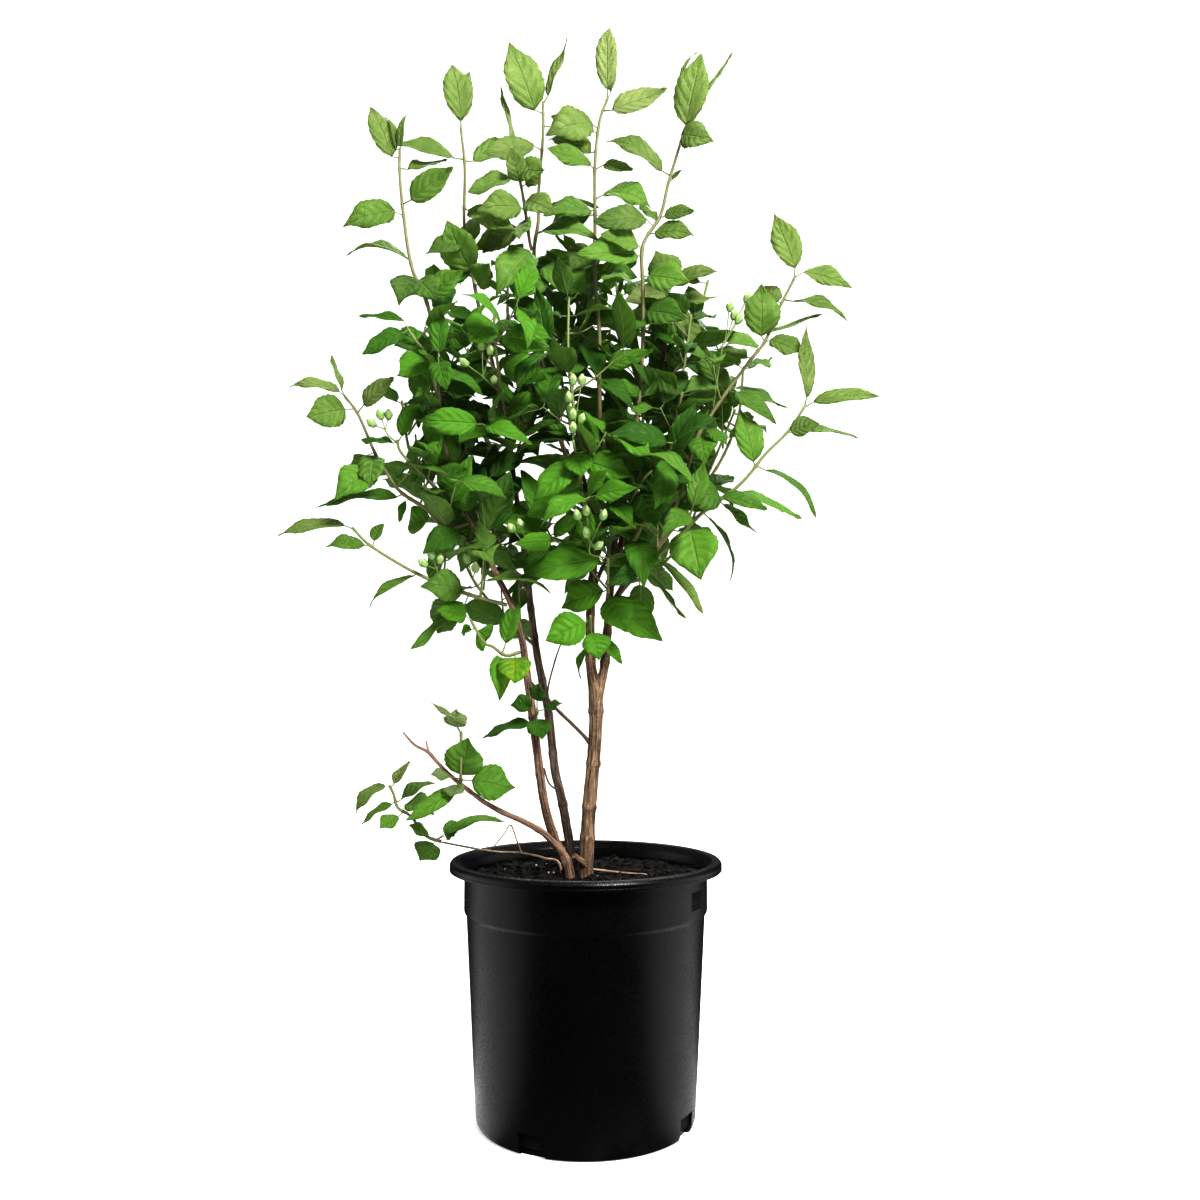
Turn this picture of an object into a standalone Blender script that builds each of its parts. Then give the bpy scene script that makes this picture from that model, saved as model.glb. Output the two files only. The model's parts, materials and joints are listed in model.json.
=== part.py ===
"""Potted mock orange: a pot of soil, woody canes, leafy shoots and sprays of flower buds, at real size."""

import math
import random
from functools import partial
from typing import NamedTuple

import bmesh
import bpy
from mathutils import Matrix, Vector
from mathutils.bvhtree import BVHTree
from mathutils.geometry import intersect_point_tri_2d

CM = 0.01
MM = 0.001
SEED = 4

# Pot: a turned shell with a hooked lip, a wide band under it and notches at the foot
POT_STEPS = 28
POT_HEIGHT = 0.284
LIP_RADIUS = 0.151
BAND_RADIUS = 0.1346
BAND_FOOT = 0.229
FOOT_RADIUS = 0.1188
POT_WALL = 0.002
POT_FLOOR = 0.003
NOTCH_ANGLES = (-27, 63, 153, 243)
NOTCH_SIZE = (0.013, 0.030, 0.025)
NOTCH_RADIUS = 0.1185
RECESS_ANGLES = (62.5, 242.5)
RECESS_SIZE = (0.004, 0.030, 0.019)
RECESS_RADIUS = 0.1354
RECESS_HEIGHT = 0.2495

# Soil: fills the pot to about 2 cm under the lip, with a lumpy top
SOIL_TOP = 0.264
SOIL_RINGS = (0.050, 0.100)
SOIL_LUMP = 0.0028
HOLE_FOOT = 0.1997
CANE_FOOT = 0.200
CANE_COLLAR = 0.268
COLLAR_RISE = 0.004
HOLE_SIDES = 12
HOLE_CLEAR = 0.0004
HOLE_DEPTH = 0.1
CLEAR = 0.00035

# Stems
CANE_SIDES = 2
THIN_SIDES = 0
SHOOT_TIP_RADIUS = 0.0013
SHOOT_BASE_RADIUS = 0.0016
SHOOT_LONG_RADIUS = 0.0026
SHOOT_LONG = 0.38
STALK_RADIUS = 0.0008
SEAT_REACH = 0.03
SEAT_STEP = 0.0002

# Blades: ovate, pointed, folded along the midrib and gently waved
BLADE_THICK = 0.0012
BLADE_RISE = 0.6
BLADE_FALL = 1.2
BLADE_FOLD = 14
BLADE_WAVE = 0.0016
WAVE_WIDE = 0.025
TOOTH = 0.05
STALK_HALF = 0.0007
STALK_KEEL = 0.0008
SIDE_CUTS = {3: (0.16, 0.45, 0.76), 4: (0.12, 0.34, 0.60, 0.83)}
LONG_BLADE = 0.062
BENT_BLADE = 40
FLAT_MIDS = (0.48,)
BENT_MIDS = (0.34, 0.68)
LEAF_GAP = 0.0006
MERGE_NEAR = 0.0009
MERGE_OFF = 0.00018
MERGE_TURN = 0.5
TINY_AREA = 1e-9
SHARP_FROM = 40

# Buds
BUD_RADIUS = 0.0040
BUD_HALF = 0.0060
BUD_TIP = 0.0005
BUD_STALK = 0.004
BUD_SIDES = 1

# The plan's places are as seen from this point: x across and z up on the plane through
# the pot's axis, and a depth behind that plane, in centimetres
EYE = Vector((0.0158, -1.3523, 0.4949))


class Cane(NamedTuple):
    """A woody stem: the node that it is part of, its places (x, z, depth) in cm and its radii in mm."""

    node: str
    places: list
    radii: list
    sides: int = CANE_SIDES


class Shoot(NamedTuple):
    """A leafy stem: what it grows from, its places, and its leaves as (base x, base z, tip x, tip z,
    how far the tip is behind the stem, width, turn of the upper side from the eye to the sky, droop)."""

    parent: str
    places: list
    leaves: list


class Spray(NamedTuple):
    """A stalk of flower buds: what it grows from, its places and the buds' places."""

    parent: str
    places: list
    buds: list


CANES = {
    "main": Cane(
        "cane_main",
        [(0, 26.9, 0.5), (0.4, 34.3, 0.8), (1, 41.1, 0.8), (1.1, 46.3, 0.6), (0.5, 50.5, 0.6),
         (0.5, 55, 0.4), (0.8, 60.7, 0.2), (1.2, 66.3, 0), (1.6, 72.1, 0), (1.6, 76.6, 0)],
        [8, 7.5, 7.3, 7.9, 5.5, 4.9, 4.3, 3.6, 3, 2.2],
    ),
    "main_right": Cane(
        "cane_main",
        [(1.1, 46, 0.6), (2.1, 50, 1), (2.5, 55, 1.5), (2.8, 59.5, 1.5), (3.1, 63.2, 1), (3.6, 67.5, -1),
         (4.2, 72.1, -2)],
        [5.5, 5, 4.6, 4.2, 4.4, 3.4, 2.6],
    ),
    "main_back": Cane(
        "cane_main",
        [(2.7, 59, 1.5), (4.1, 64.1, 4), (5.2, 68.6, 5), (6.1, 72.1, 5.5), (7.3, 75.5, 5.5), (8.2, 80.1, 5),
         (8.9, 85.9, 4.5), (9.4, 89.6, 4)],
        [4, 3.8, 3.6, 3.4, 3.2, 2.9, 2.6, 2.2],
        1,
    ),
    "main_out": Cane(
        "cane_main",
        [(2.5, 55.9, 1.5), (4.4, 59.2, 0), (6.1, 60.9, -2), (7.2, 62.2, -3)],
        [3.2, 3, 2.8, 2.4],
        1,
    ),
    "main_up": Cane(
        "cane_main",
        [(1.1, 64.5, 0), (0.2, 68.9, 1), (-1.3, 71.5, 1.5), (-2.7, 74.9, 1.5), (-3.4, 78.9, 1.2),
         (-4.6, 82.4, 1), (-5.2, 85.9, 1)],
        [3.2, 3, 2.8, 2.6, 2.5, 2.3, 2.1],
        1,
    ),
    "twig_cross": Cane(
        "cane_main",
        [(0.5, 41.2, 0.8), (-0.9, 42.7, 0.6), (-3.4, 45.1, 0.4), (-4.6, 46.5, 0.2), (-6.1, 47.9, 0),
         (-7.4, 49.9, 0)],
        [2, 1.8, 1.7, 1.6, 1.5, 1.1],
        1,
    ),
    "twig_fine": Cane(
        "cane_main",
        [(-4.3, 46.2, 0.2), (-4.2, 47.7, 0), (-3.4, 50.7, -0.6), (-2.8, 52.4, -0.8)],
        [0.9, 0.9, 0.8, 0.7],
        THIN_SIDES,
    ),
    "stub": Cane("cane_main", [(0, 27.6, 0.2), (-1.3, 28.7, -1.2)], [3.6, 3.2], 1),
    "middle": Cane(
        "cane_middle",
        [(-1.5, 28, 3), (-2.6, 34.5, 3.2), (-3.5, 38.4, 3.5), (-4.1, 43.8, 4), (-4.9, 48.1, 4.5),
         (-5.5, 51.1, 4.7), (-6.2, 56.1, 5), (-6.7, 60.7, 5), (-7.5, 66.3, 5), (-8.4, 72.1, 4.5),
         (-9.4, 77.8, 4)],
        [5.5, 5, 4.8, 4.5, 4.3, 4.2, 4, 3.6, 3.2, 2.8, 2.3],
    ),
    "twig_between": Cane(
        "cane_middle", [(-2.9, 35.8, 3.3), (-4.1, 36.7, 2), (-4.7, 38.4, 0.5)], [1.2, 1, 0.8], THIN_SIDES
    ),
    "left": Cane(
        "cane_left",
        [(-1.8, 26.9, -1), (-3.4, 30.4, -1.2), (-4.6, 34.3, -1.5), (-5.5, 40.5, -2.2), (-6.2, 45.9, -3),
         (-6.6, 48.6, -3.3), (-7.2, 52.7, -3.8), (-8.4, 56.7, -4), (-10.1, 60.1, -4), (-12, 64.1, -4),
         (-13.8, 67.7, -3.5), (-15.2, 71.5, -3)],
        [5.6, 5, 4.8, 4.6, 4.4, 4.2, 3.8, 3.4, 3.1, 2.8, 2.5, 2.2],
    ),
    "low_branch": Cane(
        "cane_left",
        [(-2.7, 29.1, -1.2), (-4.6, 31.1, -2.2), (-7, 32.5, -3), (-9.3, 33.5, -3.5), (-11.3, 34.6, -4),
         (-13.2, 36, -4.5), (-15.2, 37.6, -5), (-16.6, 39, -5), (-17.7, 40.2, -5), (-19.2, 41, -5.2),
         (-20.5, 42.4, -5.5)],
        [4, 3.5, 3.1, 2.8, 2.6, 2.4, 2.1, 1.9, 1.7, 1.3, 0.9],
        1,
    ),
    "low_fork": Cane("cane_left", [(-17.6, 40.1, -5), (-17.9, 41.4, -4.6)], [1.3, 0.9], THIN_SIDES),
    "low_twig": Cane(
        "twig_low",
        [(-2.8, 27.2, 3.5), (-4.6, 28.4, 3.5), (-7.2, 29, 3.2), (-9.6, 29.1, 3), (-11.8, 29.4, 2.5),
         (-14, 29.8, 2), (-16.1, 30.2, 1.5)],
        [1.4, 1.3, 1.3, 1.2, 1.1, 1.1, 1],
        THIN_SIDES,
    ),
    "low_twig_fork": Cane(
        "twig_low",
        [(-7.2, 29, 3.2), (-7.7, 30.4, 3), (-8.4, 32.1, 2.8), (-9.2, 31, 2.4), (-10.2, 29.8, 2.2)],
        [1, 0.9, 0.9, 0.8, 0.7],
        THIN_SIDES,
    ),
    "dry_twig": Cane(
        "twig_dry", [(0.8, 27.2, 3), (3.3, 26.9, 1.5), (6.8, 26.6, -1)], [1.5, 1.4, 1.1], THIN_SIDES
    ),
}
ROOTED = {"main": 8.6, "middle": 5.5, "left": 6, "low_twig": 1.5}

SHOOTS = {
    "top_left": Shoot(
        "left",
        [(-15, 71.5, -3), (-16.5, 77, -3), (-17, 83.5, -3), (-18, 90.5, -3), (-20, 95.5, -2.5),
         (-21, 101.5, -2), (-21.5, 106.5, -2), (-21.5, 109.5, -2)],
        [(-22.5, 108.5, -25, 114.5, 1, 3, 20), (-21.5, 109.5, -21, 113.5, -1, 1, 40),
         (-22, 109.5, -23, 113.5, 1, 0.8, 50), (-20, 103.5, -15, 107, -2, 3.1, 25),
         (-20.5, 107, -16, 107.5, 3, 2.1, 70), (-22, 102, -28, 100.5, -2, 3.4, 30),
         (-20.5, 96.5, -27.5, 97.5, -2, 3, 78, 55), (-19.5, 95, -17, 91.5, -3, 3.4, 20),
         (-20.5, 95, -21.5, 91.5, -3, 3.4, 30)],
    ),
    "upper_left": Shoot(
        "middle",
        [(-9.5, 78, 4), (-10.5, 83.5, 3), (-12, 89.5, 2), (-13, 94.5, 2), (-14, 100, 1.5), (-14, 107, 1),
         (-14.5, 112, 1)],
        [(-14.5, 113, -15.5, 120, 0.5, 3.3, 10), (-14.5, 113, -13.5, 118.5, 2, 2.3, 30),
         (-16, 108.5, -24, 109.5, -2, 3, 60, 40), (-12.5, 108, -7.5, 110, 3, 3, 45),
         (-15.5, 94.5, -16, 101, -2, 4.3, -15), (-14, 93.5, -11, 96, -3, 3, 20),
         (-11.5, 97.5, -13, 101.5, 3, 2.7, 30)],
    ),
    "top_middle": Shoot(
        "main_up",
        [(-5, 86, 1), (-5.5, 91.5, 1), (-6, 97, 1), (-5.5, 101, 1), (-5.5, 104, 1), (-5, 111, 1),
         (-5, 115, 1)],
        [(-6, 114, -9, 122, -1, 4.3, 15), (-4, 116.5, -1.5, 122, 1, 1.7, 60), (-7, 110, -10, 108, 3, 3, 45),
         (-4, 112, 0.5, 111.5, 3, 3.4, 35), (-5.5, 99.5, 1.5, 99, -3, 3.2, 60, 45),
         (-4.5, 102, 1.5, 102.5, 3, 2.5, 68, 40), (-6, 96, -8, 91.5, -3, 5.2, 20),
         (-5, 95.5, 0.5, 92, -2, 4.3, 40)],
    ),
    "top_middle_side": Shoot(
        "top_middle",
        [(-6, 96.5, 1), (-6.5, 98.5, 0.5), (-7, 102, 0), (-7.5, 105, 0), (-8, 107, 0)],
        [(-9, 111, -10.5, 116.5, 2, 1.7, 65), (-7, 109.5, -4.5, 106.5, -3, 3.2, 30),
         (-8.5, 106, -13.5, 103.5, -2, 2.7, 50, 50), (-7.5, 102.5, -12.5, 102.5, -3, 3.4, 30),
         (-9, 101.5, -7.5, 98.5, -4, 2.5, 45), (-9, 99.5, -13, 97.5, 3, 2.7, 30)],
    ),
    "top": Shoot(
        "main",
        [(1.5, 76.5, 0), (1.5, 82.5, 0), (1.5, 88, 0), (1, 94, 0.5), (1, 98.5, 1), (1, 102.5, 1),
         (1, 107.5, 1), (1.5, 112.5, 1), (2.5, 115.5, 1)],
        [(2.5, 117.5, 2.5, 124.5, 0, 2.5, 10), (3, 116.5, 3.5, 118.5, 1, 0.9, 40),
         (3, 114, 9.5, 116, -1, 2.9, 35), (0.5, 112.5, -4.5, 111.5, -3, 4.1, 30),
         (0.5, 109, -4.5, 111, 3, 3, 50), (0.5, 107.5, -5, 109, -3, 2.7, 45),
         (2, 107.5, 5.5, 106.5, -2, 1.8, 45), (2, 104, 7.5, 102.5, -2, 3.4, 55, 70),
         (0.5, 103, -4, 102, 3, 2.7, 65), (1.5, 101.5, 2.5, 100, 3, 1.8, 60),
         (1, 82.5, -4.5, 84, -3, 1.8, 60, 40), (2.5, 84, 8, 85.5, -3, 2.5, 35)],
    ),
    "top_right": Shoot(
        "main_right",
        [(4, 72, -2), (5.5, 75.5, -2), (6, 80, -2), (6.5, 87, -1.5), (6.5, 93, -1.5), (6.5, 98, -1.5),
         (8.5, 101.5, -1), (9.5, 105.5, -1), (11, 110.5, -1), (11.5, 112, -1)],
        [(11.5, 112, 13.5, 120.5, -1, 3.8, 20), (12, 115.5, 12, 121.5, 2, 1.1, 60),
         (13, 115.5, 17.5, 120, 2, 1.5, 60), (11, 111, 14.5, 110.5, -3, 3.2, 20),
         (8.5, 107, 2.5, 111, -1, 3, 55, 35), (10, 105.5, 11, 107, 0, 0.5, 30),
         (9, 101.5, 12.5, 102, -2, 1.9, 40), (8, 101, 6, 102.5, 2, 1.6, 60), (6, 98, 1.5, 99, -2, 3.6, 50),
         (6, 80.5, 3, 82.5, -2, 1.7, 40), (6.5, 80.5, 12, 82, 2, 2.7, 50),
         (5.5, 93.5, 1.5, 94, -3, 2.5, 70, 50)],
    ),
    "right_back": Shoot(
        "main_back",
        [(9.5, 89.5, 4), (9.5, 91.5, 4), (9.5, 93, 4)],
        [(9.5, 93.5, 8, 97.5, -1, 4.6, 20), (10, 93.5, 15, 95.5, -2, 2.7, 45),
         (9, 92.5, 4, 91, -3, 3.2, 30), (10, 91.5, 15, 91.5, 2, 2.3, 55), (8.5, 89, 4, 89.5, 3, 3, 40),
         (10, 88, 15.5, 86.5, 2, 2.7, 50), (10.5, 90.5, 13, 85.5, -4, 3, 25)],
    ),
    "right_upper": Shoot(
        "main_out",
        [(7, 62, -3), (9, 65, -3), (11, 70.5, -3), (12.5, 75.5, -3), (14, 78, -3), (16, 81, -3),
         (19, 85, -3), (20.5, 87, -3), (22, 90.5, -2.5), (24, 94.5, -2.5)],
        [(24, 96, 21.5, 101.5, 0, 3.1, 15), (25, 95, 30.5, 93, -1, 2.3, 40),
         (24, 91.5, 30, 89.5, -1, 2.1, 65, 45), (22, 91.5, 20, 93, 3, 2.3, 50),
         (20, 87.5, 20, 93.5, -1, 3.9, 10), (21, 87, 25, 85, -2, 2.7, 40),
         (21, 88, 27, 90.5, 1, 1.6, 72, -25), (19.5, 86.5, 16, 86.5, -3, 2.7, 55, 40),
         (19, 85, 14.5, 86, 2, 2.1, 62), (19.5, 84.5, 21, 83.5, -3, 1.8, 60),
         (17, 81, 21.5, 77, -2, 2.7, 45), (17, 81.5, 22.5, 78.5, 1, 2.1, 70, 40),
         (15.5, 81.5, 14, 84, 2, 2.7, 40), (13.5, 77.5, 16, 74.5, -2, 2.1, 50),
         (12.5, 77, 13.5, 73, -3, 3.2, 10)],
    ),
    "right_long": Shoot(
        "main_out",
        [(6.3, 61, -2.2), (7.5, 61.7, -4.8), (10, 64, -5), (13, 67, -5), (15, 68.5, -5), (17, 70, -5),
         (18.5, 71.5, -5), (20.5, 74, -5), (23, 76.5, -5), (25, 79.5, -5)],
        [(25.5, 81.5, 24.5, 88.5, 0, 2.3, 40), (27, 80.5, 33.5, 80.5, -1, 2.2, 40, 35),
         (22.5, 77, 26.5, 77.5, -1, 2.7, 30), (24, 76.5, 31, 75.5, 1, 1.8, 70, 35),
         (19, 73, 17.5, 79, 1, 3.4, 20), (20.5, 72, 26, 66.5, 0, 2.1, 70, 65),
         (16, 70.5, 24, 65.5, -1, 2.5, 66, 55), (15.5, 69, 20.5, 67, -2, 2.5, 50, 40),
         (15.5, 68.5, 19, 64.5, 1, 1.8, 55), (15.5, 70, 11, 69, -2, 3.9, 20),
         (14.5, 68.5, 11, 67.5, 3, 3, 45), (12, 66, 13, 59.5, -3, 5.7, 0),
         (14, 66.5, 17, 59.5, 3, 1.8, 85, 40)],
    ),
    "right_low": Shoot(
        "main_out",
        [(5.2, 60, -1), (7.5, 62, -1.5), (8.5, 62, -1)],
        [(8.5, 62, 13, 55.5, -1, 2.1, 62, 35), (7, 60, 10.5, 54.5, -3, 1.6, 75, 35),
         (7.5, 61, 9, 59, 2, 1.6, 50)],
    ),
    "left_high": Shoot(
        "left",
        [(-13, 66, -3.8), (-16, 65.5, -5), (-18, 67.5, -5.5), (-21, 69.5, -6), (-22.5, 71.5, -6),
         (-24, 74, -6), (-26, 78.5, -6), (-27.5, 80.5, -6)],
        [(-28.5, 81.5, -34, 82, 0, 1.7, 50), (-28, 81.5, -29.5, 85, 1, 1.1, 60),
         (-27.5, 79, -32, 78, -3, 3.6, 15), (-25, 80, -21.5, 82.5, -2, 2.5, 40),
         (-24.5, 74.5, -24.5, 70, -3, 3, 20), (-25.5, 73.5, -26.5, 70.5, 3, 2.5, 45),
         (-26.5, 71, -28.5, 69, -4, 3.6, 30), (-21.5, 69, -30.5, 67.5, 1, 2.1, 60, 35),
         (-20.5, 68.5, -21, 66, 0, 1, 40), (-22, 71.5, -20, 72.5, 0, 1.4, 70, 50),
         (-16.5, 68, -20.5, 65.5, 2, 3.2, 40), (-14.5, 65, -18.5, 62.5, -3, 3, 20)],
    ),
    "left_low": Shoot(
        "left",
        [(-8.5, 56.5, -4), (-12, 57.5, -5), (-15, 58.5, -5.5), (-17.5, 59.5, -6), (-20.5, 61, -6),
         (-24.5, 63.5, -6), (-26.5, 65.5, -6)],
        [(-28, 66, -35, 64.5, 0, 2.1, 55, 35), (-24.5, 64, -29.5, 63.5, -2, 2.1, 50),
         (-24, 64, -23, 66, 1, 1.6, 40), (-19.5, 60, -25, 57, 2, 1.4, 60),
         (-14, 58.5, -18.5, 59, -3, 3.4, 20), (-15, 57, -16.5, 53.5, 2, 3.9, 30),
         (-14.5, 55, -19, 51, -1, 2.1, 60)],
    ),
    "left_hanging": Shoot(
        "left",
        [(-7, 51.5, -3.6), (-9, 51, -4.5), (-10.5, 52, -5), (-11.5, 52.5, -5.5), (-13, 55, -6)],
        [(-10, 51, -9.5, 46, -1, 2.5, 20), (-7.5, 52, -8, 47.5, -3, 3.9, 10),
         (-10, 56, -11, 52.5, 3, 3.4, 20), (-13.5, 55.5, -17, 56, -2, 3, 30),
         (-12.5, 54.5, -14, 53.5, 1, 1.6, 50), (-9, 52.5, -7.5, 57.5, 2, 2.5, 40)],
    ),
    "tuft": Shoot(
        "left",
        [(-6, 44, -2.8), (-5.5, 44.5, -4.2), (-5.5, 45, -5)],
        [(-6, 45.5, -8.5, 45.5, 0, 2.1, 20), (-5.5, 46, -5, 48, -1, 2.3, 30),
         (-4.5, 45, -2.5, 45.5, -1, 1.6, 50), (-5.5, 44, -5, 41.5, -2, 3, 15),
         (-6.5, 43, -11.5, 41.5, 0, 2.1, 55, 40)],
    ),
    "low_left": Shoot(
        "low_branch",
        [(-14, 36.5, -5.2), (-14, 37.5, -6.2), (-14, 39, -6.5), (-14, 41.5, -6.5), (-14, 42.5, -6.5)],
        [(-13, 36, -13, 42, -2, 4.1, 10), (-12, 37, -8, 36, 1, 3.9, 20),
         (-14.5, 43, -14.5, 45, -1, 2.5, 20), (-15, 44.5, -17.5, 45.5, 0, 0.9, 60),
         (-15.5, 37.5, -17.5, 37.5, -2, 1.6, 50), (-14.5, 36.5, -15, 35, -2, 2.3, 30)],
    ),
    "low_side": Shoot(
        "low_twig",
        [(-16, 30, 1.5), (-18, 31, 1), (-19.5, 33, 0.5), (-21, 34, 0), (-21.5, 35.5, 0), (-22, 36.5, 0)],
        [(-22.5, 36.5, -26, 33.5, -1, 2.1, 50, 50), (-22, 36.5, -19.5, 39, 1, 1.6, 45, 40),
         (-21.5, 35, -25, 32, 0, 1.6, 55, 40), (-21, 35, -17, 37, 1, 2.1, 55, 35),
         (-21, 33, -23, 31.5, -2, 2.3, 40), (-20, 34.5, -17, 33.5, -2, 3.2, 40, 50),
         (-16.5, 32.5, -20, 32, -2, 1.8, 45), (-16, 30.5, -18.5, 28, -2, 3.4, 20),
         (-15.5, 31, -14, 32.5, 2, 2.1, 30), (-14.5, 32, -9, 33, 1, 2.1, 55, 35),
         (-14, 30.5, -14.5, 31.5, 0, 1.4, 40)],
    ),
    "front_middle": Shoot(
        "main",
        [(1, 63, 0), (0, 66.5, -4), (-0.5, 70, -7), (-1, 73, -8.5), (-1.5, 75.5, -9)],
        [(-0.5, 75, -0.5, 71, -1, 3.2, 10), (-1.5, 72.5, -6, 68.5, -1, 3.4, 20),
         (0, 73, 5.5, 71, -1, 3.2, 20), (1, 68.5, 1, 63.5, 2, 4.1, 10),
         (-1.5, 69.5, -6.5, 66.5, 2, 3.9, 30)],
    ),
    "front_high": Shoot(
        "middle",
        [(-8.5, 72.5, 4.5), (-9, 76.5, 0), (-9.5, 80, -4), (-10, 83.5, -6.5), (-10.5, 87.5, -8),
         (-10.5, 90, -8)],
        [(-10.5, 90.5, -13.5, 86.5, -2, 4.1, 15), (-9.5, 87.5, -4, 86, -2, 3.4, 20),
         (-10, 80, -11, 77.5, -2, 2.3, 20), (-9, 80.5, -4.5, 80, 1, 3, 45),
         (-9.5, 84, -4.5, 82.5, 1, 3.9, 25), (-11, 83.5, -16, 81, 1, 3, 45)],
    ),
    "front_low": Shoot(
        "main_right",
        [(2.5, 56.5, 1.5), (2.5, 59, -3), (2.5, 62, -6)],
        [(3, 59, 4.5, 53.5, -1, 4.1, 8), (2, 62, 6, 61, -1, 2.1, 50, 50),
         (1.5, 62, -7.5, 60, -1, 3.9, 15, 30), (2, 60, -3, 56.5, 2, 4.1, 30),
         (3.5, 58.5, 8.5, 52.5, 1, 4.1, 15)],
    ),
    "front_low_left": Shoot(
        "main",
        [(0.5, 52, 0.6), (0.5, 54, -3), (0.5, 55.5, -5)],
        [(0, 56, -4.5, 52.5, -1, 4.1, 15), (1, 55, 1.5, 50.5, -1, 3.4, 20), (1.5, 53, 4, 50, 1, 1.8, 40),
         (0, 53, -1, 48.5, 0, 1.4, 60)],
    ),
    "front_right": Shoot(
        "main_back",
        [(7.5, 75.5, 5.5), (7.5, 76, 0), (6.5, 77, -5), (6.5, 78.5, -6)],
        [(6.5, 77.5, 11, 73, -1, 3.9, 15), (5.5, 77, 1.5, 78.5, -1, 3.2, 30),
         (7.5, 78.5, 12, 78, 1, 3, 30)],
    ),
    "front_centre": Shoot(
        "main",
        [(1.5, 71, 0), (2, 73, -4), (2, 75.5, -7)],
        [(2, 75.5, 5.5, 73, -1, 3.4, 15), (1, 76, -2.5, 79, 1, 3, 30)],
    ),
    "right_inner": Shoot(
        "main_right",
        [(3.5, 66.5, -0.5), (5, 68.5, -4), (6.5, 71, -6), (7.5, 72, -6)],
        [(6, 70, 8, 65.5, -1, 3.9, 20), (8, 72.5, 9.5, 68, -1, 2.7, 35), (5, 67.5, 7, 62, 0, 2.7, 45),
         (8, 68.5, 9.5, 65, 2, 3, 40), (6, 72, 3.5, 75.5, 2, 3, 30)],
    ),
    "left_mid": Shoot(
        "top_left",
        [(-16, 76, -3), (-17, 80.5, -6), (-18, 85, -8), (-19.5, 87, -8.5), (-20.5, 88.5, -8.5)],
        [(-21, 89.5, -25.5, 85, -1, 2.5, 35, 40), (-21, 89.5, -26, 89.5, 1, 1.6, 60),
         (-18.5, 86.5, -22, 88, 2, 2.3, 30), (-18.5, 85, -21.5, 82.5, -3, 3.2, 20),
         (-17.5, 82.5, -20, 80, 2, 2.7, 30), (-17.5, 86, -16.5, 89.5, 0, 1.6, 50),
         (-16, 82, -12.5, 80, -2, 3.2, 40)],
    ),
    "left_mid_low": Shoot(
        "left",
        [(-13.5, 67.5, -3.5), (-16.5, 69.5, -6), (-18.5, 71.5, -7.5), (-21, 74, -8), (-21.5, 75.5, -8)],
        [(-17.5, 70.5, -13, 72, -2, 3, 30), (-21.5, 76, -25.5, 75, 0, 1.8, 60, 40),
         (-21, 76, -19, 80, 1, 2.5, 40), (-18.5, 72.5, -20, 70.5, 1, 1.4, 50),
         (-16.5, 70, -12, 68, 1, 3.4, 30)],
    ),
    "centre": Shoot(
        "middle",
        [(-7, 63, 5), (-5, 64.5, 0), (-4, 66.5, -4), (-3.5, 68, -5)],
        [(-3.5, 68, -7.5, 62.5, -2, 4.1, 25), (-2.5, 68.5, -0.5, 72, 1, 3.2, 30),
         (-4.5, 67.5, -10, 67.5, 1, 3.9, 30), (-4, 68.5, -7.5, 72, 1, 3.6, 30)],
    ),
}

SPRAYS = {
    "buds_right": Spray(
        "right_upper",
        [(14.5, 78.5, -3), (15.5, 86, -4), (16, 87, -4)],
        [(16.5, 91, -4), (18.5, 92, -4), (17.5, 89.5, -4), (17, 90, -3.5)],
    ),
    "buds_left": Spray(
        "left_mid_low",
        [(-21.5, 75, -8), (-22.5, 76, -8), (-23, 77, -8)],
        [(-23.5, 78.5, -8), (-24.5, 77.5, -8), (-22.5, 78.5, -7.5)],
    ),
    "buds_upper": Spray(
        "front_high",
        [(-10.5, 80.5, -5), (-11, 82, -8), (-12, 83, -9)],
        [(-14, 84.5, -9), (-12, 86.5, -9), (-11, 86, -9), (-10.5, 82.5, -9)],
    ),
    "buds_middle": Spray(
        "front_middle",
        [(-1.5, 75.5, -9), (-1.5, 76, -9.3)],
        [(-1.5, 77, -9.6), (-1.5, 78.5, -9.3), (-0.5, 78, -8.8), (-2, 80.5, -9), (-1.5, 82.5, -9),
         (-0.5, 82.5, -9.4)],
    ),
    "buds_front": Spray(
        "front_low",
        [(2.5, 62, -6), (0.5, 62.5, -8), (0.5, 64, -8.4)],
        [(-1, 67, -9), (0, 67.5, -9), (2, 67, -9), (0, 65, -9.2), (1.5, 63.5, -8.8)],
    ),
    "buds_centre": Spray(
        "centre",
        [(-4.5, 65.5, -1.5), (-6.5, 63, -6), (-6.5, 63, -6.5)],
        [(-8.5, 65.5, -7), (-7.5, 66, -7), (-7, 63.5, -7.5), (-6.5, 64, -7)],
    ),
    "buds_low_left": Spray(
        "left_low",
        [(-15.5, 58.5, -5.6), (-16.5, 60, -6.5), (-17, 61, -7)],
        [(-17.5, 62.5, -7), (-18.5, 61.5, -7), (-16.5, 62, -7)],
    ),
    "buds_low": Spray(
        "left_low",
        [(-12, 57.5, -5), (-12, 58.5, -6), (-13, 60, -6.5)],
        [(-13.5, 62, -6.5), (-12.5, 61, -7)],
    ),
}

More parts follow.
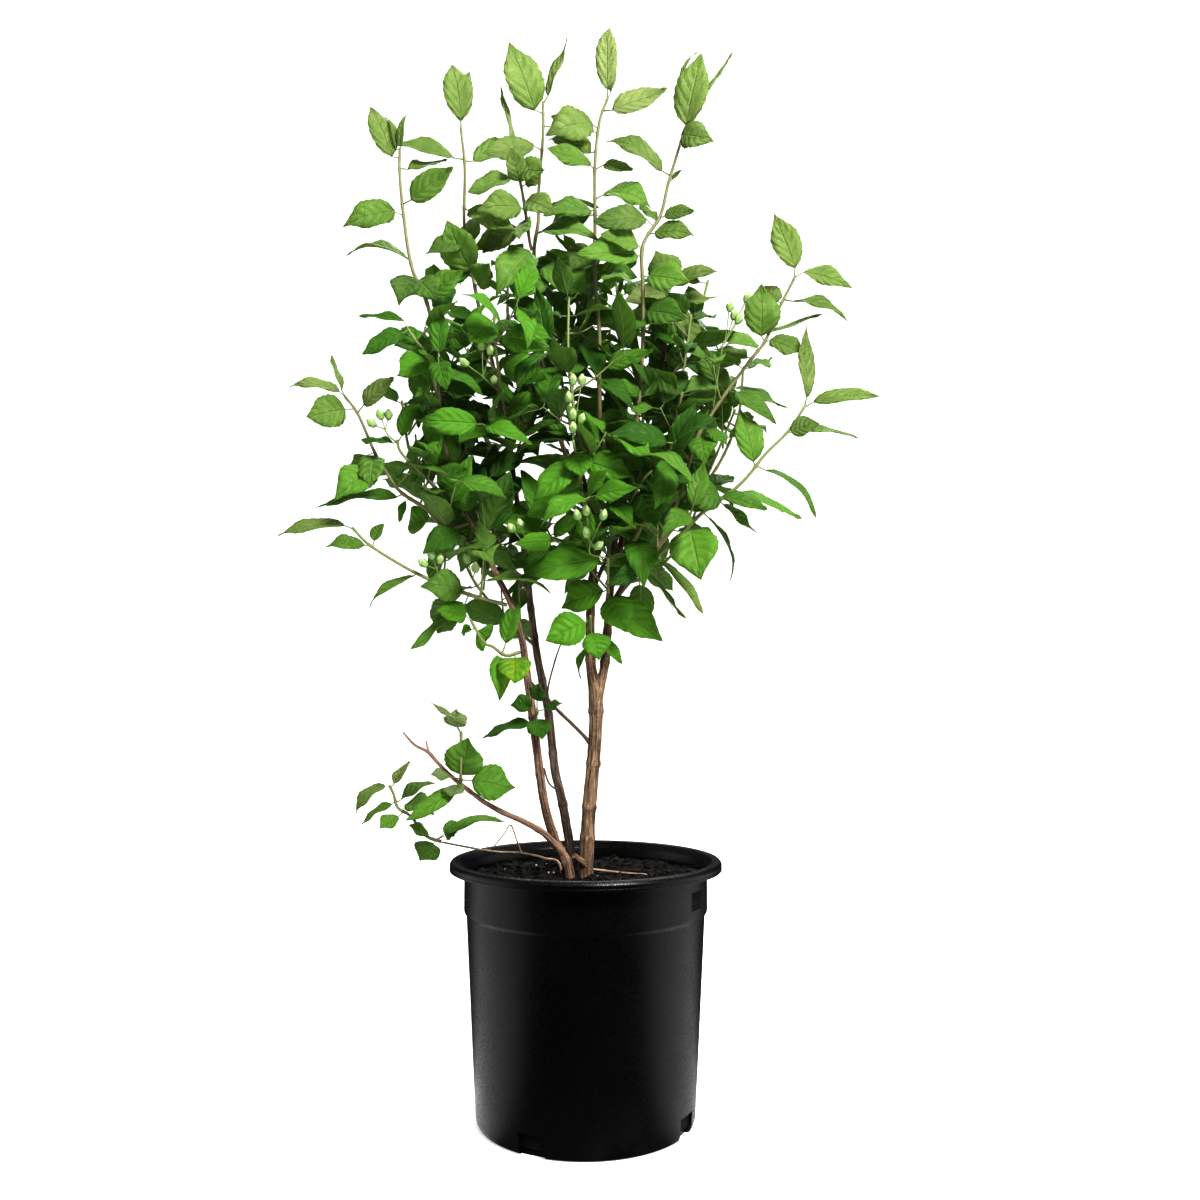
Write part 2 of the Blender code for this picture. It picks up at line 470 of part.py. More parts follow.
# Shoots that fill the crown's back and sides, whose leaves stand in crossed pairs by rule
BACK_SHOOTS = {
    "back_centre": Shoot("main", [(0.7, 58, 0.3), (3, 64, 8), (6, 74, 13), (7, 84, 15)], []),
    "back_left": Shoot("middle", [(-6.4, 58, 5), (-10, 64, 10), (-14, 74, 14), (-15, 84, 15)], []),
    "back_right": Shoot("main_back", [(6.1, 72.1, 5.5), (7, 80, 11), (4, 90, 14), (3, 98, 14)], []),
    "back_high": Shoot("middle", [(-8, 69.5, 4.7), (-9, 80, 10), (-9, 90, 12), (-9, 96, 12)], []),
    "back_side": Shoot("left", [(-11, 62, -4), (-17, 67, 2), (-20, 74, 5), (-21, 80, 6)], []),
    "back_far": Shoot("main_back", [(4.3, 65, 4), (13, 70, 9), (17, 77, 11), (18, 84, 11)], []),
    "back_low": Shoot("main_right", [(2.8, 59, 1.5), (7, 60, 8), (11, 64, 12), (13, 69, 14)], []),
    "back_foot": Shoot("middle", [(-5.7, 52, 4.7), (-9, 55, 10), (-13, 60, 13), (-15, 66, 13)], []),
    "back_middle": Shoot("main", [(1.2, 66, 0), (-1, 74, 7), (-3, 84, 10), (-3, 94, 10)], []),
    "back_tall": Shoot("left", [(-13.4, 67, -3.6), (-16, 76, 4), (-17, 86, 7), (-17, 93, 7)], []),
    "back_top": Shoot("main_back", [(8.2, 80.1, 5), (12, 87, 9), (14, 94, 9)], []),
    "fill_left": Shoot("left", [(-10.1, 60, -4), (-12, 66, 1), (-15, 74, 2), (-17, 82, 1)], []),
    "fill_right": Shoot("main_right", [(3.8, 69, -1.4), (9, 75, 1), (11, 83, 1), (12, 90, 1)], []),
    "fill_centre": Shoot("main", [(1.4, 70, 0), (-1, 77, -4), (-2, 85, -5), (-2, 92, -4)], []),
    "fill_front": Shoot("main_right", [(2.9, 61, 1.3), (6, 65, -4), (9, 73, -5), (11, 81, -4)], []),
    "inner_left": Shoot("middle", [(-7.4, 65, 5), (-12, 71, 3), (-14, 79, 2), (-13.5, 86, 4)], []),
    "inner_middle": Shoot("main_up", [(-3.6, 79.8, 1.1), (-3, 84, 5), (-1, 91, 7), (-1, 97, 7)], []),
    "inner_right": Shoot("main_out", [(3.4, 57.4, 0.8), (8, 63, 5), (13, 70, 6), (17, 79, 5)], []),
}
PAIR_EVERY = 0.064
PAIR_FIRST = 0.055
PAIR_LAST = 0.02
PAIR_SHRINK = 0.25
TIP_PAIR = 0.004
TIP_SMALL = 0.6
PAIR_LONG = (0.060, 0.078)
PAIR_WIDE = 0.56
PAIR_RISE = (8, 38)
STALK_LONG = 0.0093
TRIES = 40

# Leaves of the plan: their usual droop, and how their stalks leave the stem
DROOP = (16, 38)
STALK_DROP = 0.003
LOWEST_LEAF = 0.006
LONGEST_STALK = 0.012
SHORTEST_STALK = 0.006
STALK_BEND = 0.35
STALK_SINK = 0.00013

LEAF_COLOURS = ((0.030, 0.150, 0.028), (0.022, 0.105, 0.022), (0.120, 0.260, 0.060))
PALE_SHOOTS = (
    "top_left", "upper_left", "top_middle", "top_middle_side", "top", "top_right", "right_upper",
    "left_high",
)
BUD_COLOUR = (0.45, 0.55, 0.28)
BARK_COLOURS = {
    "cane_main": (0.16, 0.085, 0.045),
    "cane_middle": (0.085, 0.055, 0.035),
    "cane_left": (0.13, 0.075, 0.045),
    "twig_low": (0.20, 0.14, 0.09),
    "twig_dry": (0.22, 0.15, 0.09),
}

# The crown's outline as seen, which the filling leaves stay inside
CROWN = (
    (-3, 114), (6, 111), (12, 97), (19, 89), (24, 83), (20, 75), (18, 68), (13, 61), (8, 53), (1.5, 51),
    (-5, 51), (-12, 53), (-19, 58), (-22, 64), (-27, 69), (-25, 78), (-25, 88), (-21, 96), (-18, 103),
)
CROWN_MIDDLE = (-3, 78)


def seen(place):
    """The point in space that a place of the plan stands for."""
    x, z, depth = (value * CM for value in place)
    return EYE + (Vector((x, 0, z)) - EYE) * (1 - depth / EYE.y)


def place_of(point):
    """Where a point is seen on the plan, in centimetres."""
    on_plane = EYE + (point - EYE) * (EYE.y / (EYE.y - point.y))
    return on_plane.x / CM, on_plane.z / CM


def in_crown(point):
    """Whether a point is seen inside the crown's outline."""
    spot = place_of(point)
    return any(
        intersect_point_tri_2d(spot, CROWN_MIDDLE, CROWN[i - 1], CROWN[i])
        for i in range(len(CROWN))
    )


def link(obj, collection):
    """Put an object in a collection of the scene, and in no other."""
    for other in list(obj.users_collection):
        other.objects.unlink(obj)
    collection.objects.link(obj)
    return obj


def new_mesh(name, verts, faces, collection):
    mesh = bpy.data.meshes.new(name)
    mesh.from_pydata(verts, [], faces)
    return link(bpy.data.objects.new(name, mesh), collection)


def baked(obj, name, collection):
    """The object with its modifiers or curve made into one closed mesh, and the object itself removed."""
    graph = bpy.context.evaluated_depsgraph_get()
    mesh = bpy.data.meshes.new_from_object(obj.evaluated_get(graph))
    mesh.name = name
    mesh.transform(obj.matrix_world)
    made = bmesh.new()
    made.from_mesh(mesh)
    bmesh.ops.remove_doubles(made, verts=made.verts, dist=0.00001)
    bmesh.ops.recalc_face_normals(made, faces=made.faces)
    made.to_mesh(mesh)
    made.free()
    bpy.data.objects.remove(obj)
    return link(bpy.data.objects.new(name, mesh), collection)


def tube(name, points, radii, sides, collection):
    """A solid stem through the points, with flat ends and a radius at each point."""
    curve = bpy.data.curves.new(name, "CURVE")
    curve.dimensions = "3D"
    curve.bevel_depth = 1
    curve.bevel_resolution = sides
    curve.use_fill_caps = True
    spline = curve.splines.new("POLY")
    spline.points.add(len(points) - 1)
    for spot, point, radius in zip(spline.points, points, radii):
        spot.co = (*point, 1)
        spot.radius = radius
    stem = link(bpy.data.objects.new(name, curve), collection)
    return baked(stem, name, collection)


def turned(name, profile, steps, collection):
    """A profile of (radius, height) turned round the upright axis."""
    verts = [(r, 0, z) for r, z in profile]
    edges = [(i, i + 1) for i in range(len(verts) - 1)]
    mesh = bpy.data.meshes.new(name)
    mesh.from_pydata(verts, edges, [])
    obj = link(bpy.data.objects.new(name, mesh), collection)
    screw = obj.modifiers.new("Turn", "SCREW")
    screw.steps = screw.render_steps = steps
    screw.use_merge_vertices = True
    screw.merge_threshold = 0.00001
    screw.use_normal_calculate = True
    return baked(obj, name, collection)


def cut_box(name, size, radius, height, angle, collection):
    """A box for cutting, set out from the axis at an angle to the right of the front."""
    bpy.ops.mesh.primitive_cube_add(size=1)
    box = link(bpy.context.object, collection)
    box.name = name
    turn = math.radians(angle)
    box.scale = size
    box.rotation_euler.z = turn - math.pi / 2
    box.location = (radius * math.sin(turn), -radius * math.cos(turn), height)
    bpy.ops.object.transform_apply(location=False, rotation=False, scale=True)
    box.hide_render = True
    box.display_type = "WIRE"
    return box


def moved_off(vert, spot, gone):
    """How far a corner's move takes the surface off its planes, or None where a face would turn over."""
    off = 0.0
    for face in vert.link_faces:
        if face in gone:
            continue
        corners = [spot if v is vert else v.co for v in face.verts]
        normal = (corners[1] - corners[0]).cross(corners[2] - corners[0])
        if normal.length < TINY_AREA or normal.normalized().dot(face.normal) < MERGE_TURN:
            return None
        off = max(off, abs((spot - vert.co).dot(face.normal)))
    return off


def merge_close(mesh):
    """Merge the corners that a union leaves close together, where the surface stays closed and in place."""
    made = bmesh.new()
    made.from_mesh(mesh)
    bmesh.ops.triangulate(made, faces=made.faces)
    made.normal_update()
    again = True
    while again:
        again = False
        short = [(edge.calc_length(), edge) for edge in made.edges if edge.calc_length() < MERGE_NEAR]
        for _, edge in sorted(short, key=lambda pair: pair[0]):
            if not edge.is_valid:
                continue
            a, b = edge.verts
            shared = {e.other_vert(a) for e in a.link_edges} & {e.other_vert(b) for e in b.link_edges}
            if len(shared) != 2 or any(len(vert.link_edges) < 4 for vert in shared):
                continue
            best = None
            for spot in (a.co.copy(), b.co.copy()):
                offs = [moved_off(vert, spot, set(edge.link_faces)) for vert in (a, b)]
                if None not in offs and max(offs) < MERGE_OFF and (best is None or max(offs) < best[0]):
                    best = (max(offs), spot)
            if best is None:
                continue
            a.co = best[1]
            bmesh.ops.weld_verts(made, targetmap={b: a})
            for face in a.link_faces:
                face.normal_update()
            again = True
    made.to_mesh(mesh)
    made.free()


def keep_largest(mesh):
    """Fill any sealed hollow and drop any scrap: only the mesh's largest closed surface stays."""
    made = bmesh.new()
    made.from_mesh(mesh)
    left = set(made.faces)
    surfaces = []
    while left:
        found, ahead = [], [left.pop()]
        while ahead:
            face = ahead.pop()
            found.append(face)
            near = {other for edge in face.edges for other in edge.link_faces} & left
            left -= near
            ahead += near
        surfaces.append(found)
    surfaces.sort(key=len)
    for scrap in surfaces[:-1]:
        bmesh.ops.delete(made, geom=scrap, context="FACES")
    made.to_mesh(mesh)
    made.free()


def bool_with(obj, collection, operation, solver="EXACT"):
    """Cut or join an object with all of a collection, and clear the collection."""
    cut = obj.modifiers.new("Join" if operation == "UNION" else "Cut", "BOOLEAN")
    cut.operation = operation
    cut.operand_type = "COLLECTION"
    cut.collection = collection
    cut.solver = solver
    bpy.ops.object.select_all(action="DESELECT")
    obj.select_set(True)
    bpy.context.view_layer.objects.active = obj
    bpy.ops.object.modifier_apply(modifier=cut.name)
    for other in list(collection.objects):
        bpy.data.objects.remove(other)
    if operation == "UNION":
        merge_close(obj.data)
    keep_largest(obj.data)


def material(name, colour, roughness, obj):
    made = bpy.data.materials.get(name) or bpy.data.materials.new(name)
    made.use_nodes = True
    shader = made.node_tree.nodes["Principled BSDF"]
    shader.inputs["Base Color"].default_value = (*colour, 1)
    shader.inputs["Roughness"].default_value = roughness
    shader.inputs["Metallic"].default_value = 0
    obj.data.materials.clear()
    obj.data.materials.append(made)


def smooth(obj):
    """Shade an object smooth but for its sharp edges."""
    obj.data.shade_smooth()
    obj.data.set_sharp_from_angle(angle=math.radians(SHARP_FROM))


def make_pot(parts, cutters):
    lip, band, foot = LIP_RADIUS, BAND_RADIUS, FOOT_RADIUS
    profile = [
        (0, POT_FLOOR),
        (foot - 0.0088, POT_FLOOR),
        (foot - 0.0018, 0.008),
        (band - POT_WALL - 0.003, BAND_FOOT - 0.0025),
        (band - POT_WALL - 0.0001, BAND_FOOT + 0.0015),
        (band - POT_WALL, 0.268),
        (band - 0.0003, POT_HEIGHT - 0.0075),
        (band + 0.0060, POT_HEIGHT),
        (lip - 0.0024, POT_HEIGHT - 0.0004),
        (lip, POT_HEIGHT - 0.0040),
        (lip - 0.0002, POT_HEIGHT - 0.0104),
        (lip - 0.0024, POT_HEIGHT - 0.0104),
        (lip - 0.0028, POT_HEIGHT - 0.0045),
        (band + 0.0024, POT_HEIGHT - 0.0055),
        (band, 0.270),
        (band, BAND_FOOT),
        (band - 0.0028, BAND_FOOT - 0.0035),
        (foot + 0.0018, 0.007),
        (foot, 0.002),
        (foot - 0.0033, 0),
        (0, 0),
    ]
    pot = turned("pot", profile, POT_STEPS, parts)
    for angle in NOTCH_ANGLES:
        cut_box("notch", NOTCH_SIZE, NOTCH_RADIUS, NOTCH_SIZE[2] / 2 - 0.001, angle, cutters)
    for angle in RECESS_ANGLES:
        cut_box("recess", RECESS_SIZE, RECESS_RADIUS, RECESS_HEIGHT, angle, cutters)
    bool_with(pot, cutters, "DIFFERENCE")
    material("pot plastic", (0.012, 0.013, 0.014), 0.35, pot)
    return pot


def make_soil(parts, cutters, holes):
    inner = BAND_RADIUS - POT_WALL - CLEAR
    foot = FOOT_RADIUS - 0.0018 - CLEAR
    profile = [(0, SOIL_TOP)] + [(ring, SOIL_TOP) for ring in SOIL_RINGS] + [
        (inner, SOIL_TOP - 0.001),
        (inner, BAND_FOOT + 0.0013),
        (inner - 0.0029, BAND_FOOT - 0.0025),
        (foot, 0.008 + CLEAR),
        (foot - 0.0068, POT_FLOOR + CLEAR),
        (0, POT_FLOOR + CLEAR),
    ]
    soil = turned("soil", profile, POT_STEPS, parts)
    for vert in soil.data.vertices:
        x, y, z = vert.co
        if z > SOIL_TOP - 0.0005:
            bumps = math.sin(71 * x + 2) * math.sin(83 * y + 1) + 0.6 * math.sin(190 * x + 130 * y)
            vert.co.z += SOIL_LUMP * bumps
    for x, y, radius in holes:
        bpy.ops.mesh.primitive_cylinder_add(
            vertices=HOLE_SIDES,
            radius=(radius + HOLE_CLEAR) / math.cos(math.pi / HOLE_SIDES),
            depth=HOLE_DEPTH,
            location=(x, y, HOLE_FOOT + HOLE_DEPTH / 2),
        )
        hole = link(bpy.context.object, cutters)
        hole.name = "hole"
        hole.hide_render = True
        hole.display_type = "WIRE"
    bool_with(soil, cutters, "DIFFERENCE")
    material("potting soil", (0.018, 0.013, 0.010), 0.9, soil)
    return soil


class Blade(NamedTuple):
    """One leaf in space: where its stalk leaves the stem, its blade's two ends, and how it stands."""

    root: Vector
    base: Vector
    tip: Vector
    normal: Vector
    width: float
    droop: float
    phase: float


def half_width(blade, along):
    """Half the blade's width at a share of its length: rounded at the base, drawn out at the tip."""
    widest = BLADE_RISE / (BLADE_RISE + BLADE_FALL)
    share = (along / widest) ** BLADE_RISE * ((1 - along) / (1 - widest)) ** BLADE_FALL
    return max(blade.width / 2 * share, STALK_HALF)


def surface(blade, along, across, grow=0.0):
    """A point of the blade's middle surface: along it from 0 to 1, and across it from -1 to 1."""
    chord = blade.tip - blade.base
    side = chord.normalized().cross(blade.normal)
    arch = chord.length / 2 * math.tan(math.radians(blade.droop) / 4)
    half = (half_width(blade, along) + grow) * across
    fold = math.radians(BLADE_FOLD)
    wave = BLADE_WAVE * math.sin(9 * along + blade.phase + 1.3 * across) * across * across
    lift = arch * 4 * along * (1 - along) + abs(half) * math.sin(fold)
    lift += wave * min(1, blade.width / WAVE_WIDE)
    return blade.base + chord * along + side * half * math.cos(fold) + blade.normal * lift


def zipped(first, second):
    """Triangles between two rows of (share, corner), and the same ones whatever the rows' heights."""
    i = j = 0
    faces = []
    while i < len(first) - 1 or j < len(second) - 1:
        if j == len(second) - 1 or (i < len(first) - 1 and first[i + 1][0] <= second[j + 1][0]):
            faces.append((first[i][1], second[j][1], first[i + 1][1]))
            i += 1
        else:
            faces.append((first[i][1], second[j][1], second[j + 1][1]))
            j += 1
    return [face for face in faces if len(set(face)) == 3]


def blade_solid(blade, grow=0.0):
    """The corners and faces of a thin blade, thickest along the midrib, on a three-sided stalk."""
    chord = (blade.tip - blade.base).normalized()
    length = (blade.tip - blade.base).length
    way = (blade.base - blade.root).normalized()
    side = chord.cross(blade.normal)
    side = (side - way * side.dot(way)).normalized()
    keel = side.cross(way) * (STALK_KEEL + grow)
    half = side * (STALK_HALF + grow)
    section = (keel / 3 - half, keel / 3 + half, -keel)
    verts = [end + spot for end in (blade.root, blade.base) for spot in section]
    faces = [(0, 2, 1), (0, 1, 4, 3), (1, 2, 5, 4), (2, 0, 3, 5)]
    left, right, top, under = [(0, 3)], [(0, 4)], [], []
    for i, along in enumerate(SIDE_CUTS[4 if length > LONG_BLADE else 3]):
        for row, across in ((left, -1), (right, 1)):
            row.append((along, len(verts)))
            verts.append(surface(blade, along, across * (1 + TOOTH * (-1) ** i * across), grow))
    thick = blade.normal * (BLADE_THICK / 2 + grow)
    for along in BENT_MIDS if blade.droop > BENT_BLADE and length > LONG_BLADE else FLAT_MIDS:
        for row, offset in ((top, thick), (under, -thick)):
            row.append((along, len(verts)))
            verts.append(surface(blade, along, 0) + offset)
    for row in (left, right, top, under):
        row.append((1, len(verts)))
    verts.append(blade.tip + chord * grow)
    faces += zipped(top, right) + [face[::-1] for face in zipped(top, left)]
    faces += [face[::-1] for face in zipped(under, right)] + zipped(under, left)
    faces += [(top[0][1], 3, 4), (4, 5, under[0][1]), (5, 3, under[0][1])]
    return verts, faces


def facing(base, tip, turn):
    """The way a blade's upper side looks: from straight at the eye, turned towards the sky."""
    chord = (tip - base).normalized()
    to_eye = EYE - base
    to_eye = (to_eye - chord * to_eye.dot(chord)).normalized()
    to_sky = chord.cross(to_eye)
    if to_sky.z < 0:
        to_sky.negate()
    angle = math.radians(turn)
    return to_eye * math.cos(angle) + to_sky * math.sin(angle)


def along_line(points, distance):
    """The point at a distance along a line of points, and the way the line runs there."""
    for a, b in zip(points, points[1:]):
        step = (b - a).length
        if distance <= step or b is points[-1]:
            return a.lerp(b, min(1, distance / step)), (b - a).normalized()
        distance -= step


def nearest_on(points, spot):
    """How far along a line of points its nearest point to a spot lies."""
    best, run = (math.inf, 0.0), 0.0
    for a, b in zip(points, points[1:]):
        way = b - a
        share = max(0.0, min(1.0, (spot - a).dot(way) / way.length_squared))
        best = min(best, ((a + way * share - spot).length, run + way.length * share))
        run += way.length
    return best[1]


def line_length(points):
    return sum((b - a).length for a, b in zip(points, points[1:]))


def box_of(verts):
    """The lowest and highest corner of the box round some corners."""
    return [min(v[i] for v in verts) for i in range(3)], [max(v[i] for v in verts) for i in range(3)]


class Standing:
    """Everything that already stands, which later stems and leaves keep clear of."""

    def __init__(self):
        self.items = []

    def add(self, owner, kind, verts, faces):
        self.items.append((owner, kind, *box_of(verts), BVHTree.FromPolygons(verts, faces)))

    def add_object(self, owner, kind, obj):
        verts = [vert.co.copy() for vert in obj.data.vertices]
        self.add(owner, kind, verts, [tuple(face.vertices) for face in obj.data.polygons])

    def hits(self, verts, faces, matters):
        """The owners of what these faces cross, of those that matter."""
        low, high = box_of(verts)
        tree = BVHTree.FromPolygons(verts, faces)
        found = set()
        for owner, kind, item_low, item_high, item_tree in self.items:
            apart = any(low[i] > item_high[i] or high[i] < item_low[i] for i in range(3))
            if not apart and matters(owner, kind) and tree.overlap(item_tree):
                found.add(owner)
        return found


def shoot_radius(points, share):
    """A young stem's radius: thinner towards its tip, and thinner altogether on a short one."""
    grown = min(1.0, line_length(points) / SHOOT_LONG)
    base = SHOOT_BASE_RADIUS + (SHOOT_LONG_RADIUS - SHOOT_BASE_RADIUS) * grown
    return base + (SHOOT_TIP_RADIUS - base) * share


def seated(points, radius, tree, collection):
    """A line of points that starts just clear of what it grows from, whose surface the tree holds."""
    start, way = points[0], (points[1] - points[0]).normalized()
    trial = tube("trial", points, [radius] * len(points), THIN_SIDES, collection)
    ring = [vert.co - start for vert in trial.data.vertices if (vert.co - start).length < 1.1 * radius]
    bpy.data.objects.remove(trial)
    ring += [(a + b) / 2 for a in ring for b in ring]
    reach = min(SEAT_REACH, (points[1] - start).length * 0.8)
    while reach > 0:
        middle = start + way * reach
        if min(tree.find_nearest(middle + spot)[3] for spot in ring) < CLEAR:
            break
        reach -= SEAT_STEP
    return [start + way * (reach + SEAT_STEP), *points[1:]]


def surface_tree(obj):
    """A search tree of an object's surface."""
    verts = [vert.co for vert in obj.data.vertices]
    return BVHTree.FromPolygons(verts, [tuple(face.vertices) for face in obj.data.polygons])


def planned(line, leaf, draw, unrest):
    """A leaf of the plan as a blade, moved a little more with more unrest."""
    base_x, base_z, tip_x, tip_z, toward, width, turn, *droop = leaf
    toward += unrest * draw.uniform(-2.2, 2.2)
    turn += unrest * draw.uniform(-30, 30)
    droop = droop[0] if droop else draw.uniform(*DROOP)
    droop += unrest * draw.uniform(-25, 25)
    depth = line[0].y / CM
    for _ in range(3):
        depth = along_line(line, nearest_on(line, seen((base_x, base_z, depth))))[0].y / CM
    base = seen((base_x, base_z, depth + 0.3 * toward))
    tip = seen((tip_x, tip_z, depth + toward))
    reach = nearest_on(line, base) - STALK_DROP
    on_stem = along_line(line, max(LOWEST_LEAF, min(reach, line_length(line) - STALK_DROP)))[0]
    stalk = base - on_stem
    if stalk.length > LONGEST_STALK:
        base = on_stem + stalk * (LONGEST_STALK / stalk.length)
    if stalk.length < SHORTEST_STALK or stalk.normalized().dot((tip - base).normalized()) < STALK_BEND:
        base = on_stem + (tip - on_stem).normalized() * SHORTEST_STALK
        stalk = base - on_stem
    root = on_stem - stalk.normalized() * STALK_SINK
    shrink = 1 - 0.3 * max(0, unrest - 0.6)
    tip = base.lerp(tip, shrink)
    normal = facing(base, tip, turn)
    return Blade(root, base, tip, normal, width * CM * shrink, droop, draw.uniform(0, math.tau))


def paired(line, distance, azimuth, small, draw, unrest):
    """One leaf of a crossed pair on a filling shoot."""
    on_stem, axis = along_line(line, distance)
    azimuth += unrest * draw.uniform(-70, 70)
    rise = math.radians(draw.uniform(*PAIR_RISE) + unrest * draw.uniform(-35, 35))
    long = draw.uniform(*PAIR_LONG) * small * (1 - 0.4 * unrest)
    outward = Matrix.Rotation(math.radians(azimuth), 3, axis) @ axis.cross(Vector((0.3, 1, 0))).normalized()
    way = (outward * math.cos(rise) + axis * math.sin(rise) - Vector((0, 0, 0.15))).normalized()
    upper = axis + Vector((0, 0, 0.8))
    upper = (upper - way * upper.dot(way)).normalized()
    normal = Matrix.Rotation(math.radians(draw.uniform(-25, 25)), 3, way) @ upper
    base = on_stem + way * STALK_LONG
    return Blade(
        on_stem - way * STALK_SINK,
        base,
        base + way * long,
        normal,
        long * PAIR_WIDE,
        draw.uniform(*DROOP),
        draw.uniform(0, math.tau),
    )


def pair_places(line, draw):
    """Where the leaves of a filling shoot grow: distance, turn round the stem and size."""
    total = line_length(line)
    distance, turn = PAIR_FIRST, draw.uniform(0, 180)
    while distance < total - PAIR_LAST:
        small = 1 - PAIR_SHRINK * distance / total
        yield distance, turn, small
        yield distance, turn + 180, small
        distance += PAIR_EVERY * draw.uniform(0.85, 1.15)
        turn += 90
    yield total - TIP_PAIR, turn, TIP_SMALL
    yield total - TIP_PAIR, turn + 180, TIP_SMALL


def settled(make, node, standing, inside=None):
    """The first try that keeps clear of the rest, or one that crosses only its own shoot's leaves."""
    spare = None
    for attempt in range(TRIES):
        blade = make(attempt / TRIES)
        if inside and not inside(blade.tip):
            continue
        if standing.hits(*blade_solid(blade, LEAF_GAP), lambda owner, kind: owner != node):
            continue
        verts, faces = blade_solid(blade)
        faces = [face for face in faces if min(face) > 2]
        if not standing.hits(verts, faces, lambda owner, kind: owner == node and kind == "leaf"):
            return blade
        spare = spare or blade
    return spare


def grown_leaves(name, line, shoot, standing):
    """The blades of a shoot, each clear of all that stands, and how many found no room."""
    node = "shoot_" + name
    draw = random.Random(f"{SEED} {name}")
    blades, lost = [], 0
    if shoot.leaves:
        wanted = [partial(planned, line, leaf, draw) for leaf in shoot.leaves]
    else:
        wanted = [partial(paired, line, *place, draw) for place in pair_places(line, draw)]
    for make in wanted:
        blade = settled(make, node, standing, None if shoot.leaves else in_crown)
        if blade is None:
            lost += 1
            continue
        blades.append(blade)
        standing.add(node, "leaf", *blade_solid(blade))
    return blades, lost


def bud_tube(start, spot, way, collection):
    """A short stalk that swells into a pointed bud whose middle is the spot."""
    tip = spot + (spot - start).normalized().lerp(way, 0.3).normalized() * BUD_HALF
    foot = spot - (tip - spot)
    radii = [STALK_RADIUS, STALK_RADIUS, BUD_RADIUS, BUD_TIP]
    tube("bud", [start, foot, spot, tip], radii, BUD_SIDES, collection)


def leaf_colour(node):
    """Young shoots at the top are paler, and the filling ones darker."""
    name = node.removeprefix("shoot_")
    if name in PALE_SHOOTS:
        return LEAF_COLOURS[2]
    return LEAF_COLOURS[1 if name in BACK_SHOOTS else 0]


def make_canes(parts, loose):
    """The woody nodes, each with its forks and twigs joined, and the line of every cane."""
    lines, bodies = {}, {}
    for name, cane in CANES.items():
        points = [seen(place) for place in cane.places]
        radii = [radius * MM for radius in cane.radii]
        if name in ROOTED:
            x, y = points[0].xy
            above = [i for i, point in enumerate(points) if point.z > CANE_COLLAR + COLLAR_RISE]
            points = [Vector((x, y, CANE_FOOT)), Vector((x, y, CANE_COLLAR))] + [points[i] for i in above]
            radii = [ROOTED[name] * MM] * 2 + [radii[i] for i in above]
        lines[name] = points
        if cane.node not in bodies:
            bodies[cane.node] = tube(cane.node, points, radii, cane.sides, parts)
            continue
        tube(name, points, radii, cane.sides, loose)
        bool_with(bodies[cane.node], loose, "UNION")
    return lines, bodies


def make_stems(parts, lines, bodies, standing):
    """The young stem of every shoot, seated on what it grows from."""
    shoots = {**SHOOTS, **BACK_SHOOTS}
    for name, shoot in shoots.items():
        node = "shoot_" + name
        points = [seen(place) for place in shoot.places]
        parent = lines[shoot.parent]
        points[0] = along_line(parent, nearest_on(parent, points[0]))[0]
        carrier = bodies["shoot_" + shoot.parent if shoot.parent in shoots else CANES[shoot.parent].node]
        points = seated(points, shoot_radius(points, 0), surface_tree(carrier), parts)
        radii = [shoot_radius(points, i / (len(points) - 1)) for i in range(len(points))]
        lines[name] = points
        bodies[node] = tube(node, points, radii, THIN_SIDES, parts)
        standing.add_object(node, "stem", bodies[node])


def make_sprays(parts, loose, lines, bodies, standing):
    """The bud sprays, each a thin stalk with a short stalk to every bud."""
    for name, spray in SPRAYS.items():
        node = "spray_" + name
        points = [seen(place) for place in spray.places]
        parent = lines[spray.parent]
        points[0] = along_line(parent, nearest_on(parent, points[0]))[0]
        points = seated(points, STALK_RADIUS, surface_tree(bodies["shoot_" + spray.parent]), parts)
        lines[name] = points
        bodies[node] = tube(node, points, [STALK_RADIUS] * len(points), THIN_SIDES, parts)
        for place in spray.buds:
            spot = seen(place)
            reach = max(BUD_STALK, nearest_on(points, spot) - BUD_STALK)
            start, way = along_line(points, reach)
            bud_tube(start, spot, way, loose)
        bool_with(bodies[node], loose, "UNION", "MANIFOLD")
        standing.add_object(node, "stem", bodies[node])


def make_leaves(lines, bodies, standing, loose):
    """The leaves of every shoot, joined to its stem."""
    lost = {}
    for name, shoot in {**SHOOTS, **BACK_SHOOTS}.items():
        blades, lost[name] = grown_leaves(name, lines[name], shoot, standing)
        for blade in blades:
            new_mesh("blade", *blade_solid(blade), loose)
        bool_with(bodies["shoot_" + name], loose, "UNION", "MANIFOLD")
    return lost


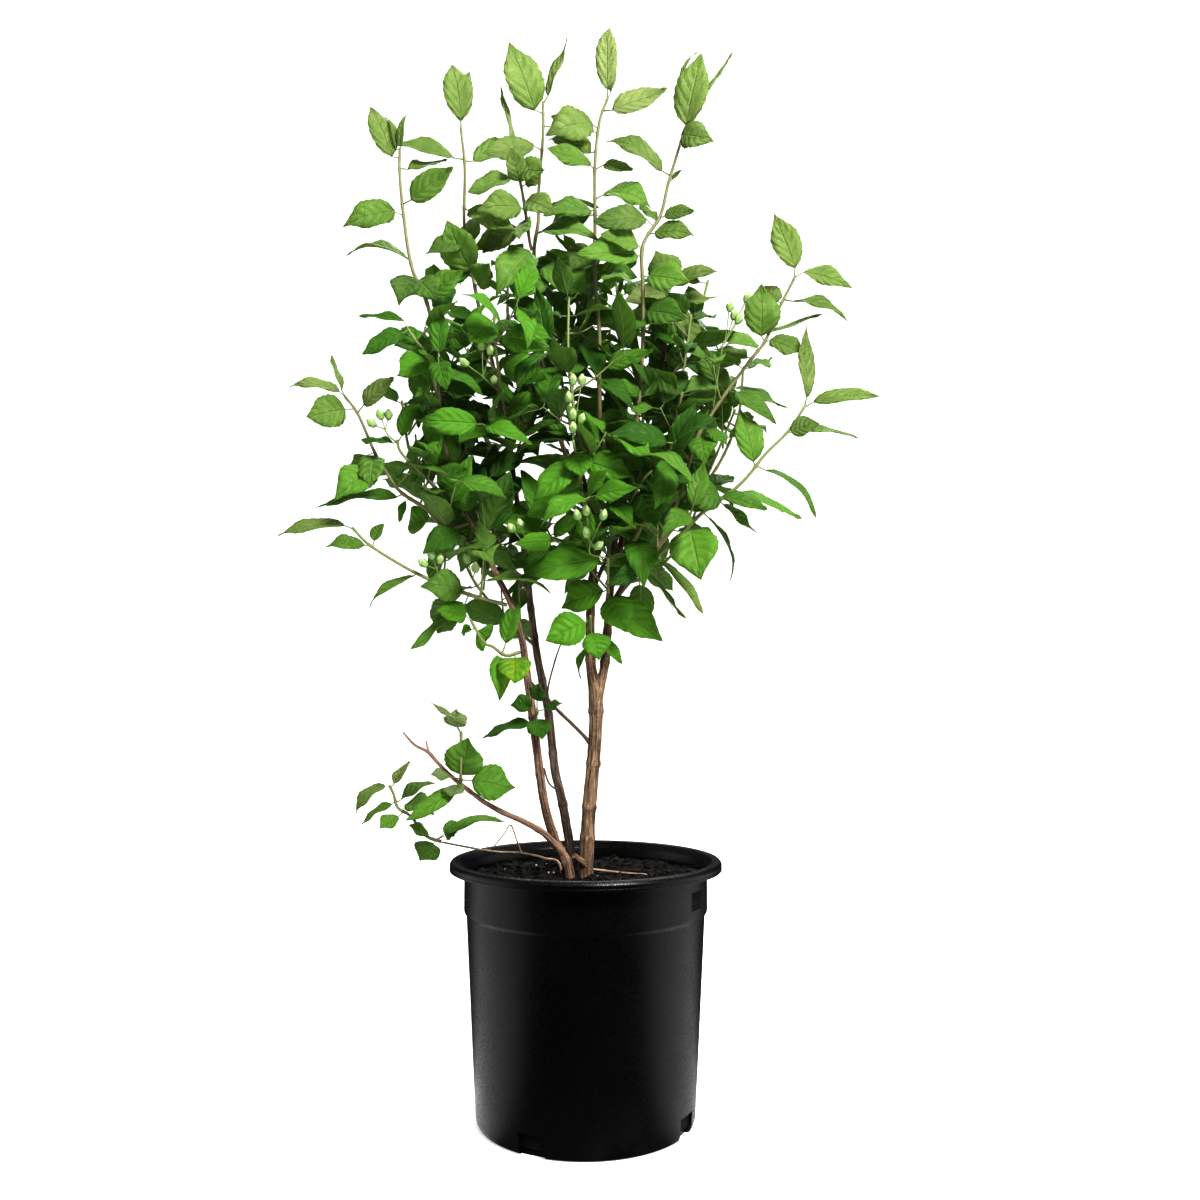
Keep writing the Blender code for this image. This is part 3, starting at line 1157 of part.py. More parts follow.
def main():
    for obj in list(bpy.data.objects):
        bpy.data.objects.remove(obj)
    scene = bpy.context.scene
    names = ("potted mock orange", "cutters", "loose")
    parts, cutters, loose = (bpy.data.collections.new(name) for name in names)
    for collection in (parts, cutters, loose):
        scene.collection.children.link(collection)
    cutters.hide_render = True
    standing = Standing()
    lines, bodies = make_canes(parts, loose)
    holes = [(lines[name][0].x, lines[name][0].y, radius * MM) for name, radius in ROOTED.items()]
    bodies["pot"] = make_pot(parts, cutters)
    bodies["soil"] = make_soil(parts, cutters, holes)
    for node, body in bodies.items():
        standing.add_object(node, "stem", body)
    make_stems(parts, lines, bodies, standing)
    make_sprays(parts, loose, lines, bodies, standing)
    lost = make_leaves(lines, bodies, standing, loose)
    for node, body in bodies.items():
        if node.startswith("shoot_"):
            material("leaf green " + node, leaf_colour(node), 0.45, body)
        elif node.startswith("spray_"):
            material("bud green " + node, BUD_COLOUR, 0.5, body)
        elif node not in ("pot", "soil"):
            material("bark " + node, BARK_COLOURS[node], 0.8, body)
        smooth(body)
    return lost


if __name__ == "__main__":
    main()
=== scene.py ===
"""Potted mock orange: the finished look of a nursery plant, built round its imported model."""

import json
import math
import random
from functools import partial
from typing import NamedTuple

import bpy
from mathutils import Matrix, Vector, noise
from mathutils.bvhtree import BVHTree
from mathutils.geometry import intersect_point_tri_2d

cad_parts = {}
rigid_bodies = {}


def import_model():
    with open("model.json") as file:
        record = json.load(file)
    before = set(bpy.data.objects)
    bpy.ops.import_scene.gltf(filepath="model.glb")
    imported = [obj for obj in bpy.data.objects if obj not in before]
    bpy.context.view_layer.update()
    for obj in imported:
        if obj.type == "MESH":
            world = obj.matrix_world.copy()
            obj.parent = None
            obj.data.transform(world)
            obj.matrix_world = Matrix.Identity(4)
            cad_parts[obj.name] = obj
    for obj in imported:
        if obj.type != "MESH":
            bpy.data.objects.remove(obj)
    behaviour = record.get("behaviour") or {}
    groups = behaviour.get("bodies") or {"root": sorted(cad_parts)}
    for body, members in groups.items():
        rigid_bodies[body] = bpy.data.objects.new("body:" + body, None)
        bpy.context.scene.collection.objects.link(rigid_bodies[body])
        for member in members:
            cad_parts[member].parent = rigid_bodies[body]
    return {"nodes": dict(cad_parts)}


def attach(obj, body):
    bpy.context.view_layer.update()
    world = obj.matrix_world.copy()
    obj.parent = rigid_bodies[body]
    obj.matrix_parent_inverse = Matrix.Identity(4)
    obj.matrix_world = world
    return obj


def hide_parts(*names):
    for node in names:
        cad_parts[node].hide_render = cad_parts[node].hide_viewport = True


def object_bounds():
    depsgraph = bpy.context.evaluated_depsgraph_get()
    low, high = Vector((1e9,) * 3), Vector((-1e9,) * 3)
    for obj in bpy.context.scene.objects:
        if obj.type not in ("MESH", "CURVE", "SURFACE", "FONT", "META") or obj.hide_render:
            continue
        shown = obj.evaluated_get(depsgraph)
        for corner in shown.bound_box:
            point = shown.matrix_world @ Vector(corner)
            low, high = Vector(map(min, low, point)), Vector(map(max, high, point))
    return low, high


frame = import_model()
CAD_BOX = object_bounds()

bl_info = {
    "name": "Potted mock orange",
    "version": (1, 0, 0),
    "blender": (4, 5, 0),
    "location": "3D View > Sidebar > Mock orange",
    "description": "Builds a mock orange in a nursery pot: pot, soil, canes, leafy shoots and bud sprays",
    "category": "Object",
}

CM = 0.01
MM = 0.001
SEED = 4

# Pot: a turned shell with a hooked lip, a wide band under it and notches at the foot
POT_HEIGHT = 0.284
LIP_RADIUS = 0.151
BAND_RADIUS = 0.1346
BAND_FOOT = 0.229
FOOT_RADIUS = 0.1188
POT_WALL = 0.002
POT_FLOOR = 0.003
NOTCH_ANGLES = (-27, 63, 153, 243)
NOTCH_SIZE = (0.013, 0.030, 0.025)
NOTCH_RADIUS = 0.1185
RECESS_ANGLES = (62.5, 242.5)
RECESS_SIZE = (0.004, 0.030, 0.019)
RECESS_RADIUS = 0.1354
RECESS_HEIGHT = 0.2495
RECESS_EDGE = 0.0006

# Soil: fills the pot to about 2 cm under the lip, with a lumpy top
SOIL_TOP = 0.264
SOIL_LUMP = 0.0028
HOLE_FOOT = 0.1997
CANE_FOOT = 0.200
CANE_COLLAR = 0.268
COLLAR_RISE = 0.004
HOLE_CLEAR = 0.0004
HOLE_DEPTH = 0.1
SOIL_EDGE = 0.006
LUMP_LIFT = 0.12
CLEAR = 0.00035

# Stems
THIN_SIDES = 4
SHOOT_TIP_RADIUS = 0.0013
SHOOT_BASE_RADIUS = 0.0016
SHOOT_LONG_RADIUS = 0.0026
SHOOT_LONG = 0.38
STALK_RADIUS = 0.0008
SEAT_REACH = 0.03
SEAT_STEP = 0.0002

# Blades: ovate, pointed, folded along the midrib and gently waved
BLADE_THICK = 0.0012
BLADE_RISE = 0.6
BLADE_FALL = 1.2
BLADE_FOLD = 14
BLADE_WAVE = 0.0016
WAVE_WIDE = 0.025
TOOTH = 0.05
STALK_HALF = 0.0007
STALK_KEEL = 0.0008
SIDE_CUTS = {3: (0.16, 0.45, 0.76), 4: (0.12, 0.34, 0.60, 0.83)}
LONG_BLADE = 0.062
BENT_BLADE = 40
FLAT_MIDS = (0.48,)
BENT_MIDS = (0.34, 0.68)
LEAF_GAP = 0.0006
BUD_STALK = 0.004

# The plan's places are as seen from this point: x across and z up on the plane through
# the pot's axis, and a depth behind that plane, in centimetres
EYE = Vector((0.0158, -1.3523, 0.4949))


class Cane(NamedTuple):
    """A woody stem: the node that it is part of, its places (x, z, depth) in cm and its radii in mm."""

    node: str
    places: list
    radii: list


class Shoot(NamedTuple):
    """A leafy stem: what it grows from, its places, and its leaves as (base x, base z, tip x, tip z,
    how far the tip is behind the stem, width, turn of the upper side from the eye to the sky, droop)."""

    parent: str
    places: list
    leaves: tuple = ()


class Spray(NamedTuple):
    """A stalk of flower buds: what it grows from, its places and the buds' places."""

    parent: str
    places: list
    buds: list


CANES = {
    "main": Cane("cane_main", [(0, 26.9, 0.5), (0.4, 34.3, 0.8), (1, 41.1, 0.8), (1.1, 46.3, 0.6),
        (0.5, 50.5, 0.6), (0.5, 55, 0.4), (0.8, 60.7, 0.2), (1.2, 66.3, 0), (1.6, 72.1, 0),
        (1.6, 76.6, 0)], [8, 7.5, 7.3, 7.9, 5.5, 4.9, 4.3, 3.6, 3, 2.2]),
    "main_right": Cane("cane_main", [(1.1, 46, 0.6), (2.1, 50, 1), (2.5, 55, 1.5), (2.8, 59.5, 1.5),
        (3.1, 63.2, 1), (3.6, 67.5, -1), (4.2, 72.1, -2)], [5.5, 5, 4.6, 4.2, 4.4, 3.4, 2.6]),
    "main_back": Cane("cane_main", [(2.7, 59, 1.5), (4.1, 64.1, 4), (5.2, 68.6, 5), (6.1, 72.1, 5.5),
        (7.3, 75.5, 5.5), (8.2, 80.1, 5), (8.9, 85.9, 4.5), (9.4, 89.6, 4)], [4, 3.8, 3.6, 3.4, 3.2, 2.9,
        2.6, 2.2]),
    "main_out": Cane("cane_main", [(2.5, 55.9, 1.5), (4.4, 59.2, 0), (6.1, 60.9, -2), (7.2, 62.2, -3)],
        [3.2, 3, 2.8, 2.4]),
    "main_up": Cane("cane_main", [(1.1, 64.5, 0), (0.2, 68.9, 1), (-1.3, 71.5, 1.5), (-2.7, 74.9, 1.5),
        (-3.4, 78.9, 1.2), (-4.6, 82.4, 1), (-5.2, 85.9, 1)], [3.2, 3, 2.8, 2.6, 2.5, 2.3, 2.1]),
    "twig_cross": Cane("cane_main", [(0.5, 41.2, 0.8), (-0.9, 42.7, 0.6), (-3.4, 45.1, 0.4),
        (-4.6, 46.5, 0.2), (-6.1, 47.9, 0), (-7.4, 49.9, 0)], [2, 1.8, 1.7, 1.6, 1.5, 1.1]),
    "twig_fine": Cane("cane_main", [(-4.3, 46.2, 0.2), (-4.2, 47.7, 0), (-3.4, 50.7, -0.6),
        (-2.8, 52.4, -0.8)], [0.9, 0.9, 0.8, 0.7]),
    "stub": Cane("cane_main", [(0, 27.6, 0.2), (-1.3, 28.7, -1.2)], [3.6, 3.2]),
    "middle": Cane("cane_middle", [(-1.5, 28, 3), (-2.6, 34.5, 3.2), (-3.5, 38.4, 3.5), (-4.1, 43.8, 4),
        (-4.9, 48.1, 4.5), (-5.5, 51.1, 4.7), (-6.2, 56.1, 5), (-6.7, 60.7, 5), (-7.5, 66.3, 5),
        (-8.4, 72.1, 4.5), (-9.4, 77.8, 4)], [5.5, 5, 4.8, 4.5, 4.3, 4.2, 4, 3.6, 3.2, 2.8, 2.3]),
    "twig_between": Cane("cane_middle", [(-2.9, 35.8, 3.3), (-4.1, 36.7, 2), (-4.7, 38.4, 0.5)], [1.2, 1,
        0.8]),
    "left": Cane("cane_left", [(-1.8, 26.9, -1), (-3.4, 30.4, -1.2), (-4.6, 34.3, -1.5),
        (-5.5, 40.5, -2.2), (-6.2, 45.9, -3), (-6.6, 48.6, -3.3), (-7.2, 52.7, -3.8), (-8.4, 56.7, -4),
        (-10.1, 60.1, -4), (-12, 64.1, -4), (-13.8, 67.7, -3.5), (-15.2, 71.5, -3)], [5.6, 5, 4.8, 4.6,
        4.4, 4.2, 3.8, 3.4, 3.1, 2.8, 2.5, 2.2]),
    "low_branch": Cane("cane_left", [(-2.7, 29.1, -1.2), (-4.6, 31.1, -2.2), (-7, 32.5, -3),
        (-9.3, 33.5, -3.5), (-11.3, 34.6, -4), (-13.2, 36, -4.5), (-15.2, 37.6, -5), (-16.6, 39, -5),
        (-17.7, 40.2, -5), (-19.2, 41, -5.2), (-20.5, 42.4, -5.5)], [4, 3.5, 3.1, 2.8, 2.6, 2.4, 2.1, 1.9,
        1.7, 1.3, 0.9]),
    "low_fork": Cane("cane_left", [(-17.6, 40.1, -5), (-17.9, 41.4, -4.6)], [1.3, 0.9]),
    "low_twig": Cane("twig_low", [(-2.8, 27.2, 3.5), (-4.6, 28.4, 3.5), (-7.2, 29, 3.2), (-9.6, 29.1, 3),
        (-11.8, 29.4, 2.5), (-14, 29.8, 2), (-16.1, 30.2, 1.5)], [1.4, 1.3, 1.3, 1.2, 1.1, 1.1, 1]),
    "low_twig_fork": Cane("twig_low", [(-7.2, 29, 3.2), (-7.7, 30.4, 3), (-8.4, 32.1, 2.8),
        (-9.2, 31, 2.4), (-10.2, 29.8, 2.2)], [1, 0.9, 0.9, 0.8, 0.7]),
    "dry_twig": Cane("twig_dry", [(0.8, 27.2, 3), (3.3, 26.9, 1.5), (6.8, 26.6, -1)], [1.5, 1.4, 1.1]),
}
ROOTED = {"main": 8.6, "middle": 5.5, "left": 6, "low_twig": 1.5}

SHOOTS = {
    "top_left": Shoot("left", [(-15, 71.5, -3), (-16.5, 77, -3), (-17, 83.5, -3), (-18, 90.5, -3),
        (-20, 95.5, -2.5), (-21, 101.5, -2), (-21.5, 106.5, -2), (-21.5, 109.5, -2)],
        [(-22.5, 108.5, -25, 114.5, 1, 3, 20), (-21.5, 109.5, -21, 113.5, -1, 1, 40),
        (-22, 109.5, -23, 113.5, 1, 0.8, 50), (-20, 103.5, -15, 107, -2, 3.1, 25),
        (-20.5, 107, -16, 107.5, 3, 2.1, 70), (-22, 102, -28, 100.5, -2, 3.4, 30),
        (-20.5, 96.5, -27.5, 97.5, -2, 3, 78, 55), (-19.5, 95, -17, 91.5, -3, 3.4, 20),
        (-20.5, 95, -21.5, 91.5, -3, 3.4, 30)]),
    "upper_left": Shoot("middle", [(-9.5, 78, 4), (-10.5, 83.5, 3), (-12, 89.5, 2), (-13, 94.5, 2),
        (-14, 100, 1.5), (-14, 107, 1), (-14.5, 112, 1)], [(-14.5, 113, -15.5, 120, 0.5, 3.3, 10),
        (-14.5, 113, -13.5, 118.5, 2, 2.3, 30), (-16, 108.5, -24, 109.5, -2, 3, 60, 40),
        (-12.5, 108, -7.5, 110, 3, 3, 45), (-15.5, 94.5, -16, 101, -2, 4.3, -15),
        (-14, 93.5, -11, 96, -3, 3, 20), (-11.5, 97.5, -13, 101.5, 3, 2.7, 30)]),
    "top_middle": Shoot("main_up", [(-5, 86, 1), (-5.5, 91.5, 1), (-6, 97, 1), (-5.5, 101, 1),
        (-5.5, 104, 1), (-5, 111, 1), (-5, 115, 1)], [(-6, 114, -9, 122, -1, 4.3, 15),
        (-4, 116.5, -1.5, 122, 1, 1.7, 60), (-7, 110, -10, 108, 3, 3, 45),
        (-4, 112, 0.5, 111.5, 3, 3.4, 35), (-5.5, 99.5, 1.5, 99, -3, 3.2, 60, 45),
        (-4.5, 102, 1.5, 102.5, 3, 2.5, 68, 40), (-6, 96, -8, 91.5, -3, 5.2, 20),
        (-5, 95.5, 0.5, 92, -2, 4.3, 40)]),
    "top_middle_side": Shoot("top_middle", [(-6, 96.5, 1), (-6.5, 98.5, 0.5), (-7, 102, 0), (-7.5, 105, 0),
        (-8, 107, 0)], [(-9, 111, -10.5, 116.5, 2, 1.7, 65), (-7, 109.5, -4.5, 106.5, -3, 3.2, 30),
        (-8.5, 106, -13.5, 103.5, -2, 2.7, 50, 50), (-7.5, 102.5, -12.5, 102.5, -3, 3.4, 30),
        (-9, 101.5, -7.5, 98.5, -4, 2.5, 45), (-9, 99.5, -13, 97.5, 3, 2.7, 30)]),
    "top": Shoot("main", [(1.5, 76.5, 0), (1.5, 82.5, 0), (1.5, 88, 0), (1, 94, 0.5), (1, 98.5, 1),
        (1, 102.5, 1), (1, 107.5, 1), (1.5, 112.5, 1), (2.5, 115.5, 1)],
        [(2.5, 117.5, 2.5, 124.5, 0, 2.5, 10), (3, 116.5, 3.5, 118.5, 1, 0.9, 40),
        (3, 114, 9.5, 116, -1, 2.9, 35), (0.5, 112.5, -4.5, 111.5, -3, 4.1, 30),
        (0.5, 109, -4.5, 111, 3, 3, 50), (0.5, 107.5, -5, 109, -3, 2.7, 45),
        (2, 107.5, 5.5, 106.5, -2, 1.8, 45), (2, 104, 7.5, 102.5, -2, 3.4, 55, 70),
        (0.5, 103, -4, 102, 3, 2.7, 65), (1.5, 101.5, 2.5, 100, 3, 1.8, 60),
        (1, 82.5, -4.5, 84, -3, 1.8, 60, 40), (2.5, 84, 8, 85.5, -3, 2.5, 35)]),
    "top_right": Shoot("main_right", [(4, 72, -2), (5.5, 75.5, -2), (6, 80, -2), (6.5, 87, -1.5),
        (6.5, 93, -1.5), (6.5, 98, -1.5), (8.5, 101.5, -1), (9.5, 105.5, -1), (11, 110.5, -1),
        (11.5, 112, -1)], [(11.5, 112, 13.5, 120.5, -1, 3.8, 20), (12, 115.5, 12, 121.5, 2, 1.1, 60),
        (13, 115.5, 17.5, 120, 2, 1.5, 60), (11, 111, 14.5, 110.5, -3, 3.2, 20),
        (8.5, 107, 2.5, 111, -1, 3, 55, 35), (10, 105.5, 11, 107, 0, 0.5, 30),
        (9, 101.5, 12.5, 102, -2, 1.9, 40), (8, 101, 6, 102.5, 2, 1.6, 60), (6, 98, 1.5, 99, -2, 3.6, 50),
        (6, 80.5, 3, 82.5, -2, 1.7, 40), (6.5, 80.5, 12, 82, 2, 2.7, 50),
        (5.5, 93.5, 1.5, 94, -3, 2.5, 70, 50)]),
    "right_back": Shoot("main_back", [(9.5, 89.5, 4), (9.5, 91.5, 4), (9.5, 93, 4)],
        [(9.5, 93.5, 8, 97.5, -1, 4.6, 20), (10, 93.5, 15, 95.5, -2, 2.7, 45),
        (9, 92.5, 4, 91, -3, 3.2, 30), (10, 91.5, 15, 91.5, 2, 2.3, 55), (8.5, 89, 4, 89.5, 3, 3, 40),
        (10, 88, 15.5, 86.5, 2, 2.7, 50), (10.5, 90.5, 13, 85.5, -4, 3, 25)]),
    "right_upper": Shoot("main_out", [(7, 62, -3), (9, 65, -3), (11, 70.5, -3), (12.5, 75.5, -3),
        (14, 78, -3), (16, 81, -3), (19, 85, -3), (20.5, 87, -3), (22, 90.5, -2.5), (24, 94.5, -2.5)],
        [(24, 96, 21.5, 101.5, 0, 3.1, 15), (25, 95, 30.5, 93, -1, 2.3, 40),
        (24, 91.5, 30, 89.5, -1, 2.1, 65, 45), (22, 91.5, 20, 93, 3, 2.3, 50),
        (20, 87.5, 20, 93.5, -1, 3.9, 10), (21, 87, 25, 85, -2, 2.7, 40),
        (21, 88, 27, 90.5, 1, 1.6, 72, -25), (19.5, 86.5, 16, 86.5, -3, 2.7, 55, 40),
        (19, 85, 14.5, 86, 2, 2.1, 62), (19.5, 84.5, 21, 83.5, -3, 1.8, 60),
        (17, 81, 21.5, 77, -2, 2.7, 45), (17, 81.5, 22.5, 78.5, 1, 2.1, 70, 40),
        (15.5, 81.5, 14, 84, 2, 2.7, 40), (13.5, 77.5, 16, 74.5, -2, 2.1, 50),
        (12.5, 77, 13.5, 73, -3, 3.2, 10)]),
    "right_long": Shoot("main_out", [(6.3, 61, -2.2), (7.5, 61.7, -4.8), (10, 64, -5), (13, 67, -5),
        (15, 68.5, -5), (17, 70, -5), (18.5, 71.5, -5), (20.5, 74, -5), (23, 76.5, -5), (25, 79.5, -5)],
        [(25.5, 81.5, 24.5, 88.5, 0, 2.3, 40), (27, 80.5, 33.5, 80.5, -1, 2.2, 40, 35),
        (22.5, 77, 26.5, 77.5, -1, 2.7, 30), (24, 76.5, 31, 75.5, 1, 1.8, 70, 35),
        (19, 73, 17.5, 79, 1, 3.4, 20), (20.5, 72, 26, 66.5, 0, 2.1, 70, 65),
        (16, 70.5, 24, 65.5, -1, 2.5, 66, 55), (15.5, 69, 20.5, 67, -2, 2.5, 50, 40),
        (15.5, 68.5, 19, 64.5, 1, 1.8, 55), (15.5, 70, 11, 69, -2, 3.9, 20),
        (14.5, 68.5, 11, 67.5, 3, 3, 45), (12, 66, 13, 59.5, -3, 5.7, 0),
        (14, 66.5, 17, 59.5, 3, 1.8, 85, 40)]),
    "right_low": Shoot("main_out", [(5.2, 60, -1), (7.5, 62, -1.5), (8.5, 62, -1)],
        [(8.5, 62, 13, 55.5, -1, 2.1, 62, 35), (7, 60, 10.5, 54.5, -3, 1.6, 75, 35),
        (7.5, 61, 9, 59, 2, 1.6, 50)]),
    "left_high": Shoot("left", [(-13, 66, -3.8), (-16, 65.5, -5), (-18, 67.5, -5.5), (-21, 69.5, -6),
        (-22.5, 71.5, -6), (-24, 74, -6), (-26, 78.5, -6), (-27.5, 80.5, -6)],
        [(-28.5, 81.5, -34, 82, 0, 1.7, 50), (-28, 81.5, -29.5, 85, 1, 1.1, 60),
        (-27.5, 79, -32, 78, -3, 3.6, 15), (-25, 80, -21.5, 82.5, -2, 2.5, 40),
        (-24.5, 74.5, -24.5, 70, -3, 3, 20), (-25.5, 73.5, -26.5, 70.5, 3, 2.5, 45),
        (-26.5, 71, -28.5, 69, -4, 3.6, 30), (-21.5, 69, -30.5, 67.5, 1, 2.1, 60, 35),
        (-20.5, 68.5, -21, 66, 0, 1, 40), (-22, 71.5, -20, 72.5, 0, 1.4, 70, 50),
        (-16.5, 68, -20.5, 65.5, 2, 3.2, 40), (-14.5, 65, -18.5, 62.5, -3, 3, 20)]),
    "left_low": Shoot("left", [(-8.5, 56.5, -4), (-12, 57.5, -5), (-15, 58.5, -5.5), (-17.5, 59.5, -6),
        (-20.5, 61, -6), (-24.5, 63.5, -6), (-26.5, 65.5, -6)], [(-28, 66, -35, 64.5, 0, 2.1, 55, 35),
        (-24.5, 64, -29.5, 63.5, -2, 2.1, 50), (-24, 64, -23, 66, 1, 1.6, 40),
        (-19.5, 60, -25, 57, 2, 1.4, 60), (-14, 58.5, -18.5, 59, -3, 3.4, 20),
        (-15, 57, -16.5, 53.5, 2, 3.9, 30), (-14.5, 55, -19, 51, -1, 2.1, 60)]),
    "left_hanging": Shoot("left", [(-7, 51.5, -3.6), (-9, 51, -4.5), (-10.5, 52, -5), (-11.5, 52.5, -5.5),
        (-13, 55, -6)], [(-10, 51, -9.5, 46, -1, 2.5, 20), (-7.5, 52, -8, 47.5, -3, 3.9, 10),
        (-10, 56, -11, 52.5, 3, 3.4, 20), (-13.5, 55.5, -17, 56, -2, 3, 30),
        (-12.5, 54.5, -14, 53.5, 1, 1.6, 50), (-9, 52.5, -7.5, 57.5, 2, 2.5, 40)]),
    "tuft": Shoot("left", [(-6, 44, -2.8), (-5.5, 44.5, -4.2), (-5.5, 45, -5)],
        [(-6, 45.5, -8.5, 45.5, 0, 2.1, 20), (-5.5, 46, -5, 48, -1, 2.3, 30),
        (-4.5, 45, -2.5, 45.5, -1, 1.6, 50), (-5.5, 44, -5, 41.5, -2, 3, 15),
        (-6.5, 43, -11.5, 41.5, 0, 2.1, 55, 40)]),
    "low_left": Shoot("low_branch", [(-14, 36.5, -5.2), (-14, 37.5, -6.2), (-14, 39, -6.5),
        (-14, 41.5, -6.5), (-14, 42.5, -6.5)], [(-13, 36, -13, 42, -2, 4.1, 10),
        (-12, 37, -8, 36, 1, 3.9, 20), (-14.5, 43, -14.5, 45, -1, 2.5, 20),
        (-15, 44.5, -17.5, 45.5, 0, 0.9, 60), (-15.5, 37.5, -17.5, 37.5, -2, 1.6, 50),
        (-14.5, 36.5, -15, 35, -2, 2.3, 30)]),
    "low_side": Shoot("low_twig", [(-16, 30, 1.5), (-18, 31, 1), (-19.5, 33, 0.5), (-21, 34, 0),
        (-21.5, 35.5, 0), (-22, 36.5, 0)], [(-22.5, 36.5, -26, 33.5, -1, 2.1, 50, 50),
        (-22, 36.5, -19.5, 39, 1, 1.6, 45, 40), (-21.5, 35, -25, 32, 0, 1.6, 55, 40),
        (-21, 35, -17, 37, 1, 2.1, 55, 35), (-21, 33, -23, 31.5, -2, 2.3, 40),
        (-20, 34.5, -17, 33.5, -2, 3.2, 40, 50), (-16.5, 32.5, -20, 32, -2, 1.8, 45),
        (-16, 30.5, -18.5, 28, -2, 3.4, 20), (-15.5, 31, -14, 32.5, 2, 2.1, 30),
        (-14.5, 32, -9, 33, 1, 2.1, 55, 35), (-14, 30.5, -14.5, 31.5, 0, 1.4, 40)]),
    "front_middle": Shoot("main", [(1, 63, 0), (0, 66.5, -4), (-0.5, 70, -7), (-1, 73, -8.5),
        (-1.5, 75.5, -9)], [(-0.5, 75, -0.5, 71, -1, 3.2, 10), (-1.5, 72.5, -6, 68.5, -1, 3.4, 20),
        (0, 73, 5.5, 71, -1, 3.2, 20), (1, 68.5, 1, 63.5, 2, 4.1, 10),
        (-1.5, 69.5, -6.5, 66.5, 2, 3.9, 30)]),
    "front_high": Shoot("middle", [(-8.5, 72.5, 4.5), (-9, 76.5, 0), (-9.5, 80, -4), (-10, 83.5, -6.5),
        (-10.5, 87.5, -8), (-10.5, 90, -8)], [(-10.5, 90.5, -13.5, 86.5, -2, 4.1, 15),
        (-9.5, 87.5, -4, 86, -2, 3.4, 20), (-10, 80, -11, 77.5, -2, 2.3, 20),
        (-9, 80.5, -4.5, 80, 1, 3, 45), (-9.5, 84, -4.5, 82.5, 1, 3.9, 25),
        (-11, 83.5, -16, 81, 1, 3, 45)]),
    "front_low": Shoot("main_right", [(2.5, 56.5, 1.5), (2.5, 59, -3), (2.5, 62, -6)],
        [(3, 59, 4.5, 53.5, -1, 4.1, 8), (2, 62, 6, 61, -1, 2.1, 50, 50),
        (1.5, 62, -7.5, 60, -1, 3.9, 15, 30), (2, 60, -3, 56.5, 2, 4.1, 30),
        (3.5, 58.5, 8.5, 52.5, 1, 4.1, 15)]),
    "front_low_left": Shoot("main", [(0.5, 52, 0.6), (0.5, 54, -3), (0.5, 55.5, -5)],
        [(0, 56, -4.5, 52.5, -1, 4.1, 15), (1, 55, 1.5, 50.5, -1, 3.4, 20), (1.5, 53, 4, 50, 1, 1.8, 40),
        (0, 53, -1, 48.5, 0, 1.4, 60)]),
    "front_right": Shoot("main_back", [(7.5, 75.5, 5.5), (7.5, 76, 0), (6.5, 77, -5), (6.5, 78.5, -6)],
        [(6.5, 77.5, 11, 73, -1, 3.9, 15), (5.5, 77, 1.5, 78.5, -1, 3.2, 30),
        (7.5, 78.5, 12, 78, 1, 3, 30)]),
    "front_centre": Shoot("main", [(1.5, 71, 0), (2, 73, -4), (2, 75.5, -7)],
        [(2, 75.5, 5.5, 73, -1, 3.4, 15), (1, 76, -2.5, 79, 1, 3, 30)]),
    "right_inner": Shoot("main_right", [(3.5, 66.5, -0.5), (5, 68.5, -4), (6.5, 71, -6), (7.5, 72, -6)],
        [(6, 70, 8, 65.5, -1, 3.9, 20), (8, 72.5, 9.5, 68, -1, 2.7, 35), (5, 67.5, 7, 62, 0, 2.7, 45),
        (8, 68.5, 9.5, 65, 2, 3, 40), (6, 72, 3.5, 75.5, 2, 3, 30)]),
    "left_mid": Shoot("top_left", [(-16, 76, -3), (-17, 80.5, -6), (-18, 85, -8), (-19.5, 87, -8.5),
        (-20.5, 88.5, -8.5)], [(-21, 89.5, -25.5, 85, -1, 2.5, 35, 40), (-21, 89.5, -26, 89.5, 1, 1.6, 60),
        (-18.5, 86.5, -22, 88, 2, 2.3, 30), (-18.5, 85, -21.5, 82.5, -3, 3.2, 20),
        (-17.5, 82.5, -20, 80, 2, 2.7, 30), (-17.5, 86, -16.5, 89.5, 0, 1.6, 50),
        (-16, 82, -12.5, 80, -2, 3.2, 40)]),
    "left_mid_low": Shoot("left", [(-13.5, 67.5, -3.5), (-16.5, 69.5, -6), (-18.5, 71.5, -7.5),
        (-21, 74, -8), (-21.5, 75.5, -8)], [(-17.5, 70.5, -13, 72, -2, 3, 30),
        (-21.5, 76, -25.5, 75, 0, 1.8, 60, 40), (-21, 76, -19, 80, 1, 2.5, 40),
        (-18.5, 72.5, -20, 70.5, 1, 1.4, 50), (-16.5, 70, -12, 68, 1, 3.4, 30)]),
    "centre": Shoot("middle", [(-7, 63, 5), (-5, 64.5, 0), (-4, 66.5, -4), (-3.5, 68, -5)],
        [(-3.5, 68, -7.5, 62.5, -2, 4.1, 25), (-2.5, 68.5, -0.5, 72, 1, 3.2, 30),
        (-4.5, 67.5, -10, 67.5, 1, 3.9, 30), (-4, 68.5, -7.5, 72, 1, 3.6, 30)]),
}

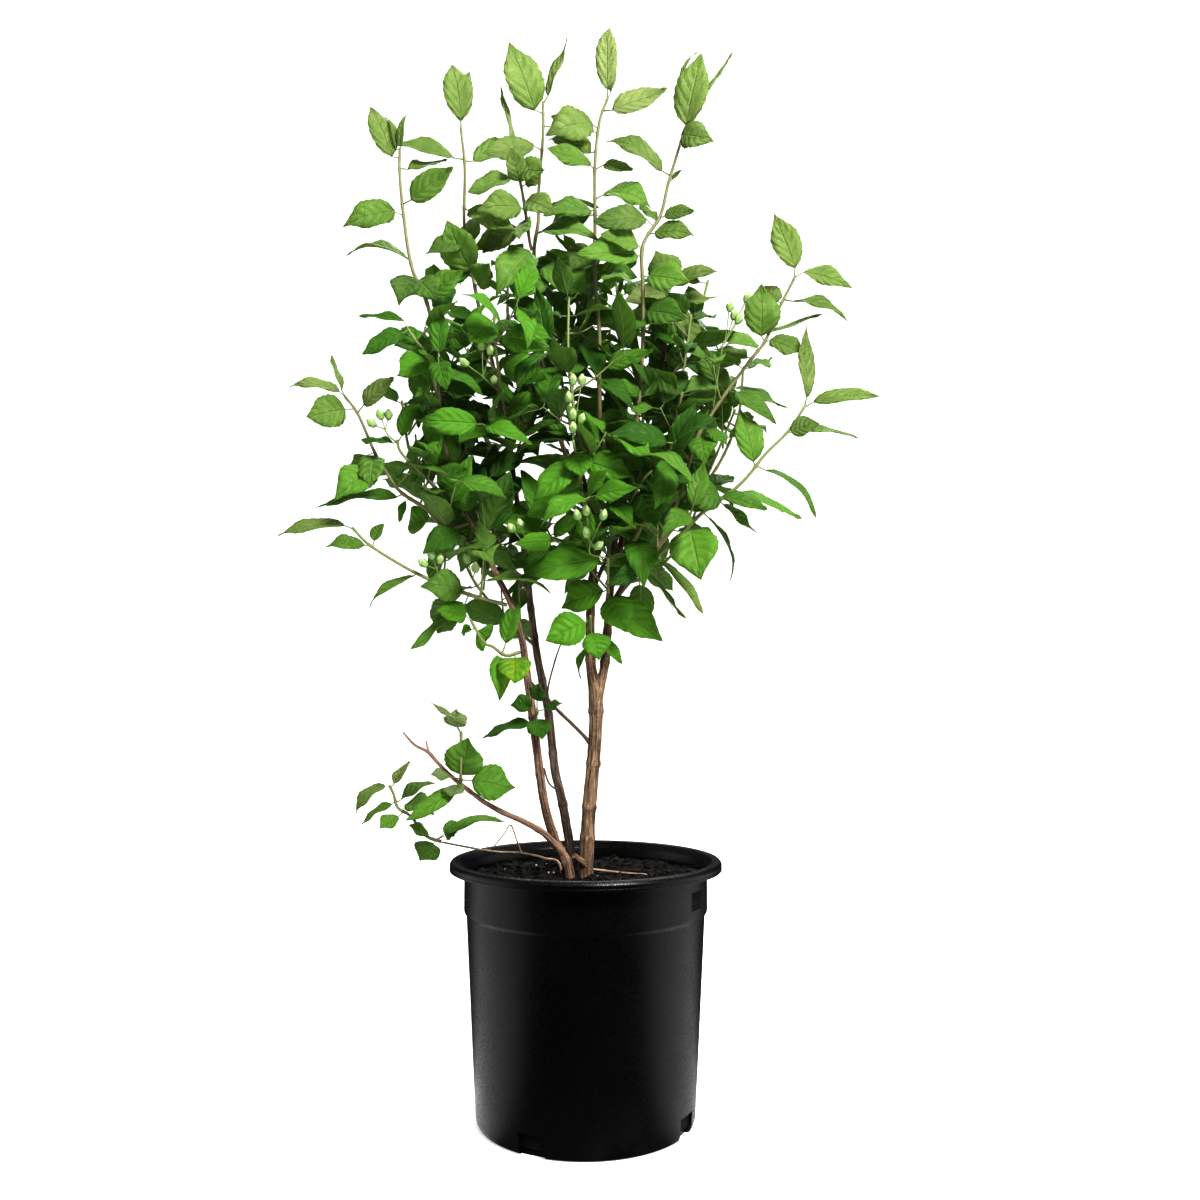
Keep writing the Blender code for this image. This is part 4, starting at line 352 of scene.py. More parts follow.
SPRAYS = {
    "buds_right": Spray("right_upper", [(14.5, 78.5, -3), (15.5, 86, -4), (16, 87, -4)], [(16.5, 91, -4),
        (18.5, 92, -4), (17.5, 89.5, -4), (17, 90, -3.5)]),
    "buds_left": Spray("left_mid_low", [(-21.5, 75, -8), (-22.5, 76, -8), (-23, 77, -8)],
        [(-23.5, 78.5, -8), (-24.5, 77.5, -8), (-22.5, 78.5, -7.5)]),
    "buds_upper": Spray("front_high", [(-10.5, 80.5, -5), (-11, 82, -8), (-12, 83, -9)], [(-14, 84.5, -9),
        (-12, 86.5, -9), (-11, 86, -9), (-10.5, 82.5, -9)]),
    "buds_middle": Spray("front_middle", [(-1.5, 75.5, -9), (-1.5, 76, -9.3)], [(-1.5, 77, -9.6),
        (-1.5, 78.5, -9.3), (-0.5, 78, -8.8), (-2, 80.5, -9), (-1.5, 82.5, -9), (-0.5, 82.5, -9.4)]),
    "buds_front": Spray("front_low", [(2.5, 62, -6), (0.5, 62.5, -8), (0.5, 64, -8.4)], [(-1, 67, -9),
        (0, 67.5, -9), (2, 67, -9), (0, 65, -9.2), (1.5, 63.5, -8.8)]),
    "buds_centre": Spray("centre", [(-4.5, 65.5, -1.5), (-6.5, 63, -6), (-6.5, 63, -6.5)],
        [(-8.5, 65.5, -7), (-7.5, 66, -7), (-7, 63.5, -7.5), (-6.5, 64, -7)]),
    "buds_low_left": Spray("left_low", [(-15.5, 58.5, -5.6), (-16.5, 60, -6.5), (-17, 61, -7)],
        [(-17.5, 62.5, -7), (-18.5, 61.5, -7), (-16.5, 62, -7)]),
    "buds_low": Spray("left_low", [(-12, 57.5, -5), (-12, 58.5, -6), (-13, 60, -6.5)], [(-13.5, 62, -6.5),
        (-12.5, 61, -7)]),
}

# Shoots that fill the crown's back and sides, whose leaves stand in crossed pairs by rule
BACK_SHOOTS = {
    "back_centre": Shoot("main", [(0.7, 58, 0.3), (3, 64, 8), (6, 74, 13), (7, 84, 15)]),
    "back_left": Shoot("middle", [(-6.4, 58, 5), (-10, 64, 10), (-14, 74, 14), (-15, 84, 15)]),
    "back_right": Shoot("main_back", [(6.1, 72.1, 5.5), (7, 80, 11), (4, 90, 14), (3, 98, 14)]),
    "back_high": Shoot("middle", [(-8, 69.5, 4.7), (-9, 80, 10), (-9, 90, 12), (-9, 96, 12)]),
    "back_side": Shoot("left", [(-11, 62, -4), (-17, 67, 2), (-20, 74, 5), (-21, 80, 6)]),
    "back_far": Shoot("main_back", [(4.3, 65, 4), (13, 70, 9), (17, 77, 11), (18, 84, 11)]),
    "back_low": Shoot("main_right", [(2.8, 59, 1.5), (7, 60, 8), (11, 64, 12), (13, 69, 14)]),
    "back_foot": Shoot("middle", [(-5.7, 52, 4.7), (-9, 55, 10), (-13, 60, 13), (-15, 66, 13)]),
    "back_middle": Shoot("main", [(1.2, 66, 0), (-1, 74, 7), (-3, 84, 10), (-3, 94, 10)]),
    "back_tall": Shoot("left", [(-13.4, 67, -3.6), (-16, 76, 4), (-17, 86, 7), (-17, 93, 7)]),
    "back_top": Shoot("main_back", [(8.2, 80.1, 5), (12, 87, 9), (14, 94, 9)]),
    "fill_left": Shoot("left", [(-10.1, 60, -4), (-12, 66, 1), (-15, 74, 2), (-17, 82, 1)]),
    "fill_right": Shoot("main_right", [(3.8, 69, -1.4), (9, 75, 1), (11, 83, 1), (12, 90, 1)]),
    "fill_centre": Shoot("main", [(1.4, 70, 0), (-1, 77, -4), (-2, 85, -5), (-2, 92, -4)]),
    "fill_front": Shoot("main_right", [(2.9, 61, 1.3), (6, 65, -4), (9, 73, -5), (11, 81, -4)]),
    "inner_left": Shoot("middle", [(-7.4, 65, 5), (-12, 71, 3), (-14, 79, 2), (-13.5, 86, 4)]),
    "inner_middle": Shoot("main_up", [(-3.6, 79.8, 1.1), (-3, 84, 5), (-1, 91, 7), (-1, 97, 7)]),
    "inner_right": Shoot("main_out", [(3.4, 57.4, 0.8), (8, 63, 5), (13, 70, 6), (17, 79, 5)]),
}
PAIR_EVERY = 0.064
PAIR_FIRST = 0.055
PAIR_LAST = 0.02
PAIR_SHRINK = 0.25
PAIR_RISE = (8, 38)
TIP_PAIR = 0.004
TIP_SMALL = 0.6
LEAF_UNREST = 70
TRIES = 40

# Leaves of the plan: their usual droop, how far each try moves them, and how their stalks leave the
# stem
DROOP = (16, 38)
DEPTH_UNREST = 2.2
TURN_UNREST = 30
DROOP_UNREST = 25
STALK_DROP = 0.003
LOWEST_LEAF = 0.006
LONGEST_STALK = 0.012
SHORTEST_STALK = 0.006
STALK_BEND = 0.35
STALK_SINK = 0.00013


class LeafRule(NamedTuple):
    """How the leaves of a kind stand on their stem: their length and its loss with unrest, unrest of
    the rise, width over length, stalk and how deep it is sunk, what they are set out across, sag, way
    of the upper side, roll about the midrib and times the usual droop."""

    long: tuple
    shrink: float
    unrest: float
    wide: float
    stalk: float
    sink: float
    aside: tuple
    sag: float
    upper: tuple
    roll: float
    droop: float


PAIR = LeafRule((0.060, 0.078), 0.4, 35, 0.56, 0.0093, STALK_SINK, (0.3, 1, 0), 0.15, (0, 0, 0.8), 25, 1.0)
TWIG = LeafRule(
    (0.048, 0.074), 0.35, 40, 0.48, SHORTEST_STALK, 0.0, (0.3, 1, 0.1), 0.2, (0, -0.5, 0.8), 30, 1.4
)

# The tall and outer shoots, which pale towards their tips
PALE_SHOOTS = (
    "top_left", "upper_left", "top_middle", "top_middle_side", "top", "top_right", "right_upper",
    "left_high",
)

# The crown's outline as seen, which the filling leaves stay inside
CROWN = (
    (-3, 114), (6, 111), (12, 97), (19, 89), (24, 83), (20, 75), (18, 68), (13, 61), (8, 53), (1.5, 51),
    (-5, 51), (-12, 53), (-19, 58), (-22, 64), (-27, 69), (-25, 78), (-25, 88), (-21, 96), (-18, 103),
)
CROWN_MIDDLE = (-3, 78)


def seen(place):
    """The point in space that a place of the plan stands for."""
    x, z, depth = (value * CM for value in place)
    return EYE + (Vector((x, 0, z)) - EYE) * (1 - depth / EYE.y)


def place_of(point):
    """Where a point is seen on the plan, in centimetres."""
    on_plane = EYE + (point - EYE) * (EYE.y / (EYE.y - point.y))
    return on_plane.x / CM, on_plane.z / CM


def in_crown(point):
    """Whether a point is seen inside the crown's outline."""
    spot = place_of(point)
    return any(
        intersect_point_tri_2d(spot, CROWN_MIDDLE, CROWN[i - 1], CROWN[i])
        for i in range(len(CROWN))
    )


class Blade(NamedTuple):
    """One leaf in space: where its stalk leaves the stem, its blade's two ends, and how it stands."""

    root: Vector
    base: Vector
    tip: Vector
    normal: Vector
    width: float
    droop: float
    phase: float


def half_width(blade, along):
    """Half the blade's width at a share of its length: rounded at the base, drawn out at the tip."""
    widest = BLADE_RISE / (BLADE_RISE + BLADE_FALL)
    share = (along / widest) ** BLADE_RISE * ((1 - along) / (1 - widest)) ** BLADE_FALL
    return max(blade.width / 2 * share, STALK_HALF)


def surface(blade, along, across, grow=0.0):
    """A point of the blade's middle surface: along it from 0 to 1, and across it from -1 to 1."""
    chord = blade.tip - blade.base
    side = chord.normalized().cross(blade.normal)
    arch = chord.length / 2 * math.tan(math.radians(blade.droop) / 4)
    half = (half_width(blade, along) + grow) * across
    fold = math.radians(BLADE_FOLD)
    wave = BLADE_WAVE * math.sin(9 * along + blade.phase + 1.3 * across) * across * across
    lift = arch * 4 * along * (1 - along) + abs(half) * math.sin(fold)
    lift += wave * min(1, blade.width / WAVE_WIDE)
    return blade.base + chord * along + side * half * math.cos(fold) + blade.normal * lift


def zipped(first, second):
    """Triangles between two rows of (share, corner), and the same ones whatever the rows' heights."""
    i = j = 0
    faces = []
    while i < len(first) - 1 or j < len(second) - 1:
        if j == len(second) - 1 or (i < len(first) - 1 and first[i + 1][0] <= second[j + 1][0]):
            faces.append((first[i][1], second[j][1], first[i + 1][1]))
            i += 1
        else:
            faces.append((first[i][1], second[j][1], second[j + 1][1]))
            j += 1
    return [face for face in faces if len(set(face)) == 3]


def blade_solid(blade, grow=0.0):
    """The corners and faces of a thin blade, thickest along the midrib, on a three-sided stalk."""
    chord = (blade.tip - blade.base).normalized()
    length = (blade.tip - blade.base).length
    way = (blade.base - blade.root).normalized()
    side = chord.cross(blade.normal)
    side = (side - way * side.dot(way)).normalized()
    keel = side.cross(way) * (STALK_KEEL + grow)
    half = side * (STALK_HALF + grow)
    section = (keel / 3 - half, keel / 3 + half, -keel)
    verts = [end + spot for end in (blade.root, blade.base) for spot in section]
    faces = [(0, 2, 1), (0, 1, 4, 3), (1, 2, 5, 4), (2, 0, 3, 5)]
    left, right, top, under = [(0, 3)], [(0, 4)], [], []
    for i, along in enumerate(SIDE_CUTS[4 if length > LONG_BLADE else 3]):
        for row, across in ((left, -1), (right, 1)):
            row.append((along, len(verts)))
            verts.append(surface(blade, along, across * (1 + TOOTH * (-1) ** i * across), grow))
    thick = blade.normal * (BLADE_THICK / 2 + grow)
    for along in BENT_MIDS if blade.droop > BENT_BLADE and length > LONG_BLADE else FLAT_MIDS:
        for row, offset in ((top, thick), (under, -thick)):
            row.append((along, len(verts)))
            verts.append(surface(blade, along, 0) + offset)
    for row in (left, right, top, under):
        row.append((1, len(verts)))
    verts.append(blade.tip + chord * grow)
    faces += zipped(top, right) + [face[::-1] for face in zipped(top, left)]
    faces += [face[::-1] for face in zipped(under, right)] + zipped(under, left)
    faces += [(top[0][1], 3, 4), (4, 5, under[0][1]), (5, 3, under[0][1])]
    return verts, faces


def facing(base, tip, turn):
    """The way a blade's upper side looks: from straight at the eye, turned towards the sky."""
    chord = (tip - base).normalized()
    to_eye = EYE - base
    to_eye = (to_eye - chord * to_eye.dot(chord)).normalized()
    to_sky = chord.cross(to_eye)
    if to_sky.z < 0:
        to_sky.negate()
    angle = math.radians(turn)
    return to_eye * math.cos(angle) + to_sky * math.sin(angle)


def along_line(points, distance):
    """The point at a distance along a line of points, and the way the line runs there."""
    for a, b in zip(points, points[1:]):
        step = (b - a).length
        if distance <= step or b is points[-1]:
            return a.lerp(b, min(1, distance / step)), (b - a).normalized()
        distance -= step


def nearest_on(points, spot):
    """How far along a line of points its nearest point to a spot lies."""
    best, run = (math.inf, 0.0), 0.0
    for a, b in zip(points, points[1:]):
        way = b - a
        share = max(0.0, min(1.0, (spot - a).dot(way) / way.length_squared))
        best = min(best, ((a + way * share - spot).length, run + way.length * share))
        run += way.length
    return best[1]


def line_length(points):
    return sum((b - a).length for a, b in zip(points, points[1:]))


def box_of(verts):
    """The lowest and highest corner of the box round some corners."""
    return [min(v[i] for v in verts) for i in range(3)], [max(v[i] for v in verts) for i in range(3)]


def solid_of(obj):
    """An object's corners and faces."""
    verts = [vert.co.copy() for vert in obj.data.vertices]
    return verts, [tuple(face.vertices) for face in obj.data.polygons]


class Standing:
    """Everything that already stands, which later stems and leaves keep clear of."""

    def __init__(self):
        self.items = []

    def add(self, owner, kind, verts, faces):
        self.items.append((owner, kind, *box_of(verts), BVHTree.FromPolygons(verts, faces)))

    def hits(self, verts, faces, matters):
        """The owners of what these faces cross, of those that matter."""
        low, high = box_of(verts)
        tree = BVHTree.FromPolygons(verts, faces)
        found = set()
        for owner, kind, item_low, item_high, item_tree in self.items:
            apart = any(low[i] > item_high[i] or high[i] < item_low[i] for i in range(3))
            if not apart and matters(owner, kind) and tree.overlap(item_tree):
                found.add(owner)
        return found


def shoot_radius(points, share):
    """A young stem's radius: thinner towards its tip, and thinner altogether on a short one."""
    grown = min(1.0, line_length(points) / SHOOT_LONG)
    base = SHOOT_BASE_RADIUS + (SHOOT_LONG_RADIUS - SHOOT_BASE_RADIUS) * grown
    return base + (SHOOT_TIP_RADIUS - base) * share


def seated(points, radius, carrier):
    """A line of points that starts just clear of the object that it grows from."""
    tree = BVHTree.FromPolygons(*solid_of(carrier))
    start, way = points[0], (points[1] - points[0]).normalized()
    trial = pipe("trial", points, [radius] * len(points), THIN_SIDES)
    ring = [vert.co - start for vert in trial.data.vertices if (vert.co - start).length < 1.1 * radius]
    bpy.data.objects.remove(trial)
    ring += [(a + b) / 2 for a in ring for b in ring]
    reach = min(SEAT_REACH, (points[1] - start).length * 0.8)
    while reach > 0:
        middle = start + way * reach
        if min(tree.find_nearest(middle + spot)[3] for spot in ring) < CLEAR:
            break
        reach -= SEAT_STEP
    return [start + way * (reach + SEAT_STEP), *points[1:]]


def planned(line, leaf, draw, unrest):
    """A leaf of the plan as a blade, moved a little more with more unrest."""
    base_x, base_z, tip_x, tip_z, toward, width, turn, *droop = leaf
    toward += unrest * draw.uniform(-DEPTH_UNREST, DEPTH_UNREST)
    turn += unrest * draw.uniform(-TURN_UNREST, TURN_UNREST)
    droop = droop[0] if droop else draw.uniform(*DROOP)
    droop += unrest * draw.uniform(-DROOP_UNREST, DROOP_UNREST)
    depth = line[0].y / CM
    for _ in range(3):
        depth = along_line(line, nearest_on(line, seen((base_x, base_z, depth))))[0].y / CM
    base = seen((base_x, base_z, depth + 0.3 * toward))
    tip = seen((tip_x, tip_z, depth + toward))
    reach = nearest_on(line, base) - STALK_DROP
    on_stem = along_line(line, max(LOWEST_LEAF, min(reach, line_length(line) - STALK_DROP)))[0]
    stalk = base - on_stem
    if stalk.length > LONGEST_STALK:
        base = on_stem + stalk * (LONGEST_STALK / stalk.length)
    if stalk.length < SHORTEST_STALK or stalk.normalized().dot((tip - base).normalized()) < STALK_BEND:
        base = on_stem + (tip - on_stem).normalized() * SHORTEST_STALK
        stalk = base - on_stem
    root = on_stem - stalk.normalized() * STALK_SINK
    shrink = 1 - 0.3 * max(0, unrest - 0.6)
    tip = base.lerp(tip, shrink)
    normal = facing(base, tip, turn)
    return Blade(root, base, tip, normal, width * CM * shrink, droop, draw.uniform(0, math.tau))


def stem_leaf(kind, line, distance, azimuth, small, draw, unrest):
    """One leaf of a crossed pair on a filling shoot or on one of its side stems."""
    on_stem, axis = along_line(line, distance)
    azimuth += unrest * draw.uniform(-LEAF_UNREST, LEAF_UNREST)
    rise = math.radians(draw.uniform(*PAIR_RISE) + unrest * draw.uniform(-kind.unrest, kind.unrest))
    long = draw.uniform(*kind.long) * small * (1 - kind.shrink * unrest)
    across = axis.cross(Vector(kind.aside)).normalized()
    outward = Matrix.Rotation(math.radians(azimuth), 3, axis) @ across
    way = (outward * math.cos(rise) + axis * math.sin(rise) - Vector((0, 0, kind.sag))).normalized()
    upper = axis + Vector(kind.upper)
    upper = (upper - way * upper.dot(way)).normalized()
    normal = Matrix.Rotation(math.radians(draw.uniform(-kind.roll, kind.roll)), 3, way) @ upper
    base = on_stem + way * kind.stalk
    width, droop = long * kind.wide, draw.uniform(*DROOP) * kind.droop
    phase = draw.uniform(0, math.tau)
    return Blade(on_stem - way * kind.sink, base, base + way * long, normal, width, droop, phase)


def pair_places(line, draw):
    """Where the leaves of a filling shoot grow: distance, turn round the stem and size."""
    total = line_length(line)
    distance, turn = PAIR_FIRST, draw.uniform(0, 180)
    while distance < total - PAIR_LAST:
        small = 1 - PAIR_SHRINK * distance / total
        yield distance, turn, small
        yield distance, turn + 180, small
        distance += PAIR_EVERY * draw.uniform(0.85, 1.15)
        turn += 90
    yield total - TIP_PAIR, turn, TIP_SMALL
    yield total - TIP_PAIR, turn + 180, TIP_SMALL


def settled(make, node, standing, inside=None, strict=False):
    """The first try that keeps clear of the rest, or one that crosses only its own shoot's leaves."""
    spare = None
    for attempt in range(TRIES):
        blade = make(attempt / TRIES)
        if inside and not inside(blade.tip):
            continue
        if standing.hits(*blade_solid(blade, LEAF_GAP), lambda owner, kind: owner != node):
            continue
        verts, faces = blade_solid(blade)
        faces = [face for face in faces if min(face) > 2]
        if not standing.hits(verts, faces, lambda owner, kind: owner == node and kind == "leaf"):
            return blade
        spare = spare or blade
    return None if strict else spare


# Filling twigs, which only the finished look has: short side stems with pairs of smaller leaves
TWIG_EVERY = 0.038
TWIG_FIRST = 0.03
TWIG_LONG = (0.035, 0.075)
TWIG_RADIUS = 0.0011
TWIG_LEAN = (0.2, 0.9)
TWIG_TURN = (40, 100)
TWIG_NEXT = 130
TWIG_LIFT = Vector((0, 0, 0.2))
TWIG_SAG = Vector((0, 0, -0.003))
TWIG_PAIRS = (0.42, 0.98)
TWIG_TRIES = 26
TWIG_CROWN = 0.75

# Leaves that only the finished look has, each on its shoot, as in the plan
EXTRA_LEAVES = (
    ("top_middle", -6.4, 110, -12.2, 108.2, -3, 3.0, 35),
    ("top_middle", -6.5, 109.5, -10.2, 105, -4, 3.8, 20), ("upper_left", -14, 103, -7.8, 99, -3, 3.0, 35),
    ("upper_left", -14, 98.5, -18.5, 97, -2, 2.6, 40),
    ("top_middle_side", -9.5, 100, -12.5, 96.8, 3, 3.2, 20), ("top", 1, 111.5, -4.7, 113.5, 2, 3.4, 30),
    ("top", 1, 103, -5, 101.5, -4, 3.0, 45), ("top", 1, 101.8, -4.8, 99.6, 2, 3.2, 40),
    ("top", 1.2, 99, 5.5, 96, -3, 3.4, 30), ("top", 1, 98.5, -2, 95, -2, 3.4, 30),
    ("top", 1, 95, 6, 94.5, 2, 3.0, 40), ("top_right", 6.5, 100.5, 12.3, 99.6, -2, 2.7, 45),
    ("top_right", 6.5, 95, 12, 93.5, -2, 3.6, 30), ("top_right", 6.5, 91, 11.5, 89.5, -3, 3.4, 30),
    ("top_middle_side", -7.6, 105.4, -4.4, 106.8, -3, 2.8, 30),
    ("top_middle_side", -7.8, 105.6, -8.8, 109.6, -3, 2.6, 20),
    ("top_middle_side", -7.6, 104.0, -3.6, 101.8, -3, 3.0, 30),
    ("top_right", 6.4, 97.5, -1.4, 96.6, -4, 3.6, 35), ("top_right", 6.6, 101.5, 0.6, 100.2, -2, 3.2, 35),
    ("top_middle", -6.6, 97.5, -10.3, 92.8, -5, 4.2, 25),
    ("low_left", -16.2, 32.7, -20.0, 32.3, -2, 1.9, 20), ("top_left", -18, 92, -14, 95, -2, 3.0, 30),
    ("top_left", -17.5, 88, -22, 86, -2, 3.2, 35),
)

# Colours of small effects, and sizes of the fine pieces
NEWEST_GREEN = (0.70, 0.82, 0.40)
VEIN_GREEN = (0.62, 0.74, 0.33)
LIGHT_THROUGH = (0.56, 0.75, 0.12)
STEM_LINES = (0.16, 0.14, 0.06)
LINE_STEP = 0.004
LEAF_ROWS = 16
LEAF_COLUMNS = 4
RIB_SPOTS = (0.12, 0.3, 0.5, 0.7, 0.88)
RIB_SINK = 0.0002
RIB_RADII = (0.00085, 0.0007, 0.0006, 0.0005, 0.0004, 0.0003, 0.0002)
RIB_SIDES = 5
SIDE_RISE = 0.62
SIDE_FALL = 0.86
TIP_DRAWN = 0.60
TIP_CURL = 0.15
TOOTH_LEAN = 0.016
TWIST = 0.5
MARGIN_WAVE = 0.0012
QUILT = 0.0013
CANE_STEP = 0.003
SOIL_FINE = 40
BOX_ROOM = 0.004
BOX_SKIN = 0.0003

# How the shoots look: wider leaves, how far down a shoot its leaves are young and how young the
# rest are, painted light on front shoots and painted shade on back shoots and the tuft, and single
# leaves that are spoilt or, below zero, folded
TOP_WIDER = 1.12
WIDER = (*PALE_SHOOTS, "low_left", "left_low", "right_low")
AGES = {name: (0.32, 0.15) for name in PALE_SHOOTS} | {
    "left_high": (0.14, 0.06), "right_upper": (0.22, 0.22), "right_long": (0.13, 0.28),
    "right_low": (0.05, 0.3), "left_low": (0.05, 0.5), "low_left": (0.03, 0.28),
    "low_side": (0.04, 0.3), "right_back": (0.1, 0.25),
}
AGE_CURVE = 1.15
AGE_DRAW = (0.6, 1.0)
SHOOT_TOPS = {name: max(z for _, z, _ in SHOOTS[name].places) * CM for name in AGES}
TIP_REACH = 0.012
TIP_TONE = 0.9
TIP_AGES = {name: 0.76 for name in PALE_SHOOTS if name != "top_middle_side"} | {"top": 1.0}
# Front shoots whose leaves get painted light: a brighter tone, as if well lit
PAINTED_LIGHT_SHOOTS = (
    "front_middle", "front_high", "front_low", "front_low_left", "front_right", "front_centre",
    "left_hanging",
)
PAINTED_LIGHT_TONE, USUAL_TONE = (0.75, 1.0), (0.2, 0.85)
# Painted shade: how much darker the leaves of back shoots and of the tuft under the crown are
BACK_PAINTED_SHADE = 0.6
TUFT_PAINTED_SHADE = 0.3
SPOILT = {("left_hanging", 0): 0.25, ("left_hanging", 1): 0.40, ("low_side", 8): 0.25}
SPOILT |= {("low_left", i): -0.75 for i in (2, 3, 4, 5)}
PALE_STEM, USUAL_STEM = (0.45, 0.4), (0.0, 0.7)

# How the canes look: painted shade towards the crown, darker twigs, a paler low branch, scars and collars
CANE_SHADES = {"twig_cross": 0.75, "twig_fine": 0.6, "low_branch": -0.3, "low_fork": -0.8}
# Heights where the painted shade of the crown on the canes begins and is full, and how dark it gets
SHADE_FROM, SHADE_TO, DEEPEST_SHADE = 0.55, 0.78, 0.6
THIN_CANE = 0.003
SCAR_REACH = 0.003
FORK_SWELL = 0.45
BARK_BUMP = 0.085
THICK_CANE = 2.5

# Shoots of the plan that carry filling twigs, and where the growth is kept for the operators
TWIGGED = (
    "centre", "front_high", "front_middle", "front_centre", "right_inner", "left_mid", "left_mid_low",
    "right_long", "right_upper", "left_low", "left_high", "front_low", "front_right",
)
GROWN = []


def tint(label, whose, value):
    """A colour that the user can change."""
    return bpy.props.FloatVectorProperty(
        name=label, description="Colour of " + whose, default=value, subtype="COLOR"
    )


class MockOrangePot(bpy.types.PropertyGroup):
    """Sizes and colours of the nursery pot."""

    steps: bpy.props.IntProperty(name="Steps", description="Faces round the pot", default=144)
    lip_round: bpy.props.FloatProperty(
        name="Lip rounding", description="Radius of the rolled edges", default=0.0011, unit="LENGTH"
    )
    plastic: tint("Plastic", "the black plastic", (0.0009, 0.0010, 0.0011))
    dust: tint("Dust", "the dry dust on the pot", (0.045, 0.041, 0.036))


class MockOrangeSoil(bpy.types.PropertyGroup):
    """Sizes and colours of the potting mix."""

    crumbs: bpy.props.IntProperty(name="Crumbs", description="Loose lumps of soil on the top", default=900)
    chips: bpy.props.IntProperty(name="Chips", description="Bits of bark on the top", default=150)
    perlite: bpy.props.IntProperty(name="Perlite", description="White grains on the top", default=34)
    earth: tint("Earth", "the damp soil", (0.0038, 0.0029, 0.0022))
    chip: tint("Chip", "the bark chips", (0.020, 0.0135, 0.009))
    grain: tint("Grain", "the perlite", (0.62, 0.60, 0.56))


class MockOrangeBark(bpy.types.PropertyGroup):
    """Sizes and colours of the woody canes."""

    sides: bpy.props.IntProperty(name="Sides", description="Faces round a cane", default=16)
    knot_every: bpy.props.FloatProperty(
        name="Knot spacing", description="Distance between leaf scars", default=0.052, unit="LENGTH"
    )
    knot_rise: bpy.props.FloatProperty(
        name="Knot rise", description="How much thicker a cane is at a scar", default=0.16,
        subtype="FACTOR",
    )
    tan: tint("Tan bark", "the main cane", (0.25, 0.162, 0.100))
    brown: tint("Brown bark", "the left cane", (0.23, 0.14, 0.092))
    grey: tint("Grey bark", "the middle cane", (0.14, 0.094, 0.066))
    pale: tint("Dry twigs", "the thin dry twigs", (0.42, 0.31, 0.21))


class MockOrangeLeaf(bpy.types.PropertyGroup):
    """Sizes and colours of the leaves and young stems."""

    thick: bpy.props.FloatProperty(
        name="Thickness", description="Thickness of a leaf blade", default=0.0004, unit="LENGTH"
    )
    tooth: bpy.props.FloatProperty(
        name="Teeth", description="Height of the margin's teeth, of half the width", default=0.052,
        subtype="FACTOR",
    )
    veins: bpy.props.FloatProperty(name="Side veins", description="Side veins along a leaf", default=5.5)
    green: tint("Green", "a grown leaf", (0.134, 0.342, 0.028))
    # The painted shade of back shoots and the tuft takes their leaves towards this deep green
    deep: tint("Deep green", "an old leaf", (0.024, 0.094, 0.009))
    young: tint("Young green", "a young leaf", (0.40, 0.44, 0.185))
    olive: tint("Olive", "a young leaf's darker patches", (0.135, 0.208, 0.045))
    under: tint("Underside", "a leaf's underside", (0.15, 0.27, 0.06))
    folded: tint("Folded", "a folded leaf", (0.31, 0.37, 0.19))
    yellow: tint("Yellow", "a fading patch", (0.26, 0.40, 0.03))
    brown: tint("Brown", "a dead patch", (0.16, 0.065, 0.02))
    stem: tint("Stem", "a young stem", (0.19, 0.25, 0.085))
    stem_old: tint("Older stem", "a young stem's lower end", (0.19, 0.145, 0.085))


class MockOrangeBud(bpy.types.PropertyGroup):
    """Sizes and colours of the flower buds."""

    long: bpy.props.FloatProperty(
        name="Length", description="Length of a bud", default=0.0122, unit="LENGTH"
    )
    wide: bpy.props.FloatProperty(
        name="Width", description="Width of a bud", default=0.0082, unit="LENGTH"
    )
    petal: tint("Petal", "the closed petals", (0.40, 0.50, 0.235))
    sepal: tint("Sepal", "the green cup", (0.25, 0.38, 0.13))


class MockOrangeStage(bpy.types.PropertyGroup):
    """The camera, the floor and the light."""

    eye: bpy.props.FloatVectorProperty(
        name="Camera", description="Place of the camera", default=tuple(EYE), subtype="TRANSLATION"
    )
    tilt: bpy.props.FloatProperty(
        name="Tilt", description="How far the camera looks up", default=0.0574, subtype="ANGLE"
    )
    lens: bpy.props.FloatProperty(name="Lens", description="Focal length in millimetres", default=36.0)
    floor: bpy.props.FloatProperty(
        name="Floor", description="Width of the floor", default=60.0, unit="LENGTH"
    )
    sky: bpy.props.FloatProperty(
        name="Sky", description="Strength of the light from all round", default=0.40
    )
    front: bpy.props.FloatProperty(
        name="Front", description="Strength of the light from the camera's side", default=0.10
    )
    key: bpy.props.FloatProperty(
        name="Key light", description="Watts of the light before the plant", default=165.0
    )
    back: bpy.props.FloatProperty(
        name="Back light", description="Watts of the light behind the plant", default=48.0
    )
    # Also how strongly the floor glows in its painted reflection on the pot
    glow: bpy.props.FloatProperty(
        name="Side glow", description="Strength of the studio's sides in reflections", default=1.3
    )
    lift: bpy.props.FloatProperty(
        name="Lift", description="How much the camera sees the floor lifted", default=0.45
    )
    exposure: bpy.props.FloatProperty(
        name="Exposure", description="Exposure of the picture in stops", default=0.43
    )
    gamma: bpy.props.FloatProperty(
        name="Gamma", description="Below 1 the picture has more contrast", default=0.74
    )
    pale: tint("Pale floor", "the floor", (0.86, 0.86, 0.855))


def only(obj):
    """Select one object and nothing else."""
    if bpy.context.object and bpy.context.object.mode != "OBJECT":
        bpy.ops.object.mode_set(mode="OBJECT")
    bpy.ops.object.select_all(action="DESELECT")
    obj.select_set(True)
    bpy.context.view_layer.objects.active = obj


def joined(name, objects):
    """The objects as one, under a name."""
    only(objects[0])
    for obj in objects:
        obj.select_set(True)
    if len(objects) > 1:
        bpy.ops.object.join()
    made = bpy.context.object
    made.name = made.data.name = name
    return made


def applied(obj):
    """The object with its modifiers applied, in order."""
    only(obj)
    for modifier in list(obj.modifiers):
        bpy.ops.object.modifier_apply(modifier=modifier.name)
    return obj


def placed(piece, node):
    """Make a finished piece ride on the body and stand for its CAD node, which is hidden."""
    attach(piece, "root")
    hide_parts(node)


